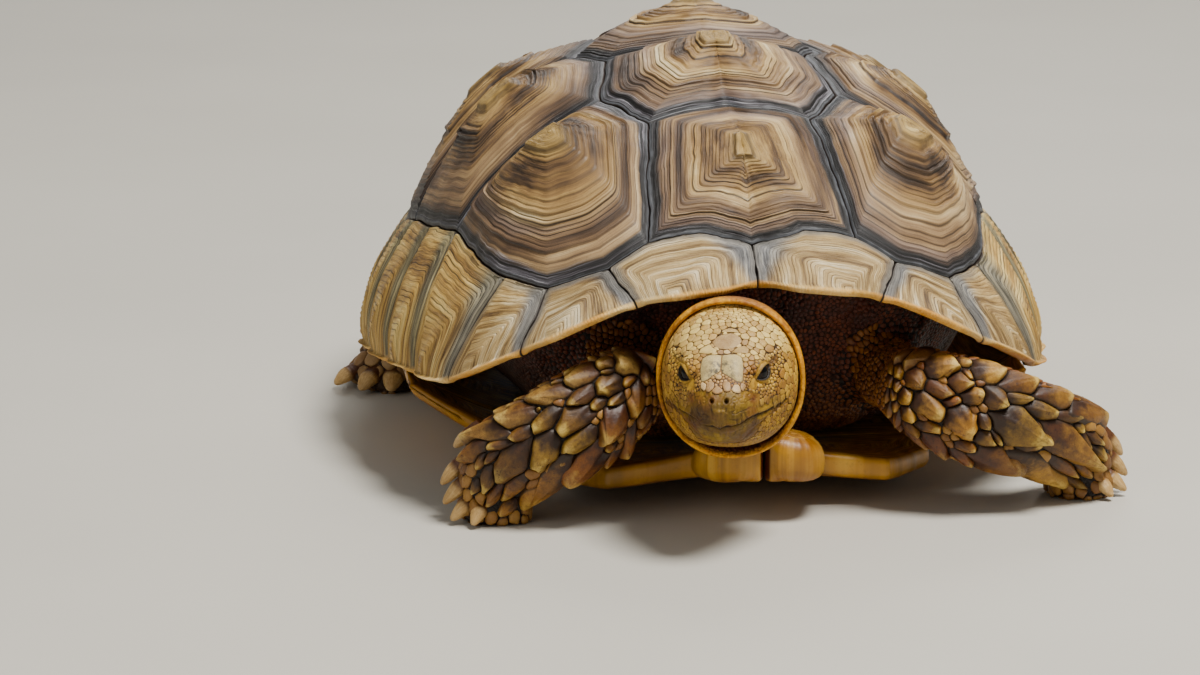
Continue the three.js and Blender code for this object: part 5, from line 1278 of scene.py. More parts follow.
def scale_material(name, base_rough=0.45, ringed=0.0):
    """Horny scales: the tint attribute, each a little different, darker at the edge as painted shade where the scale
    meets the skin.
    """
    m = Mat(name, IOR=1.5)
    pos = m.position()
    tint, cell, away, tone = m.attr("tint", True), m.attr("cell"), m.attr("away"), m.attr("tone")
    each = m.white(m.math("MULTIPLY", cell, 917.0))
    other = m.white(m.math("ADD", m.math("MULTIPLY", cell, 613.0), 5.0))
    blot = m.noise(pos, 130, 4, 0.6)
    speck = m.noise(pos, 700, 3, 0.6)
    v = m.math("ADD", m.math("MULTIPLY", each, 0.5), m.math("MULTIPLY", blot, 0.6))
    col = m.mix(m.fade(v, 0.25, 0.85), m.mix(1.0, tint, "#b39f86", "MULTIPLY"), m.mix(1.0, tint, "#fff8ea", "MULTIPLY"))
    col = m.mix(m.math("MULTIPLY", m.fade(other, 0.75, 1.0), 0.2), col, m.mix(1.0, tint, "#c79a68", "MULTIPLY"))
    # painted shade: each scale's edge is darkened where it drops to the skin
    col = m.mix(m.math("MULTIPLY", m.fade(away, 0.93, 1.0), 0.8), col, m.mix(1.0, tint, "#62472e", "MULTIPLY"))
    patch_ = m.math("MULTIPLY", m.fade(m.noise(pos, 430, 5, 0.7), 0.44, 0.58), m.fade(tone, 0.3, 1.0))
    col = m.mix(m.math("MULTIPLY", patch_, 0.85), col, "#3e3c38")
    col = m.mix(m.math("MULTIPLY", m.fade(speck, 0.56, 0.72), 0.3), col, m.mix(1.0, col, "#8a6244", "MULTIPLY"))
    n = m.bump(m.math("ADD", m.math("MULTIPLY", blot, 0.8), m.math("MULTIPLY", speck, 0.6)), 0.00045, 0.9)
    n = m.bump(m.noise(pos, 1900, 2, 0.6), 0.00012, 0.7, n)
    rough = m.math("ADD", m.math("MULTIPLY", blot, 0.3), base_rough - 0.08)
    return m.set(Base_Color=col, Roughness=rough, Normal=n)


SKIN = skin_material("reptile_skin")
SCALES = scale_material("head_scales")

head_P, head_end, neck_from = head_grid()
head_N = grid_normals(head_P)
if np.sum(head_N[40] * (head_P[40] - head_P[40].mean(0))) < 0:
    head_N = -head_N
mask = (np.arange(len(head_P)) < head_end)[:, None, None]
head_P = np.where(mask, head_relief(head_P, head_N), head_P)
head_N = grid_normals(head_P)
if np.sum(head_N[40] * (head_P[40] - head_P[40].mean(0))) < 0:
    head_N = -head_N
HR = len(head_P)
head_UV = np.stack(np.meshgrid(np.arange(HC) / HC * 0.5, np.linspace(0.02, 0.98, HR)), -1)
head_snap = snapper(head_P[: neck_from + 1])

plates = [(head(s, f, u), r) for s, f, u, r, _ in HEAD_PLATES]
zone = slice(0, neck_from)
X, Nn, uv, r = scatter(head_P[zone], head_N[zone], head_UV[zone], head_size, 7, 26000, 1.62, 2, plates)
px = np.array([head_snap.find_nearest(p)[0] for p, _ in plates])
near_v = tree_of(head_P[zone].reshape(-1, 3))
pick = np.array([near_v.find(p)[1] for p in px])
X = np.concatenate([px, X])
Nn = np.concatenate([head_N[zone].reshape(-1, 3)[pick], Nn])
uv = np.concatenate([head_UV[zone].reshape(-1, 2)[pick], uv])
r = np.concatenate([[p[1] for p in plates], r])
hx = in_head(X)
thick = 0.32 + 0.13 * r
thick[: len(plates)] = [0.7 * p[4] for p in HEAD_PLATES]
granule = (r < 1.25)
thick[granule] = 0.42 * r[granule]
coat = Build()
tint_x = head_tint(X)
tint_x[: len(plates)] = rgb("#d2bd9b")
gap = np.full(len(r), 0.05)
sel = ~granule
ghost_p, ghost_r = [], []
for k, (poly, *_) in enumerate(TOP_PLATES):
    e = rounded(poly, 2)
    c = e.mean(0)
    for p in e[::2]:
        q = c + (p - c) * (1 - 1.3 / max(np.linalg.norm(p - c), 1.5))
        ghost_p.append(on_top(*q)[0])
        ghost_r.append(1.5)
ghosts = (np.array(ghost_p), np.array(ghost_r))
lay(coat, head_snap, X[sel], Nn[sel], uv[sel], r[sel], np.broadcast_to(-HEAD_F, X[sel].shape), thick[sel], gap[sel], 1.0, 16, "plate", 1.5, 0.1, tint_x[sel], near=16, ghosts=(np.concatenate([ghosts[0], X[granule]]), np.concatenate([ghosts[1], r[granule]])))
lay(coat, head_snap, X[granule], Nn[granule], uv[granule], r[granule], np.broadcast_to(-HEAD_F, X[granule].shape), thick[granule], gap[granule], 1.0, 9, "bead", 1.25, 0.3, tint_x[granule], ghosts=(np.concatenate([ghosts[0], X[sel]]), np.concatenate([ghosts[1], r[sel]])))
for k, (poly, t_, bulge, tint_) in enumerate(TOP_PLATES):
    c = rounded(poly).mean(0)
    i_, j_ = np.unravel_index(near_v.find(on_top(*c)[0])[1], head_P[zone].shape[:2])
    top_plate(coat, poly, t_, bulge, tint_, head_UV[i_, j_], k + 1)
coat.mesh("scales_head", SCALES, "head_skin")

skin = Build()
Pn = head_P.reshape(-1, 3)
size_here = head_size(Pn)
# covered: how strongly the skin is darkened as painted shade under the scales
covered = np.where(np.isfinite(size_here), 0.9, 0.0)
covered[neck_from * HC :] = 0.5
hh = in_head(Pn)
on_lip = smooth(7.5, 8.6, -(hh[:, 1] + 0.108 * hh[:, 2]) + 16.2) * smooth(0.92, 0.96, np.hypot(hh[:, 0] / 43.0, hh[:, 2] / 46.5))
covered = covered * 1.05 * (1 - on_lip)
skin_tint = head_tint(Pn)
back = smooth(3, -8, hh[:, 1])[:, None]
skin_tint = skin_tint * (1 - back) + rgb("#6b3f22") * back
# painted shade: the fold behind the collar is painted dark red-brown
crease_line = smooth(5.5, 3.5, hh[:, 1] + 0.108 * hh[:, 2]) * smooth(1.06, 0.97, np.hypot(hh[:, 0] / 40.5, hh[:, 2] / 44.5))
skin_tint = skin_tint * (1 - crease_line[:, None]) + rgb("#5a2210") * crease_line[:, None]
faces = [grid(HR, HC, wrap=True)[:, ::-1], np.stack([np.arange(HC), (np.arange(HC) + 1) % HC, np.full(HC, HR * HC)], -1)]
skin.add(np.concatenate([Pn, head(0, 70.75, -1.1)[None] if np.ndim(head(0, 70.75, -1.1)) == 1 else head(0, 70.75, -1.1)]), faces,
         uv=np.concatenate([head_UV.reshape(-1, 2), [[0.25, 0.0]]]), tint=np.concatenate([skin_tint, [rgb("#857338")]]), coat=np.append(covered, 0), fine=np.append(smooth(44, 30, hh[:, 1]) * (1 - on_lip) + 0.03 + 0.17 * on_lip, 0.03))


# ---- body: trunk, legs and tail grown together into one smooth skin ------------------------------------------------------------
LIMBS = {
    "leg_front_right": [(-78, -150, 78, 24), (-75, -180, 78, 25), (-68, -211, 82, 25), (-83, -220, 73.5, 27), (-103, -224, 62, 28), (-122, -222, 51.5, 28), (-138, -216, 43, 27), (-148, -209, 31, 25), (-150, -205, 14, 22), (-149, -202, -8, 20)],
    "leg_front_left": [(88, -150, 74, 24), (89, -180, 74, 25), (89, -212, 78, 24), (110, -221, 68.5, 27), (137, -224, 59, 29), (163, -217, 49.5, 28), (184, -207, 41, 26), (197, -196, 29, 24), (202, -189, 12, 21), (202, -186, -8, 20)],
    "leg_rear_right": [(-104, 128, 64, 30), (-130, 140, 46, 29), (-152, 146, 27, 28), (-176, 146, 12, 29), (-189, 142, -8, 30)],
    "leg_rear_left": [(104, 128, 64, 30), (130, 140, 46, 29), (152, 146, 27, 28), (176, 146, 12, 29), (189, 142, -8, 30)],
    "tail": [(0, 180, 60, 22), (0, 196, 58, 20), (1, 222, 47, 17), (5, 243, 36, 12.5), (12, 258, 26, 8), (19, 267, 19, 4)],
}
LIMB_NAMES = list(LIMBS)
TRUNK_TOP, TRUNK_BOTTOM = 5, 6


def along_limb(name, P):
    """For points: share of the limb's length, distance over the limb's radius there, and the limb's direction."""
    A = np.array(LIMBS[name], float)
    C, R = A[:, :3], A[:, 3]
    seg = C[1:] - C[:-1]
    ln = np.linalg.norm(seg, axis=1)
    cum = np.concatenate([[0], np.cumsum(ln)])
    best = np.full(len(P), 1e9)
    t_, q_, d_ = np.zeros(len(P)), np.zeros(len(P)), np.zeros((len(P), 3))
    for i in range(len(seg)):
        t = np.clip(((P - C[i]) @ seg[i]) / ln[i] ** 2, 0, 1)
        d = np.linalg.norm(P - (C[i] + t[:, None] * seg[i]), axis=1) / (R[i] + (R[i + 1] - R[i]) * t)
        k = d < best
        best = np.where(k, d, best)
        t_ = np.where(k, (cum[i] + t * ln[i]) / cum[-1], t_)
        d_[k] = seg[i] / ln[i]
    return t_, best, d_


def part_of(P, N):
    """The limb that each point belongs to, its share of the limb's length and the limb's direction; past the limbs the trunk."""
    lab = np.where(N[:, 2] > 0, TRUNK_TOP, TRUNK_BOTTOM)
    share, way, best = np.zeros(len(P)), np.zeros((len(P), 3)) + [0, 1, 0], np.full(len(P), 1.32)
    for i, name in enumerate(LIMB_NAMES):
        t, q, d = along_limb(name, P)
        k = q < best
        lab, best, share = np.where(k, i, lab), np.where(k, q, best), np.where(k, t, share)
        way[k] = d[k]
    return lab, share, way


def part_uv(P, lab):
    """Place on the unwrapped skin: limbs as unrolled tubes, the trunk as a top and a bottom sheet."""
    uv = np.zeros((len(P), 2))
    turn = np.zeros(len(P))
    for i, name in enumerate(LIMB_NAMES):
        k = lab == i
        if k.any():
            t, _, _ = along_limb(name, P[k])
            A = np.array(LIMBS[name], float)[:, :3]
            cum = np.concatenate([[0], np.cumsum(np.linalg.norm(np.diff(A, axis=0), axis=1))])
            c = np.stack([np.interp(t * cum[-1], cum, A[:, j]) for j in range(3)], -1)
            d = P[k] - c
            if i < 4:
                tan = unit(A[-1] - A[0])
            else:
                tan = unit(np.array([0, 0.8, -0.6]))
            e1 = unit(np.cross(tan, [0, -1, 0.01]))
            e2 = np.cross(tan, e1)
            turn[k] = np.arctan2(d @ e2, d @ e1) / (2 * np.pi)
            uv[k] = np.stack([0.5 + turn[k] * 0.84, 0.03 + 0.94 * t], -1)
    top, low = lab == TRUNK_TOP, lab == TRUNK_BOTTOM
    for k in (top, low):
        uv[k] = np.stack([0.5 + P[k, 0] / 480, 0.5 + (P[k, 1] - 10) / 560], -1)
    return uv, turn


ISLAND = {0: (0.505, 0.5, 0.095, 0.49), 1: (0.605, 0.5, 0.095, 0.49), 2: (0.705, 0.5, 0.095, 0.49), 3: (0.805, 0.5, 0.095, 0.49), 4: (0.905, 0.5, 0.09, 0.49), 5: (0.505, 0.005, 0.24, 0.48), 6: (0.75, 0.005, 0.24, 0.48)}


def on_island(uv, lab):
    box = np.array([ISLAND[i] for i in range(7)])[lab]
    return box[..., :2] + np.clip(uv, 0, 1) * box[..., 2:]


def node_mesh(name):
    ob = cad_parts[name]
    me = ob.data
    V = np.empty(len(me.vertices) * 3, np.float32)
    me.vertices.foreach_get("co", V)
    M = np.array(ob.matrix_world)
    P = (V.reshape(-1, 3) @ M[:3, :3].T + M[:3, 3]) * 1000 - SHIFT
    me.calc_loop_triangles()
    T = np.empty(len(me.loop_triangles) * 3, np.int32)
    me.loop_triangles.foreach_get("vertices", T)
    return P, T.reshape(-1, 3)


def tube(rows, n=28):
    """A closed round loft through rows of (x, y, z, half width, half height) along Y."""
    th = 2 * np.pi * np.arange(n) / n
    V = np.concatenate([np.stack([x + w * np.cos(th), np.full(n, float(y)), z + h * np.sin(th)], -1) for x, y, z, w, h in rows])
    ends = np.array([[rows[0][0], rows[0][1], rows[0][2]], [rows[-1][0], rows[-1][1], rows[-1][2]]], float)
    g = grid(len(rows), n, wrap=True)
    T = np.concatenate([g[:, [0, 1, 2]], g[:, [0, 2, 3]]])
    k, m = np.arange(n), len(V)
    last = (len(rows) - 1) * n
    T = np.concatenate([T, np.stack([np.full(n, m), (k + 1) % n, k], -1), np.stack([np.full(n, m + 1), last + k, last + (k + 1) % n], -1)])
    return np.concatenate([V, ends]), T


def fuse(parts, voxel):
    """Many closed meshes grown into one, as (points in mm, quads)."""
    V, F, n = [], [], 0
    for P, T in parts:
        V.append(P)
        F.append(T + n)
        n += len(P)
    V, F = np.concatenate(V) * 0.001, np.concatenate(F)
    me = bpy.data.meshes.new("grown")
    me.from_pydata(V.tolist(), [], F.tolist())
    ob = bpy.data.objects.new("grown", me)
    bpy.context.scene.collection.objects.link(ob)
    mod = ob.modifiers.new("grow", "REMESH")
    mod.mode, mod.voxel_size, mod.adaptivity = "VOXEL", voxel * 0.001, 0.0
    dg = bpy.context.evaluated_depsgraph_get()
    out = ob.evaluated_get(dg).to_mesh()
    P = np.empty(len(out.vertices) * 3, np.float32)
    out.vertices.foreach_get("co", P)
    sizes = np.empty(len(out.polygons), np.int32)
    out.polygons.foreach_get("loop_total", sizes)
    idx = np.empty(len(out.loops), np.int32)
    out.loops.foreach_get("vertex_index", idx)
    ob.evaluated_get(dg).to_mesh_clear()
    bpy.data.objects.remove(ob)
    bpy.data.meshes.remove(me)
    if not np.all(sizes == 4):
        raise RuntimeError("the grown skin isn't all quads")
    return P.reshape(-1, 3).astype(float) * 1000, idx.reshape(-1, 4).astype(np.int64)


def mesh_normals(P, Q):
    n = np.cross(P[Q[:, 2]] - P[Q[:, 0]], P[Q[:, 3]] - P[Q[:, 1]])
    N = np.zeros_like(P)
    for k in range(4):
        np.add.at(N, Q[:, k], n)
    return unit(N)


def ease(P, Q, times, pull=0.5, push=-0.53):
    e = np.unique(np.sort(np.concatenate([Q[:, [0, 1]], Q[:, [1, 2]], Q[:, [2, 3]], Q[:, [3, 0]]]), axis=1), axis=0)
    cnt = np.bincount(e.ravel(), minlength=len(P))[:, None]
    for _ in range(times):
        for w in (pull, push):
            if w == 0:
                continue
            s = np.stack([np.bincount(e[:, 0], P[e[:, 1], j], len(P)) + np.bincount(e[:, 1], P[e[:, 0], j], len(P)) for j in range(3)], -1)
            P = P + w * (s / np.maximum(cnt, 1) - P)
    return P


body_parts = [node_mesh(n) for n in ("trunk", "leg_front_left", "leg_front_right", "leg_rear_left", "leg_rear_right", "tail")]
body_parts.append(tube([(-10.5, -208, 84.5, 31, 31), (-10, -204, 84.5, 35, 35.5), (-8, -196, 84, 36.6, 37.4), (-6, -182, 84, 38, 39), (-3, -165, 85, 41, 42), (0, -145, 86, 44, 46)]))
body_P, body_Q = fuse(body_parts, 4.4)
body_P = ease(body_P, body_Q, 8)
body_P = ease(body_P, body_Q, 2, 0.4, 0)
body_N = mesh_normals(body_P, body_Q)
body_lab, body_share, body_way = part_of(body_P, body_N)
IN_COAT = np.array([4.2, 4.2, 3.2, 3.2, 2.0, 1.2, 1.2])
inset = IN_COAT[body_lab]
for _ in range(3):
    inset = ease(np.repeat(inset[:, None], 3, 1), body_Q, 3, 0.5, 0)[:, 0]
inset = np.where((body_P[:, 2] < 12) & (body_lab < 4), 0.9 + 0.8 * smooth(2, 12, body_P[:, 2]), inset)
fold = noise(body_P * np.array([0.055, 0.055, 0.03]) + 3.1, 71, 2)
front_zone = smooth(-120, -150, body_P[:, 1]) * (body_lab > 4)
inset = inset + front_zone * (2.6 * np.exp(-((fold / 0.13) ** 2)))
body_P = body_P - body_N * inset[:, None]
body_P[:, 2] = np.maximum(body_P[:, 2], 0.5)
body_N = mesh_normals(body_P, body_Q)
body_snap = BVHTree.FromPolygons([tuple(p) for p in body_P], body_Q.tolist())

# each face belongs to one island, so that no face runs across a gap of the unwrap
face_c = body_P[body_Q].mean(1)
face_n = unit(np.cross(body_P[body_Q[:, 2]] - body_P[body_Q[:, 0]], body_P[body_Q[:, 3]] - body_P[body_Q[:, 1]]))
face_lab, _, _ = part_of(face_c, face_n)
corner = np.zeros((len(body_Q), 4, 2))
_, turn0 = part_uv(face_c, face_lab)
for k in range(4):
    uv_k, turn_k = part_uv(body_P[body_Q[:, k]], face_lab)
    d = turn_k - turn0
    limb_ = face_lab < 5
    uv_k[:, 0] = np.where(limb_, 0.5 + 0.84 * (turn0 + d - np.round(d)), uv_k[:, 0])
    corner[:, k] = on_island(uv_k, face_lab)


def body_tint(P, lab):
    c = np.broadcast_to(rgb("#3d2414"), P.shape).copy()
    w = (lab < 2)[:, None] * 1.0
    c = c * (1 - w) + rgb("#33241a") * w
    w = ((lab == 2) | (lab == 3) | (lab == 4))[:, None] * 1.0
    c = c * (1 - w) + rgb("#4b3a2a") * w
    warm = (smooth(-0.2, 0.5, noise(P * 0.05, 81, 2)) * smooth(-100, -160, P[:, 1]) * (lab > 4))[:, None]
    c = c * (1 - warm) + rgb("#5c2f17") * warm
    low = (smooth(64, 40, P[:, 2]) * smooth(-100, -160, P[:, 1]) * (lab > 4))[:, None] * 0.6
    return c * (1 - low) + rgb("#7a4a1c") * low


# coat: painted shade under the scales, strongest on the forelegs
skin.add(body_P, [body_Q], corner_uv=[corner], tint=body_tint(body_P, body_lab), coat=np.where(body_lab < 2, 0.9, np.where(body_lab < 5, 0.35, 0.1)), fine=np.where(body_lab < 5, 0.5, 1.0))
skin.mesh("skin", SKIN, "skin", ["head", "lower_jaw", "neck", "trunk", "leg_front_left", "leg_front_right", "leg_rear_left", "leg_rear_right", "tail"])


def spread(pick_faces, size, seed, tries, spacing=1.75, fixed=()):
    """Seeds over chosen faces of the body's skin. size(P, N, lab, share) gives radii, nan where nothing grows."""
    rng = np.random.default_rng(seed)
    Q = body_Q[pick_faces]
    c = body_P[Q].mean(1)
    n = unit(body_N[Q].mean(1))
    lab, share, _ = part_of(c, n)
    s = size(c, n, lab, share)
    area_ = np.linalg.norm(np.cross(body_P[Q[:, 2]] - body_P[Q[:, 0]], body_P[Q[:, 3]] - body_P[Q[:, 1]]), axis=1)
    w = np.where(np.isfinite(s), area_ / np.maximum(s, 0.5) ** 2, 0)
    k = rng.choice(len(Q), tries, p=w / w.sum())
    a, b = rng.random(tries)[:, None], rng.random(tries)[:, None]
    mixq = lambda G: (G[Q[k, 0]] * (1 - a) + G[Q[k, 1]] * a) * (1 - b) + (G[Q[k, 3]] * (1 - a) + G[Q[k, 2]] * a) * b
    X, Nn = mixq(body_P), unit(mixq(body_N))
    lab, share, way = part_of(X, Nn)
    r = size(X, Nn, lab, share)
    ok = np.isfinite(r)
    X, Nn, lab, share, way, r = X[ok], Nn[ok], lab[ok], share[ok], way[ok], r[ok]
    keep = darts(X, r, spacing, fixed)
    X, Nn, lab, share, way, r = X[keep], Nn[keep], lab[keep], share[keep], way[keep], r[keep]
    uv, _ = part_uv(X, lab)
    return X, Nn, on_island(uv, lab), r, lab, share, way


def root_uv(P):
    """Places on the skin's unwrap for the roots at P (n, 3)."""
    got = [body_snap.find_nearest(p) for p in P]
    X, Nn = np.array([g[0] for g in got]), np.array([g[1] for g in got])
    lab, _, _ = part_of(X, Nn)
    uv, _ = part_uv(X, lab)
    return X, Nn, on_island(uv, lab)


# ---- big scales of the forelegs: horny wedges that fit edge to edge and overhang towards the foot -----------------------------
def wedges(build, items, others, around=40, seed=3):
    """items: root point, tip point, half width, height, tint, gloss. others: points and radii of the small scales between them."""
    root, tip = np.array([i[0] for i in items], float), np.array([i[1] for i in items], float)
    hw, H = np.array([i[2] for i in items]), np.array([i[3] for i in items])
    tint, gloss = np.array([i[4] for i in items]), np.array([i[5] for i in items])
    K = len(items)
    mid, N, uv = root_uv(root * 0.5 + tip * 0.5)
    A = tip - root
    A = unit(A - N * np.sum(A * N, -1, keepdims=True))
    B = np.cross(N, A)
    half = np.maximum(np.linalg.norm(tip - root, axis=1) / 2, hw * 0.8)
    th = 2 * np.pi * np.arange(around) / around
    c, s = np.cos(th), np.sin(th)
    rng = np.random.default_rng(seed)
    # how far each direction runs before a neighbour is nearer, each in its own measure
    t = np.linspace(0.15, 1.42, 60)
    ray = A[:, None] * (half[:, None] * c)[..., None] + B[:, None] * (hw[:, None] * s * (1 - 0.22 * np.clip(c, 0, 1)))[..., None]
    X = mid[:, None, None] + ray[:, :, None] * t[None, None, :, None]
    reach = np.full((K, around), t[-1])
    tree = tree_of(np.concatenate([mid, others[0]]))
    for k in range(K):
        free = np.ones((around, len(t)), bool)
        for _, q, d in tree.find_n(mid[k], 24):
            if q == k:
                continue
            if q < K:
                if N[q] @ N[k] < -0.2:
                    continue
                dx = X[k] - mid[q]
                m_ = np.sqrt((dx @ A[q] / half[q]) ** 2 + (dx @ B[q] / hw[q]) ** 2 + (dx @ N[q] / (1.6 * hw[q])) ** 2)
            else:
                m_ = np.linalg.norm(X[k] - others[0][q - K], axis=-1) / (others[1][q - K] * 0.95)
            free &= m_ > t[None, :]
        hit = np.argmax(~free, axis=1)
        reach[k] = np.where(free.all(1), t[-1], t[np.maximum(hit - 1, 0)])
    long_ = np.linalg.norm(ray, axis=-1)
    reach = np.maximum(reach - 0.16 / long_, 0.3)
    reach = 0.15 * np.roll(reach, 1, 1) + 0.7 * reach + 0.15 * np.roll(reach, -1, 1)
    la, lb = half[:, None] * c * reach, hw[:, None] * s * (1 - 0.22 * np.clip(c, 0, 1)) * reach
    top = reach[:, 0] * half
    pa = top * (0.68 + 0.14 * rng.random(K)) + 0.16 * H
    pb = 0.16 * hw * (rng.random(K) - 0.5)
    Q = np.array([1.0, 1.0, 0.985, 0.955, 0.91, 0.85, 0.78, 0.7, 0.61, 0.52, 0.43, 0.34, 0.25, 0.17, 0.1, 0.045])
    q = Q[None, :, None]
    ph = rng.random((K, 1, 1)) * 50
    xa, xb = la[:, None] * q + pa[:, None, None] * (1 - q), lb[:, None] * q + pb[:, None, None] * (1 - q)
    rise = 0.15 * smooth(1.0, 0.985, q) + 0.85 * np.clip(1 - q**2.0, 0, 1) ** 0.78
    keel = 0.07 * np.exp(-((np.angle(np.exp(1j * (th - np.pi))) / 0.4) ** 2))[None, None] * 4 * q * (1 - q)
    lump = 0.07 * noise(xyz(xa * 0.13 + ph, xb * 0.13, ph), 94, 2) * smooth(1.0, 0.8, q) + 0.02 * noise(xyz(xa * 0.6 + ph, xb * 0.6, ph), 95, 2)
    count = np.clip(hw * 0.8, 3, 8)[:, None, None]
    phase = count * (1 - q) + 0.4 * noise(xyz(c[None, None] * 1.2 + ph, s[None, None] * 1.2, q * 3 + ph), 93)
    f = phase - np.floor(phase)
    ridge = (1 - np.abs(2 * f - 1) ** 2.5) * 0.012 * hw[:, None, None] * smooth(0.98, 0.85, q) * smooth(0.0, 0.25, q)
    h = H[:, None, None] * (rise + keel + lump) + ridge
    flat = mid[:, None, None] + A[:, None, None] * xa[..., None] + B[:, None, None] * xb[..., None]
    base = np.array([body_snap.find_nearest(p)[0] for p in flat[:, 0].reshape(-1, 3)]).reshape(K, around, 3)
    off = np.clip(np.sum((base - flat[:, 0]) * N[:, None], -1), -hw[:, None] * 1.1, hw[:, None] * 0.3)
    sink = np.where(np.arange(len(Q)) == 0, -1.8, 0.0)[None, :, None]
    V = flat + N[:, None, None] * (off[:, None] * q**1.3 + h + sink)[..., None]
    R_ = len(Q)
    cen = V[:, -1].mean(1) + N * (0.02 * H)[:, None]
    V = np.concatenate([V.reshape(K, -1, 3), cen[:, None]], 1)
    per = R_ * around + 1
    g = grid(R_, around, wrap=True)
    last = (R_ - 1) * around
    fan = np.stack([last + np.arange(around), last + (np.arange(around) + 1) % around, np.full(around, per - 1)], -1)
    offs = (np.arange(K) * per)[:, None, None]
    wide = lambda v, end: np.concatenate([np.broadcast_to(v, (K, R_, around)).reshape(K, -1), np.broadcast_to(end, (K,))[:, None]], 1)
    away = wide(q, 0.0)
    spin = wide(th[None, None], 0.0)
    uvs = uv[:, None] + 0.0016 * np.stack([np.cos(spin), np.sin(spin)], -1) * away[..., None]
    ids = (np.arange(K) * 0.6180339 + seed * 0.11) % 1.0
    one = np.ones((K, per))
    build.add(V, [(g[None] + offs).reshape(-1, 4), (fan[None] + offs).reshape(-1, 3)], uv=uvs, cell=ids[:, None] * one, away=away, phase=wide(phase, count[:, 0, 0]),
              front=wide(c[None, None] * q + 0.75 * (1 - q), 0.75), tint=np.repeat(tint, per, 0), tone=gloss[:, None] * one)


def leg_material(name):
    """Leg scales: roots darkened as painted contact shade, paler worn tips, growth lines round the tip, a near-black
    painted shade where each scale meets the skin; tone makes them glossy and orange-brown.
    """
    m = Mat(name, IOR=1.5)
    pos = m.position()
    tint, cell, away, tone = m.attr("tint", True), m.attr("cell"), m.attr("away"), m.attr("tone")
    phase, front = m.attr("phase"), m.attr("front")
    each = m.white(m.math("MULTIPLY", cell, 917.0))
    other = m.white(m.math("ADD", m.math("MULTIPLY", cell, 613.0), 5.0))
    big = m.noise(pos, 38, 4, 0.6)
    blot = m.noise(pos, 150, 4, 0.62)
    speck = m.noise(pos, 650, 3, 0.6)
    ringn = m.noise(m.join(m.math("MULTIPLY", phase, 1.7), m.math("MULTIPLY", cell, 31.0), m.math("MULTIPLY", front, 0.4)), 1.6, 3, 0.6)
    v = m.math("ADD", m.math("MULTIPLY", each, 0.4), m.math("ADD", m.math("MULTIPLY", big, 0.4), m.math("ADD", m.math("MULTIPLY", ringn, 0.08), m.math("MULTIPLY", blot, 0.25))))
    col = m.mix(m.fade(v, 0.4, 0.95), m.mix(1.0, tint, "#a48f68", "MULTIPLY"), m.mix(1.0, tint, "#fff6da", "MULTIPLY"))
    # the root end is darkened as painted contact shade under the scale before it, the tip worn pale
    where_ = m.math("ADD", front, m.math("MULTIPLY", m.math("SUBTRACT", blot, 0.5), 1.5))
    col = m.mix(m.fade(where_, 0.35, -0.7), col, m.mix(1.0, tint, "#402d19", "MULTIPLY"))
    pale = m.math("MULTIPLY", m.fade(where_, 0.25, 0.85), m.fade(away, 0.9, 0.35))
    col = m.mix(m.math("MULTIPLY", pale, m.math("SUBTRACT", 0.75, m.math("MULTIPLY", tone, 0.3))), col, m.mix(0.7, tint, "#e4ca84"))
    stain = m.math("MULTIPLY", m.fade(m.math("ADD", big, m.math("MULTIPLY", other, 0.25)), 0.56, 0.78), 0.65)
    col = m.mix(stain, col, m.mix(1.0, tint, "#6b4c2e", "MULTIPLY"))
    f = m.math("FRACT", phase)
    line = m.fade(m.math("ABSOLUTE", m.math("SUBTRACT", m.math("MULTIPLY", f, 2.0), 1.0)), 0.6, 1.0)
    col = m.mix(m.math("MULTIPLY", line, 0.1), col, m.mix(1.0, col, "#8a6c4e", "MULTIPLY"))
    pits = m.math("MULTIPLY", m.fade(m.noise(pos, 420, 4, 0.7), 0.52, 0.66), m.fade(big, 0.4, 0.65, 0.25, 0.85))
    col = m.mix(pits, col, m.mix(1.0, col, "#7a5c3e", "MULTIPLY"))
    # painted shade: a near-black rim where each scale meets the skin
    col = m.mix(m.math("MULTIPLY", m.fade(away, 0.9, 1.0), 0.85), col, "#2a1e14")
    col = m.mix(m.math("MULTIPLY", m.fade(speck, 0.55, 0.72), 0.35), col, m.mix(1.0, col, "#7a5a40", "MULTIPLY"))
    n = m.bump(m.math("ADD", m.math("MULTIPLY", ringn, 0.25), m.math("MULTIPLY", blot, 1.0)), 0.0006, 0.8)
    n = m.bump(speck, 0.0002, 0.6, n)
    rough = m.math("SUBTRACT", m.math("ADD", 0.44, m.math("MULTIPLY", blot, 0.22)), m.math("MULTIPLY", tone, 0.2))
    return m.set(Base_Color=col, Roughness=rough, Normal=n)


LEG = leg_material("leg_scales")
KINDS = {"W": ("#d0ba8a", 0.0), "T": ("#b8975c", 0.0), "g": ("#98804a", 0.0), "b": ("#a8824c", 0.35), "o": ("#a8783e", 0.5), "y": ("#b99652", 0.35), "t": ("#bd9f6d", 0.1), "c": ("#8f7145", 0.2)}
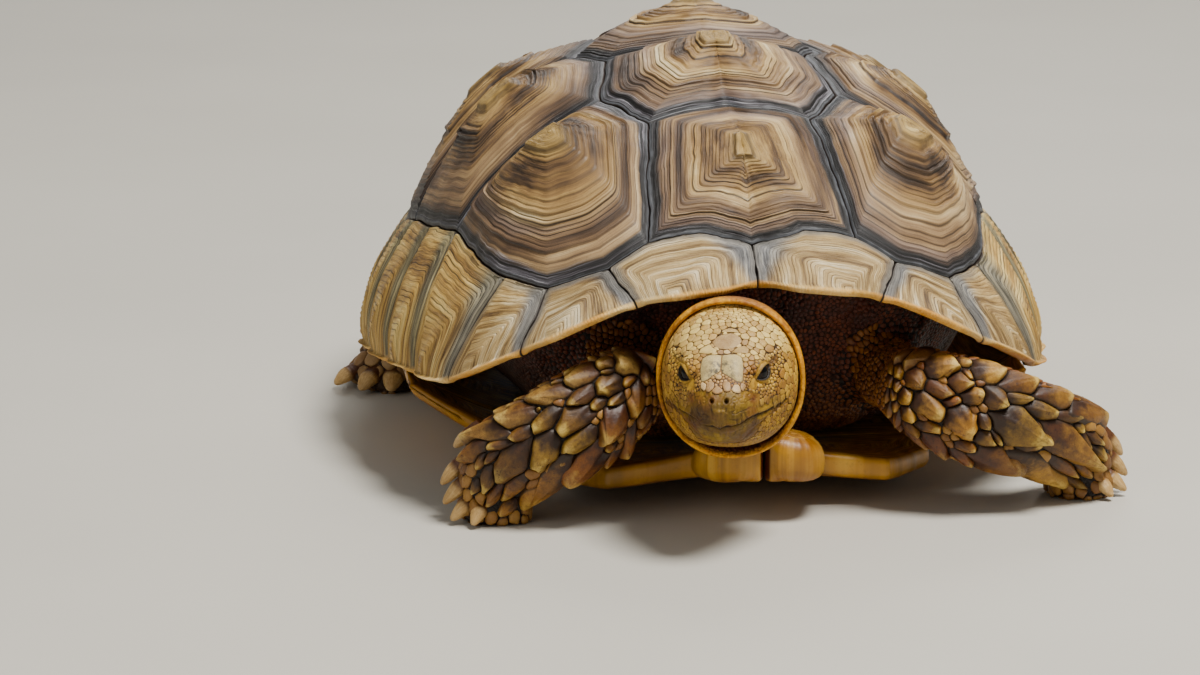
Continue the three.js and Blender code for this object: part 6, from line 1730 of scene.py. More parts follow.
# root x, y, z, tip x, y, z, half width, kind
FORE = {
"left": [
    (92, -219, 101, 83, -224, 95, 3.3, "t"), (102, -222, 101, 87, -229, 92, 4.6, "t"), (100, -233, 92, 119, -236, 92, 7.0, "T"), (119, -230, 97, 128, -234, 94, 3.3, "t"),
    (128, -236, 92, 150, -236, 86, 7.0, "T"), (145, -239, 85, 172, -231, 83, 6.4, "T"), (170, -232, 76, 194, -220, 66, 7.2, "T"), (190, -222, 66, 218, -199, 53, 7.4, "T"), (188, -224, 77, 209, -216, 69, 2.5, "o"),
    (172, -230, 86, 188, -223, 79, 1.8, "o"), (89, -232, 88, 97, -238, 81, 6.2, "T"), (100, -238, 82, 114, -243, 75, 4.6, "T"), (113, -239, 86, 126, -242, 82, 5.5, "T"),
    (121, -245, 74, 135, -244, 77, 4.9, "T"), (134, -243, 78, 148, -244, 67, 6.6, "g"), (147, -243, 74, 163, -239, 71, 3.6, "g"), (161, -241, 66, 181, -233, 60, 5.1, "g"),
    (182, -233, 60, 198, -224, 56, 3.3, "g"), (92, -237, 73, 109, -243, 63, 6.4, "T"), (114, -244, 66, 127, -245, 51, 8.8, "b"), (130, -246, 63, 136, -246, 55, 4.2, "g"),
    (141, -246, 64, 169, -238, 47, 10.1, "g"), (171, -238, 52, 207, -214, 25, 8.3, "T"), (109, -242, 71, 119, -245, 73, 2.9, "o"), (84, -233, 76, 90, -237, 71, 4.9, "y"),
    (84, -233, 65, 92, -237, 58, 4.0, "y"), (93, -237, 56, 106, -241, 54, 3.8, "y"), (86, -232, 55, 96, -234, 48, 3.3, "y"), (97, -236, 49, 113, -234, 35, 4.9, "o"),
    (85, -228, 48, 101, -232, 36, 2.9, "o"), (116, -242, 45, 129, -243, 40, 3.3, "b"), (128, -246, 51, 141, -244, 46, 4.4, "g"), (128, -241, 36, 155, -234, 27, 7.9, "b"),
    (114, -237, 38, 128, -236, 28, 4.0, "o"), (155, -235, 28, 185, -212, 13, 7.5, "T"), (154, -241, 40, 170, -237, 42, 3.1, "g"), (178, -230, 30, 195, -215, 17, 4.4, "b"),
    (195, -220, 25, 205, -211, 15, 3.1, "b"), (190, -215, 16, 201, -209, 9, 2.3, "g"), (84, -226, 93, 83, -231, 85, 3.2, "y"), (82, -230, 83, 82, -232, 76, 2.8, "y"),
    (79, -231, 77, 80, -231, 70, 2.3, "y"), (80, -231, 69, 82, -231, 63, 2.7, "y"), (81, -231, 61, 86, -219, 48, 2.5, "o"), (79, -220, 92, 78, -226, 87, 2.0, "y"),
    (78, -226, 85, 78, -229, 79, 2.0, "y"), (76, -228, 75, 76, -228, 67, 2.0, "y"), (76, -228, 67, 78, -224, 57, 2.1, "y"), (78, -223, 55, 82, -228, 45, 2.3, "o"),
    (195, -227, 52, 198, -225, 45, 2.9, "g"), (203, -221, 43, 212, -214, 36, 2.9, "g"), (206, -218, 35, 215, -210, 25, 3.3, "g"), (142, -230, 23, 153, -233, 20, 2.5, "b"),
    (165, -241, 57, 170, -238, 51, 2.3, "g"), (196, -226, 46, 205, -219, 33, 2.5, "g"), (122, -237, 91, 126, -241, 85, 2.9, "b"), (138, -246, 52, 144, -244, 45, 2.5, "g"),
],
"right": [
    (-66, -223, 102, -80, -233, 97, 7.8, "W"), (-70, -214, 105, -58, -222, 101, 3.5, "o"), (-74, -216, 106, -83, -215, 105, 2.9, "W"), (-83, -215, 105, -90, -218, 103, 2.4, "W"),
    (-83, -228, 102, -94, -232, 98, 4.3, "W"), (-92, -220, 103, -98, -221, 101, 2.6, "W"), (-96, -232, 98, -116, -237, 88, 6.0, "W"), (-111, -237, 89, -138, -233, 77, 6.3, "W"),
    (-129, -238, 77, -157, -227, 64, 6.7, "W"), (-150, -232, 64, -169, -212, 53, 5.6, "W"), (-162, -226, 53, -178, -221, 43, 5.6, "T"), (-158, -215, 70, -175, -209, 59, 2.6, "o"),
    (-80, -237, 90, -95, -242, 84, 6.1, "g"), (-84, -234, 96, -91, -235, 95, 2.2, "g"), (-96, -241, 86, -110, -244, 78, 5.2, "g"), (-89, -243, 81, -99, -245, 74, 3.5, "g"),
    (-78, -239, 81, -87, -243, 76, 3.3, "g"), (-70, -233, 91, -78, -238, 87, 2.7, "b"), (-67, -233, 86, -72, -239, 68, 5.2, "b"), (-61, -224, 97, -64, -232, 86, 3.3, "b"),
    (-99, -245, 74, -118, -246, 60, 7.5, "g"), (-119, -243, 74, -133, -242, 62, 5.4, "g"), (-134, -241, 63, -146, -237, 55, 4.3, "c"), (-144, -238, 54, -159, -231, 50, 2.9, "c"),
    (-80, -241, 73, -90, -244, 55, 8.6, "b"), (-96, -246, 63, -114, -246, 49, 6.3, "g"), (-121, -246, 59, -131, -242, 39, 7.1, "g"), (-137, -242, 51, -156, -230, 29, 7.6, "g"),
    (-61, -233, 69, -68, -236, 59, 4.1, "b"), (-71, -238, 60, -74, -233, 42, 3.9, "o"), (-90, -243, 48, -107, -244, 27, 8.0, "o"), (-80, -237, 45, -85, -236, 33, 3.1, "o"),
    (-57, -228, 63, -67, -242, 48, 2.7, "o"), (-111, -242, 35, -132, -221, 14, 6.9, "b"), (-137, -236, 30, -147, -227, 17, 3.9, "b"), (-155, -233, 38, -160, -227, 21, 3.9, "g"),
    (-150, -229, 24, -157, -226, 14, 3.3, "b"), (-141, -226, 15, -149, -225, 9, 2.9, "b"), (-82, -242, 52, -90, -243, 47, 3.7, "b"), (-110, -246, 47, -116, -243, 40, 3.3, "b"),
    (-162, -230, 45, -164, -227, 37, 2.7, "c"), (-153, -235, 47, -160, -230, 40, 2.6, "c"), (-163, -227, 27, -166, -224, 20, 2.6, "g"), (-132, -239, 74, -128, -240, 76, 2.0, "g"),
    (-106, -222, 99, -114, -228, 96, 2.6, "W"), (-117, -233, 97, -125, -234, 92, 2.2, "W"), (-127, -224, 89, -133, -223, 83, 2.2, "W"),
    (-137, -222, 85, -145, -219, 80, 2.2, "W"), (-145, -219, 80, -157, -215, 72, 2.4, "W"), (-138, -223, 79, -147, -223, 73, 2.6, "W"), (-122, -225, 90, -132, -223, 84, 2.0, "W"),
],
}
fore_items, fore_fixed = {}, {}
for word in ("left", "right"):
    items, fixed = [], []
    for x0, y0, z0, x1, y1, z1, w, kind in FORE[word]:
        tint_, gloss = KINDS[kind]
        root, tip = np.array([x0, y0, z0], float), np.array([x1, y1, z1], float)
        long_ = np.linalg.norm(tip - root)
        items.append((root - (tip - root) * 0.10, tip + (tip - root) * 0.02, w * 1.1, 1.5 + 0.62 * min(w, long_ * 0.6), rgb(tint_), gloss))
        steps = max(1, int(round(long_ / max(w, 1) * 0.9)))
        got = [body_snap.find_nearest(root + (tip - root) * t)[0] for t in (np.arange(steps) + 0.5) / steps]
        fixed += [(tuple(g), w * 1.0) for g in got]
    fore_items[word], fore_fixed[word] = items, fixed


def leg_size(P, N, lab, share):
    """Radii of the small scales over the legs and tail."""
    r = np.full(len(P), np.nan)
    fore = lab < 2
    front = -N[:, 1]
    rf = 2.6 + 1.2 * smooth(0.45, 0.7, share) + 0.9 * smooth(0.0, -0.6, front)
    rf = np.where(share < 0.30, 1.7, rf)
    r = np.where(fore & (share > 0.12), rf, r)
    hind = (lab == 2) | (lab == 3)
    r = np.where(hind & (share > 0.05), 4.3 + 1.6 * smooth(0.3, 0.8, share), r)
    r = np.where((lab == 4) & (share > 0.1), 3.4 - 1.5 * share, r)
    r = np.where((lab < 4) & (N[:, 2] < -0.6) & (P[:, 2] < 12), 3.6, r)
    return r


def limb_tint(X, N, lab, share):
    n = noise(X * 0.06, 83, 2)
    c = np.broadcast_to(rgb("#9d7d4f"), X.shape).copy()
    up = smooth(0.2, 0.8, N[:, 2])[:, None]
    c = c * (1 - up) + rgb("#966a42") * up
    hind = ((lab >= 2) & (lab <= 4))[:, None]
    c = np.where(hind, rgb("#9c8566"), c)
    dark = (0.6 * smooth(0.0, 0.6, n))[:, None]
    c = c * (1 - dark) + rgb("#6e5236") * dark
    inner = (smooth(0.42, 0.28, share) * (lab < 2))[:, None]
    return c * (1 - inner) + rgb("#8a5f2c") * inner


for word, labs in (("left", (1, 3)), ("right", (0, 2))):
    b = Build()
    for lab_i in labs:
        pick = np.nonzero(face_lab == lab_i)[0]
        X, Nn, uv, r, lab, share, way = spread(pick, leg_size, 20 + lab_i, 9000, 1.62, fore_fixed[word] if lab_i < 2 else ())
        side_ = np.array([1.0 if word == "left" else -1.0, 0, 0])
        down = unit(way + 0.35 * np.array([0, 0, -1.0]) + 0.25 * side_)
        ghosts = None
        if lab_i < 2:
            big = Build()
            wedges(big, fore_items[word], (X, r), seed=3 if word == "left" else 4)
            big.mesh(f"scales_foreleg_{word}", LEG, "skin")
            ghosts = (np.array([p for p, _ in fore_fixed[word]]), np.array([q for _, q in fore_fixed[word]]))
        lay(b, body_snap, X, Nn, uv, r, down, np.where(lab_i < 2, 0.42, 0.36) * r + 0.5, 0.08, 1.3 if lab_i < 2 else 1.2, 14, "dome", 1.3, 0.2, limb_tint(X, Nn, lab, share), tone=0.15, near=12,
            tilt=np.where(share > 0.3, 0.7, 0.3) * (Nn[:, 2] > -0.6), ghosts=ghosts)
    b.mesh(f"scales_small_{word}", SCALES, "skin")
pick = np.nonzero(face_lab == 4)[0]
X, Nn, uv, r, lab, share, way = spread(pick, leg_size, 31, 5000, 1.6)
b = Build()
lay(b, body_snap, X, Nn, uv, r, way, 0.4 * r + 0.4, 0.2, 1.25, 12, "dome", 1.2, 0.7, limb_tint(X, Nn, lab, share), near=10, tilt=0.45)
b.mesh("scales_tail", SCALES, "skin")


def soft_size(P, N, lab, share):
    """Radii of the granules over the neck, shoulders and thighs."""
    r = np.where(lab > 4, 1.3, np.nan)
    r = np.where((lab < 2) & (share <= 0.14), 1.6, r)
    seen = (P[:, 1] < -140) | (P[:, 1] > 150)
    seen &= (P[:, 2] > 30) & (P[:, 2] < 128)
    r = np.where(P[:, 1] > 150, r * 2.0, r)
    return np.where(seen, r, np.nan)


pick = np.nonzero((face_lab > 4) | (face_lab < 2))[0]
X, Nn, uv, r, lab, share, way = spread(pick, soft_size, 41, 36000, 1.66)
n_ = noise(X * 0.07, 85, 2)
tone_ = smooth(-0.5, 0.5, n_)[:, None]
soft_tint = rgb("#461d0d") * (1 - tone_) + rgb("#683617") * tone_
lowz = smooth(85, 45, X[:, 2])[:, None] * 0.6
soft_tint = soft_tint * (1 - lowz) + rgb("#8a5f2a") * lowz
rear_ = smooth(100, 150, X[:, 1])[:, None]
soft_tint = soft_tint * (1 - rear_) + rgb("#7d6448") * rear_
b = Build()
lay(b, body_snap, X, Nn, uv, r, way, 0.34 * r, 0.04, 1.0, 8, "bead", 1.2, 0.9, soft_tint, near=8)
b.mesh("scales_neck", SCALES, "skin")

# ---- claws: blunt horny nails with growth lines ------------------------------------------------------------------------------
CLAWS = {  # root, direction, across, length, half width, half depth
    "front_right": [
        (-168.2, -198.3, 47.8, -0.734, 0.267, -0.625, 0.344, -0.646, -0.681, 13, 4, 4), (-175.2, -202.6, 29.1, -0.704, 0.062, -0.707, 0.552, -0.579, -0.6, 16, 4.6, 4.4),
        (-174, -208.4, 18.9, -0.739, -0.078, -0.669, 0.603, -0.519, -0.606, 16, 4.7, 4.6), (-170.7, -214.2, 9.2, -0.783, -0.349, -0.514, 0.599, -0.643, -0.476, 14, 4.8, 4.4),
        (-162.3, -222.7, 8, -0.5, -0.742, -0.447, 0.83, -0.558, -0.004, 12, 4.8, 4.2),
    ],
    "front_left": [
        (211.8, -185.1, 47.3, 0.734, 0.267, -0.625, -0.215, -0.781, -0.587, 13, 4, 4), (222.7, -188.2, 30.3, 0.704, 0.062, -0.707, -0.531, -0.615, -0.583, 16, 4.6, 4.4),
        (223.9, -192.4, 18.8, 0.739, -0.078, -0.669, -0.617, -0.476, -0.626, 16, 4.7, 4.6), (222.2, -197.7, 9.7, 0.783, -0.349, -0.514, -0.599, -0.646, -0.474, 14, 4.8, 4.4),
        (214.4, -205.9, 8.2, 0.5, -0.742, -0.447, -0.836, -0.548, -0.027, 12, 4.8, 4.2),
    ],
    "rear_right": [
        (-213.5, 132, 8.9, -0.887, -0.323, -0.33, 0.383, -0.914, -0.135, 13, 6.2, 5), (-199.8, 117.8, 9, -0.632, -0.701, -0.33, 0.752, -0.657, -0.043, 14, 6.8, 5.2),
        (-183.9, 113.6, 9.4, -0.228, -0.916, -0.33, 0.973, -0.209, -0.094, 14, 6.8, 5.2), (-168.5, 116.1, 7.8, 0.232, -0.929, -0.287, 0.962, 0.262, -0.073, 12, 6, 4.8),
    ],
    "rear_left": [
        (213.5, 132, 8.9, 0.887, -0.323, -0.33, -0.383, -0.914, -0.135, 13, 6.2, 5), (199.8, 117.8, 9, 0.632, -0.701, -0.33, -0.752, -0.657, -0.043, 14, 6.8, 5.2),
        (183.9, 113.6, 9.4, 0.228, -0.916, -0.33, -0.973, -0.209, -0.094, 14, 6.8, 5.2), (168.5, 116.1, 7.8, -0.232, -0.929, -0.287, -0.962, 0.262, -0.073, 12, 6, 4.8),
    ],
}


def claw_material():
    m = Mat("claw_horn", IOR=1.52)
    pos, far, side_ = m.position(), m.attr("away"), m.attr("phase")
    streak = m.noise(m.join(m.math("MULTIPLY", far, 1.2), m.math("MULTIPLY", side_, 3.0), m.attr("cell")), 4.0, 3, 0.6)
    blot = m.noise(pos, 120, 4, 0.6)
    v = m.math("ADD", m.math("MULTIPLY", streak, 0.6), m.math("MULTIPLY", blot, 0.4))
    col = m.ramp(v, [(0.3, "#8a6a44"), (0.5, "#b3956a"), (0.7, "#d2ba92")])
    col = m.mix(m.fade(far, 0.35, 0.0), col, m.mix(1.0, col, "#6d4f33", "MULTIPLY"))
    col = m.mix(m.math("MULTIPLY", m.fade(m.noise(pos, 60, 3), 0.55, 0.75), 0.5), col, "#5c432b")
    n = m.bump(m.math("ADD", streak, m.math("MULTIPLY", m.noise(pos, 500, 2), 0.4)), 0.0004, 0.8)
    return m.set(Base_Color=col, Roughness=m.math("ADD", 0.32, m.math("MULTIPLY", blot, 0.25)), Normal=n)


CLAW = claw_material()


def claw(name, row, k):
    root, d, ac = np.array(row[:3]), unit(np.array(row[3:6])), unit(np.array(row[6:9]))
    length, w, dp = row[9:12]
    nrm = np.cross(d, ac)
    up = -nrm if nrm @ (unit(d * [1, 1, 0]) * 1.0 + [0, 0, 0.4]) < 0 else nrm
    cols, rows = 32, 40
    f = np.linspace(-0.75, 1.0, rows)
    th = 2 * np.pi * np.arange(cols) / cols
    tipf = smooth(0.1, 1.0, f)
    size = np.where(f < 0.1, 1.0, np.sqrt(np.clip(1 - (np.clip((f - 0.1) / 0.9, 0, 1)) ** 2.4, 0, 1)) * (1 - 0.22 * tipf) + 0.0)
    size = np.maximum(size, 0.0)
    bend = -0.36 * dp * tipf**1.5
    e = 2.3
    cx, cy = power(np.cos(th), e), power(np.sin(th), e)
    flat = np.where(cy < 0, 0.72, 1.0)
    ring = 1 + 0.018 * np.sin(f * 34 + k)[:, None] + 0.03 * noise(xyz(np.cos(th)[None] * 1.5, np.sin(th)[None] * 1.5, f[:, None] * 4 + k * 7), 95)
    ridge = 1 + 0.022 * np.cos(th * 9 + k)[None] * smooth(-0.2, 0.6, f)[:, None]
    P = root + d * ((f - 0.35) * length)[:, None, None] + up * bend[:, None, None] + (ac * (w * size[:, None] * cx * ring * ridge)[..., None] + up * (dp * size[:, None] * cy * flat * ring)[..., None])
    P[..., 2] = np.maximum(P[..., 2], 0.15)
    V = np.concatenate([P.reshape(-1, 3), P[0].mean(0)[None], P[-1].mean(0)[None]])
    g = grid(rows, cols, wrap=True)
    n = rows * cols
    i = np.arange(cols)
    caps = [np.stack([i, (i + 1) % cols, np.full(cols, n)], -1)[:, ::-1], np.stack([(rows - 1) * cols + i, (rows - 1) * cols + (i + 1) % cols, np.full(cols, n + 1)], -1)]
    faces = [g, *caps]
    if np.cross(P[5, 1] - P[5, 0], P[6, 0] - P[5, 0]) @ (P[5, 0] - P[5].mean(0)) < 0:
        faces = [q[:, ::-1] for q in faces]
    F = np.append(np.broadcast_to(f[:, None], P.shape[:2]).reshape(-1), [-0.75, 1.0])
    T = np.append(np.broadcast_to(np.sin(th / 2)[None] * 2, P.shape[:2]).reshape(-1), [0, 0])
    uv = np.stack([0.05 + 0.9 * np.append(np.broadcast_to(i / cols, P.shape[:2]).reshape(-1), [0, 0]), 0.05 + 0.9 * (F + 0.75) / 1.75], -1)
    b = Build()
    b.add(V, faces, uv=uv, away=F, phase=T, cell=np.full(len(V), k * 1.7))
    b.mesh("nail_" + name, CLAW, "claw", ["claw_" + name])


for prefix, rows_ in CLAWS.items():
    for k, row in enumerate(rows_):
        claw(f"{prefix}_{k + 1}", row, k + len(prefix))

# ---- plastron and gular: flat horny plates with growth lines, paired across the midline -----------------------------------------
BELLY_Z, BELLY_T, BRIDGE_X, BRIDGE_RISE, LOBE_RISE = 12.0, 12.0, 190.0, 38.0, 12.0
LOBE = np.array([[-206, 84], [-196, 101], [-170, 114], [-135, 121], [-100, 124], [0, 124], [80, 122], [120, 117], [160, 106], [190, 88], [204, 62]], float)


def plastron_half(y):
    y = np.asarray(y, float)
    lobe = through(LOBE[:, 0], LOBE[:, 1], y)
    k = np.clip((y + 118) / 26, 0, 1) * np.clip((84 - y) / 24, 0, 1)
    return lobe + k * k * (3 - 2 * k) * (BRIDGE_X - lobe)


def belly_low(x, y):
    out = np.maximum(0, (np.abs(x) - 112) / (BRIDGE_X - 112))
    front = np.maximum(0, (-y - 120) / 86)
    return BELLY_Z + BRIDGE_RISE * out**1.35 + LOBE_RISE * front * front * np.exp(-((x / 72) ** 2))


def belly_high(x, y):
    return belly_low(x, y) + BELLY_T - 4 * np.maximum(0, (np.abs(x) - 124) / (BRIDGE_X - 124)) + 3 * np.maximum(0, (-y - 120) / 86)


def plate(build, corners, focus, low, high, face, rise, rings, ident, uv_box, around=130, rows=44, wob=1.2, soft=4.5, seam_x=None, seams_y=()):
    """A flat-laid horny plate inside a loop of (x, y) corners. face -1 shows its underside, 1 its top."""
    c = np.array(corners, float)
    nxt = np.roll(c, -1, 0)
    ln = np.linalg.norm(nxt - c, axis=1)
    cnt = np.maximum(3, np.round(around * ln / ln.sum()).astype(int))
    edge = np.concatenate([a + (b - a) * (np.arange(k) / k)[:, None] for a, b, k in zip(c, nxt, cnt)])
    shift = np.stack([noise(xyz(edge[:, 0] / 13, edge[:, 1] / 13, 0.5), 101) + 0.4 * noise(xyz(edge[:, 0] / 4, edge[:, 1] / 4, 0.5), 103),
                      noise(xyz(edge[:, 0] / 13, edge[:, 1] / 13, 9.5), 102) + 0.4 * noise(xyz(edge[:, 0] / 4, edge[:, 1] / 4, 3.5), 104)], -1) * wob
    edge = edge + shift
    at_seam = np.zeros(len(edge), bool)
    if seam_x is not None:
        at_seam |= np.abs(edge[:, 0] - seam_x) < 3.0
    for y_ in seams_y:
        at_seam |= np.abs(edge[:, 1] - y_) < 3.0
    free = 1.0 - at_seam
    for _ in range(6):
        free = 0.25 * np.roll(free, 1) + 0.5 * free + 0.25 * np.roll(free, -1)
    f = np.array(focus, float)
    ray = edge - f
    reach = np.linalg.norm(ray, axis=1)
    S = np.linspace(0, 1, rows) ** 0.9
    table = [(v, 1.6, 0.0) for v in S[1:]] + [(1, 1.1, 0.25), (1, 0.7, 0.75), (1, 0.42, 1.6), (1, 0.35, 3.0)]
    back = [(1, 0.35, 3.0), (1, 0.5, 1.4), (1, 0.9, 0.5), (1, 1.6, 0.0), (0.85, 0, 0.0), (0.6, 0, 0.0), (0.3, 0, 0.0)]
    n = len(edge)

    def layer(table_, sign, rise_):
        s = np.array([t[0] for t in table_])[:, None]
        ins = np.array([t[1] for t in table_])[:, None]
        drop = np.array([t[2] for t in table_])[:, None]
        turn_ = np.clip((np.arange(len(table_)) - (len(S) - 2)) / 4.0, 0, 1) * np.pi / 2 if table_ is table else np.clip(1 - np.arange(len(table_)) / 4.0, 0, 1) * np.pi / 2
        r_out = soft * free[None]
        ins = ins * (1 - free[None]) + free[None] * (0.1 + r_out * (1 - np.sin(turn_))[:, None])
        drop = drop * (1 - free[None]) + free[None] * r_out * (1 - np.cos(turn_))[:, None]
        p = f + ray[None] * (s * (1 - ins / np.maximum(reach, 3)))[..., None]
        ang = np.arctan2(ray[:, 1], ray[:, 0])[None]
        phase = rings * s**1.1 + 0.45 * noise(xyz(np.cos(ang) * 1.4, np.sin(ang) * 1.4, s * 4 + ident * 3.7), 105)
        z0 = low(p[..., 0], p[..., 1]) if sign < 0 else high(p[..., 0], p[..., 1])
        z = z0 + sign * (rise_ * (1 - s**2) + ring_relief(phase, 0.28) * smooth(0.03, 0.15, s) - drop - 0.5 * smooth(0.9, 1, s))
        return np.concatenate([p, z[..., None]], -1), phase, s + 0 * ang, reach[None] * (1 - s * (1 - ins / np.maximum(reach, 3))) + 2.2 * free[None]

    A, pa, sa, ra = layer(table, face, rise)
    B, pb, sb, rb = layer(back, -face, rise * 0.1)
    V = np.concatenate([A, B])
    zc = (low if face < 0 else high)(np.array([f[0]]), np.array([f[1]]))[0] + face * rise
    zb = (high if face < 0 else low)(np.array([f[0]]), np.array([f[1]]))[0] - face * rise * 0.1
    flat = np.concatenate([V.reshape(-1, 3), [[f[0], f[1], zc], [f[0], f[1], zb]]])
    R_ = len(V)
    i = np.arange(n)
    faces = [grid(R_, n, wrap=True), np.stack([(i + 1) % n, i, np.full(n, R_ * n)], -1), np.stack([(R_ - 1) * n + i, (R_ - 1) * n + (i + 1) % n, np.full(n, R_ * n + 1)], -1)]
    area2 = np.sum(edge[:, 0] * np.roll(edge[:, 1], -1) - np.roll(edge[:, 0], -1) * edge[:, 1])
    if (area2 > 0) == (face > 0):
        pass
    else:
        faces = [q[:, ::-1] for q in faces]
    pad = lambda a, b, e: np.append(np.concatenate([a, b]).reshape(-1), e)
    x0, y0, w, h = uv_box
    lo, hi = edge.min(0), edge.max(0)
    uva = (A[..., :2] - lo) / (hi - lo)
    uvb = (B[..., :2] - lo) / (hi - lo)
    uv = np.concatenate([np.stack([x0 + w * (0.02 + 0.46 * uva[..., 0]), y0 + h * (0.03 + 0.94 * uva[..., 1])], -1).reshape(-1, 2), np.stack([x0 + w * (0.52 + 0.46 * uvb[..., 0]), y0 + h * (0.03 + 0.94 * uvb[..., 1])], -1).reshape(-1, 2), [[x0 + w * 0.25, y0 + h * 0.5], [x0 + w * 0.75, y0 + h * 0.5]]])
    ang = np.arctan2(ray[:, 1], ray[:, 0])
    turn = np.stack([np.append(np.broadcast_to(np.cos(ang), (R_, n)).reshape(-1), [0, 0]), np.append(np.broadcast_to(np.sin(ang), (R_, n)).reshape(-1), [0, 0]), np.full(R_ * n + 2, ident * 1.3)], -1)
    build.add(flat, faces, uv=uv, phase=pad(pa, pb, [0, 0]), age=pad(sa, sb, [0, 0]), rim=pad(ra, rb, [9, 9]), ident=np.full(R_ * n + 2, float(ident)), turn=turn)


def belly_material():
    m = Mat("horn_belly", IOR=1.5)
    phase, age, rim, ident = m.attr("phase"), m.attr("age"), m.attr("rim"), m.attr("ident")
    turn, pos = m.attr("turn", True), m.position()
    tx, ty, tz = m.split(turn)
    streak = m.noise(m.join(m.math("MULTIPLY", phase, 0.7), m.math("MULTIPLY", tx, 1.1), m.math("ADD", m.math("MULTIPLY", ty, 1.1), m.math("MULTIPLY", tz, 5.0))), 1.6, 3, 0.6)
    thin = m.noise(m.join(m.math("MULTIPLY", phase, 3.0), m.math("MULTIPLY", tx, 2.2), m.math("ADD", m.math("MULTIPLY", ty, 2.2), tz)), 1.5, 3, 0.6)
    blot = m.noise(pos, 20, 4, 0.6)
    grain = m.noise(pos, 380, 3, 0.6)
    v = m.math("ADD", m.math("MULTIPLY", streak, 0.45), m.math("ADD", m.math("MULTIPLY", thin, 0.25), m.math("MULTIPLY", blot, 0.3)))
    col = m.ramp(v, [(0.34, "#4f3012"), (0.44, "#83591f"), (0.52, "#ac7d36"), (0.62, "#d6b06a"), (0.72, "#ecd6a2")])
    f = m.math("FRACT", phase)
    tri = m.math("ABSOLUTE", m.math("SUBTRACT", m.math("MULTIPLY", f, 2.0), 1.0))
    col = m.mix(m.math("MULTIPLY", m.fade(tri, 0.6, 1.0), 0.45), col, m.mix(1.0, col, "#8a6238", "MULTIPLY"))
    # paler toward the plates' edges: partly the horn's own paler rim, partly a painted highlight on the rounded edges
    col = m.mix(m.math("MULTIPLY", m.fade(rim, 6.0, 2.0), 0.28), col, "#cfa75c")
    col = m.mix(m.fade(rim, 1.3, 0.6), col, "#4a2414")
    col = m.mix(m.math("MULTIPLY", m.fade(m.noise(pos, 9, 4, 0.65), 0.52, 0.7), 0.5), col, m.mix(1.0, col, "#8f7048", "MULTIPLY"))
    col = m.mix(m.math("MULTIPLY", m.fade(grain, 0.55, 0.7), 0.2), col, "#5f4424")
    n = m.bump(m.math("ADD", m.math("MULTIPLY", tri, -0.4), m.math("ADD", thin, m.math("MULTIPLY", grain, 0.3))), 0.0004, 0.8)
    return m.set(Base_Color=col, Roughness=m.math("ADD", 0.28, m.math("MULTIPLY", blot, 0.25)), Normal=n)


BELLY = belly_material()


def side_edge(y0, y1, count, side):
    ys = np.linspace(y0, y1, count)
    return [(side * float(plastron_half(y)), float(y)) for y in ys]


BELLY_RUNS = {
    "plastron_front": [(-205.7, -122, 3), (-122, -62.4, 3)],
    "plastron_middle": [(-61.6, 73.6, 9)],
    "plastron_rear": [(74.4, 138, 4), (138, 203.6, 4)],
}
ident = 120
for node, runs in BELLY_RUNS.items():
    b = Build()
    k = 0
    for y0, y1, cnt in runs:
        for side in (1, -1):
            ident += 1
            mid = 0.25
            if y1 > 200:
                inner = [(side * mid, y0), (side * mid, y1 - 26)]
                outer = side_edge(y0, y1, 6, side)
                tailc = [(side * float(plastron_half(y1)) * 0.5, y1 - 3), (side * 14, y1 - 12)]
                ring = [inner[0]] + outer + tailc + [inner[1]]
            else:
                ring = [(side * mid, y0)] + side_edge(y0, y1, cnt, side) + [(side * mid, y1)]
            half = float(plastron_half((y0 + y1) / 2))
            plate(b, ring, (side * half * 0.62, (y0 + y1) / 2), belly_low, belly_high, -1, 0.9, 16, ident, ((k % 2) * 0.5, (k // 2) * 0.5, 0.5, 0.5), around=150, rows=40, seam_x=side * mid, seams_y=[v for v in (y0, y1) if -200 < v < 200])
            k += 1
    b.mesh("horn_" + node, BELLY, "belly_scute", [node])

GULAR_X, GULAR_HALF, GULAR_UP = 5.0, 40.0, 15.0
b = Build()
for side in (1, -1):
    out_v = [(0.06, -236.5), (0.2, -239.5), (0.35, -241), (0.6, -240.2), (0.78, -238), (0.92, -231.5), (0.98, -224), (1.0, -214), (1.0, -206.4)]
    ring = [(GULAR_X + side * 0.3, -206.4)] + [(GULAR_X + side * GULAR_HALF * v * (1 - 0.12 * (-206 - y) / 35), y) for v, y in out_v[::-1]] + [(GULAR_X + side * 0.4, -233.0)]
    share_out = lambda x, y: np.clip((-206 - y) / 35, 0, 1)
    g_low = lambda x, y: belly_low(x, -206 + 0 * y) + 2 * share_out(x, y)

    def g_high(x, y):
        edge_ = np.clip(1 - ((x - GULAR_X) / GULAR_HALF) ** 2, 0, 1) ** 0.5 * np.clip(1 - ((y + 222) / 19.5) ** 2, 0, 1) ** 0.35
        return belly_low(x, -206 + 0 * y) + BELLY_T + 3 + 8 * share_out(x, y) ** 0.7 * (1 - edge_) + GULAR_UP * edge_

    plate(b, ring, (GULAR_X + side * 19, -222), g_low, g_high, 1, 1.2, 13, 140 + side, (0.0 if side > 0 else 0.5, 0, 0.5, 1), around=150, rows=44, wob=0.5, soft=8.0, seam_x=GULAR_X + side * 0.35)
b.mesh("horn_gular", BELLY, "belly_scute", ["gular"])

b = Build()
marginal(b, ("v5c", "r11s"), ("-v5c", "-r11s"), 1, 99, (0, 0, 1, 1), focus=0.5, cols=110)
b.mesh("scute_supracaudal", RIM, "rim_scute", ["supracaudal"])


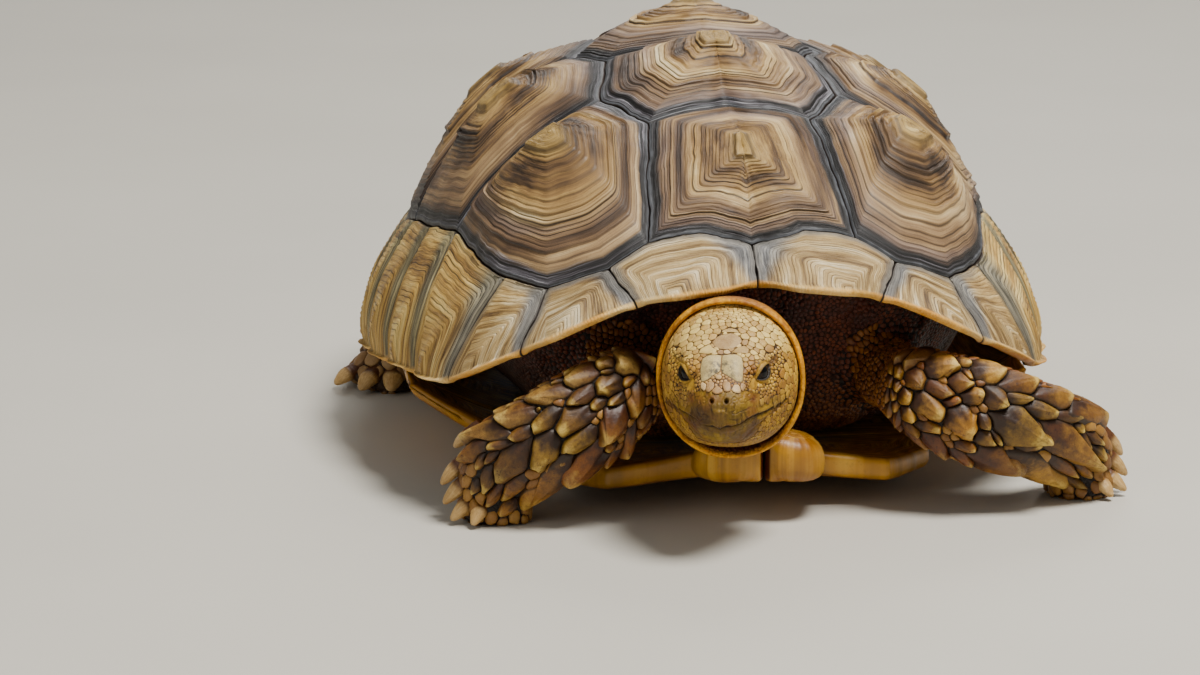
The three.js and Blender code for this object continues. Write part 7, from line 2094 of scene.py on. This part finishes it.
# ---- eyes -----------------------------------------------------------------------------------------------------------------------
def eye(sgn, node):
    n, rows, cols = 0, 40, 56
    gaze = unit(np.array([LID_N[0] * sgn, LID_N[1], LID_N[2]]))
    a = unit(np.cross(gaze, [0, 0, 1.0]))
    b = np.cross(a, gaze)
    t = np.linspace(0.0, math.pi, rows)[:, None]
    ph = (2 * math.pi * np.arange(cols) / cols)[None]
    rad_ = EYE_R + 0.55 * np.exp(-((t / 0.42) ** 4))
    q = (np.cos(t)[..., None] * gaze + (np.sin(t) * np.cos(ph))[..., None] * a + (np.sin(t) * np.sin(ph))[..., None] * b) * rad_[..., None]
    p = head(EYE_AT[0] * sgn, EYE_AT[1], EYE_AT[2]) + q[..., :1] * HEAD_S + q[..., 1:2] * HEAD_F + q[..., 2:] * HEAD_U
    b_ = Build()
    out = np.broadcast_to(t, p.shape[:2])
    uv_ = np.stack([0.5 + 0.45 * (out / math.pi) * np.cos(ph), 0.5 + 0.45 * (out / math.pi) * np.sin(ph)], -1)
    b_.add(p, [grid(rows, cols, wrap=True)], uv=uv_, out=out, spin=np.broadcast_to(ph, p.shape[:2]))
    m = Mat("eye_" + node, IOR=1.3)
    o, pos = m.attr("out"), m.position()
    iris = m.ramp(m.noise(pos, 900, 4, 0.7), [(0.3, "#0c0705"), (0.55, "#1a0f09"), (0.75, "#2c1a0f")])
    col = m.mix(m.fade(o, 0.34, 0.30), iris, "#030303")
    col = m.mix(m.fade(o, 0.66, 0.74), col, "#140c08")
    b_.mesh(node + "_ball", m.set(Base_Color=col, Roughness=m.math("ADD", 0.06, m.math("MULTIPLY", m.noise(pos, 300), 0.1))), "eye", [node])


eye(1, "eye_left")
eye(-1, "eye_right")

# ---- camera, floor and light -----------------------------------------------------------------------------------------------
def camera():
    az, el, dist = math.radians(-7.15), math.radians(12.9), 3086.0
    back = Vector((math.sin(az) * math.cos(el), -math.cos(az) * math.cos(el), math.sin(el)))
    target = Vector(metres((-62.6, 0.0, 60.4)))
    data = bpy.data.cameras.new("camera")
    data.lens, data.sensor_width = 147.81, 36.0
    data.clip_end = 200.0
    ob = bpy.data.objects.new("camera", data)
    bpy.context.scene.collection.objects.link(ob)
    ob.location = target + back * (dist * 0.001)
    ob.rotation_euler = back.to_track_quat("Z", "Y").to_euler()
    bpy.context.scene.camera = ob


def area(name, where_, size, power, tint=(1, 1, 1), aim=(0, 0, 0.1)):
    data = bpy.data.lights.new(name, "AREA")
    data.shape, data.size = "DISK", size
    data.energy, data.color = power, tint
    ob = bpy.data.objects.new(name, data)
    bpy.context.scene.collection.objects.link(ob)
    ob.location = where_
    ob.rotation_euler = (Vector(where_) - Vector(aim)).to_track_quat("Z", "Y").to_euler()


def surroundings():
    me = bpy.data.meshes.new("floor")
    me.from_pydata([(-40, -40, 0), (40, -40, 0), (40, 40, 0), (-40, 40, 0)], [], [(0, 1, 2, 3)])
    floor = bpy.data.objects.new("floor", me)
    bpy.context.scene.collection.objects.link(floor)
    m = Mat("floor_pale")
    me.materials.append(m.set(Base_Color=m.mix(m.noise(m.position(), 3, 4), "#b9b6ae", "#c6c3bb"), Roughness=0.85))
    world = bpy.data.worlds.new("studio")
    bpy.context.scene.world = world
    world.use_nodes = True
    bg = world.node_tree.nodes["Background"]
    bg.inputs[0].default_value = (0.88, 0.86, 0.82, 1)
    bg.inputs[1].default_value = 0.31
    area("key", (0.7, -0.9, 2.6), 0.95, 130, (1.0, 0.97, 0.92))
    area("fill", (-1.9, -1.6, 1.2), 1.6, 10, (1.0, 0.98, 0.94))
    area("back", (0.5, 2.2, 1.9), 1.5, 30, (1.0, 0.99, 0.97))


camera()
surroundings()
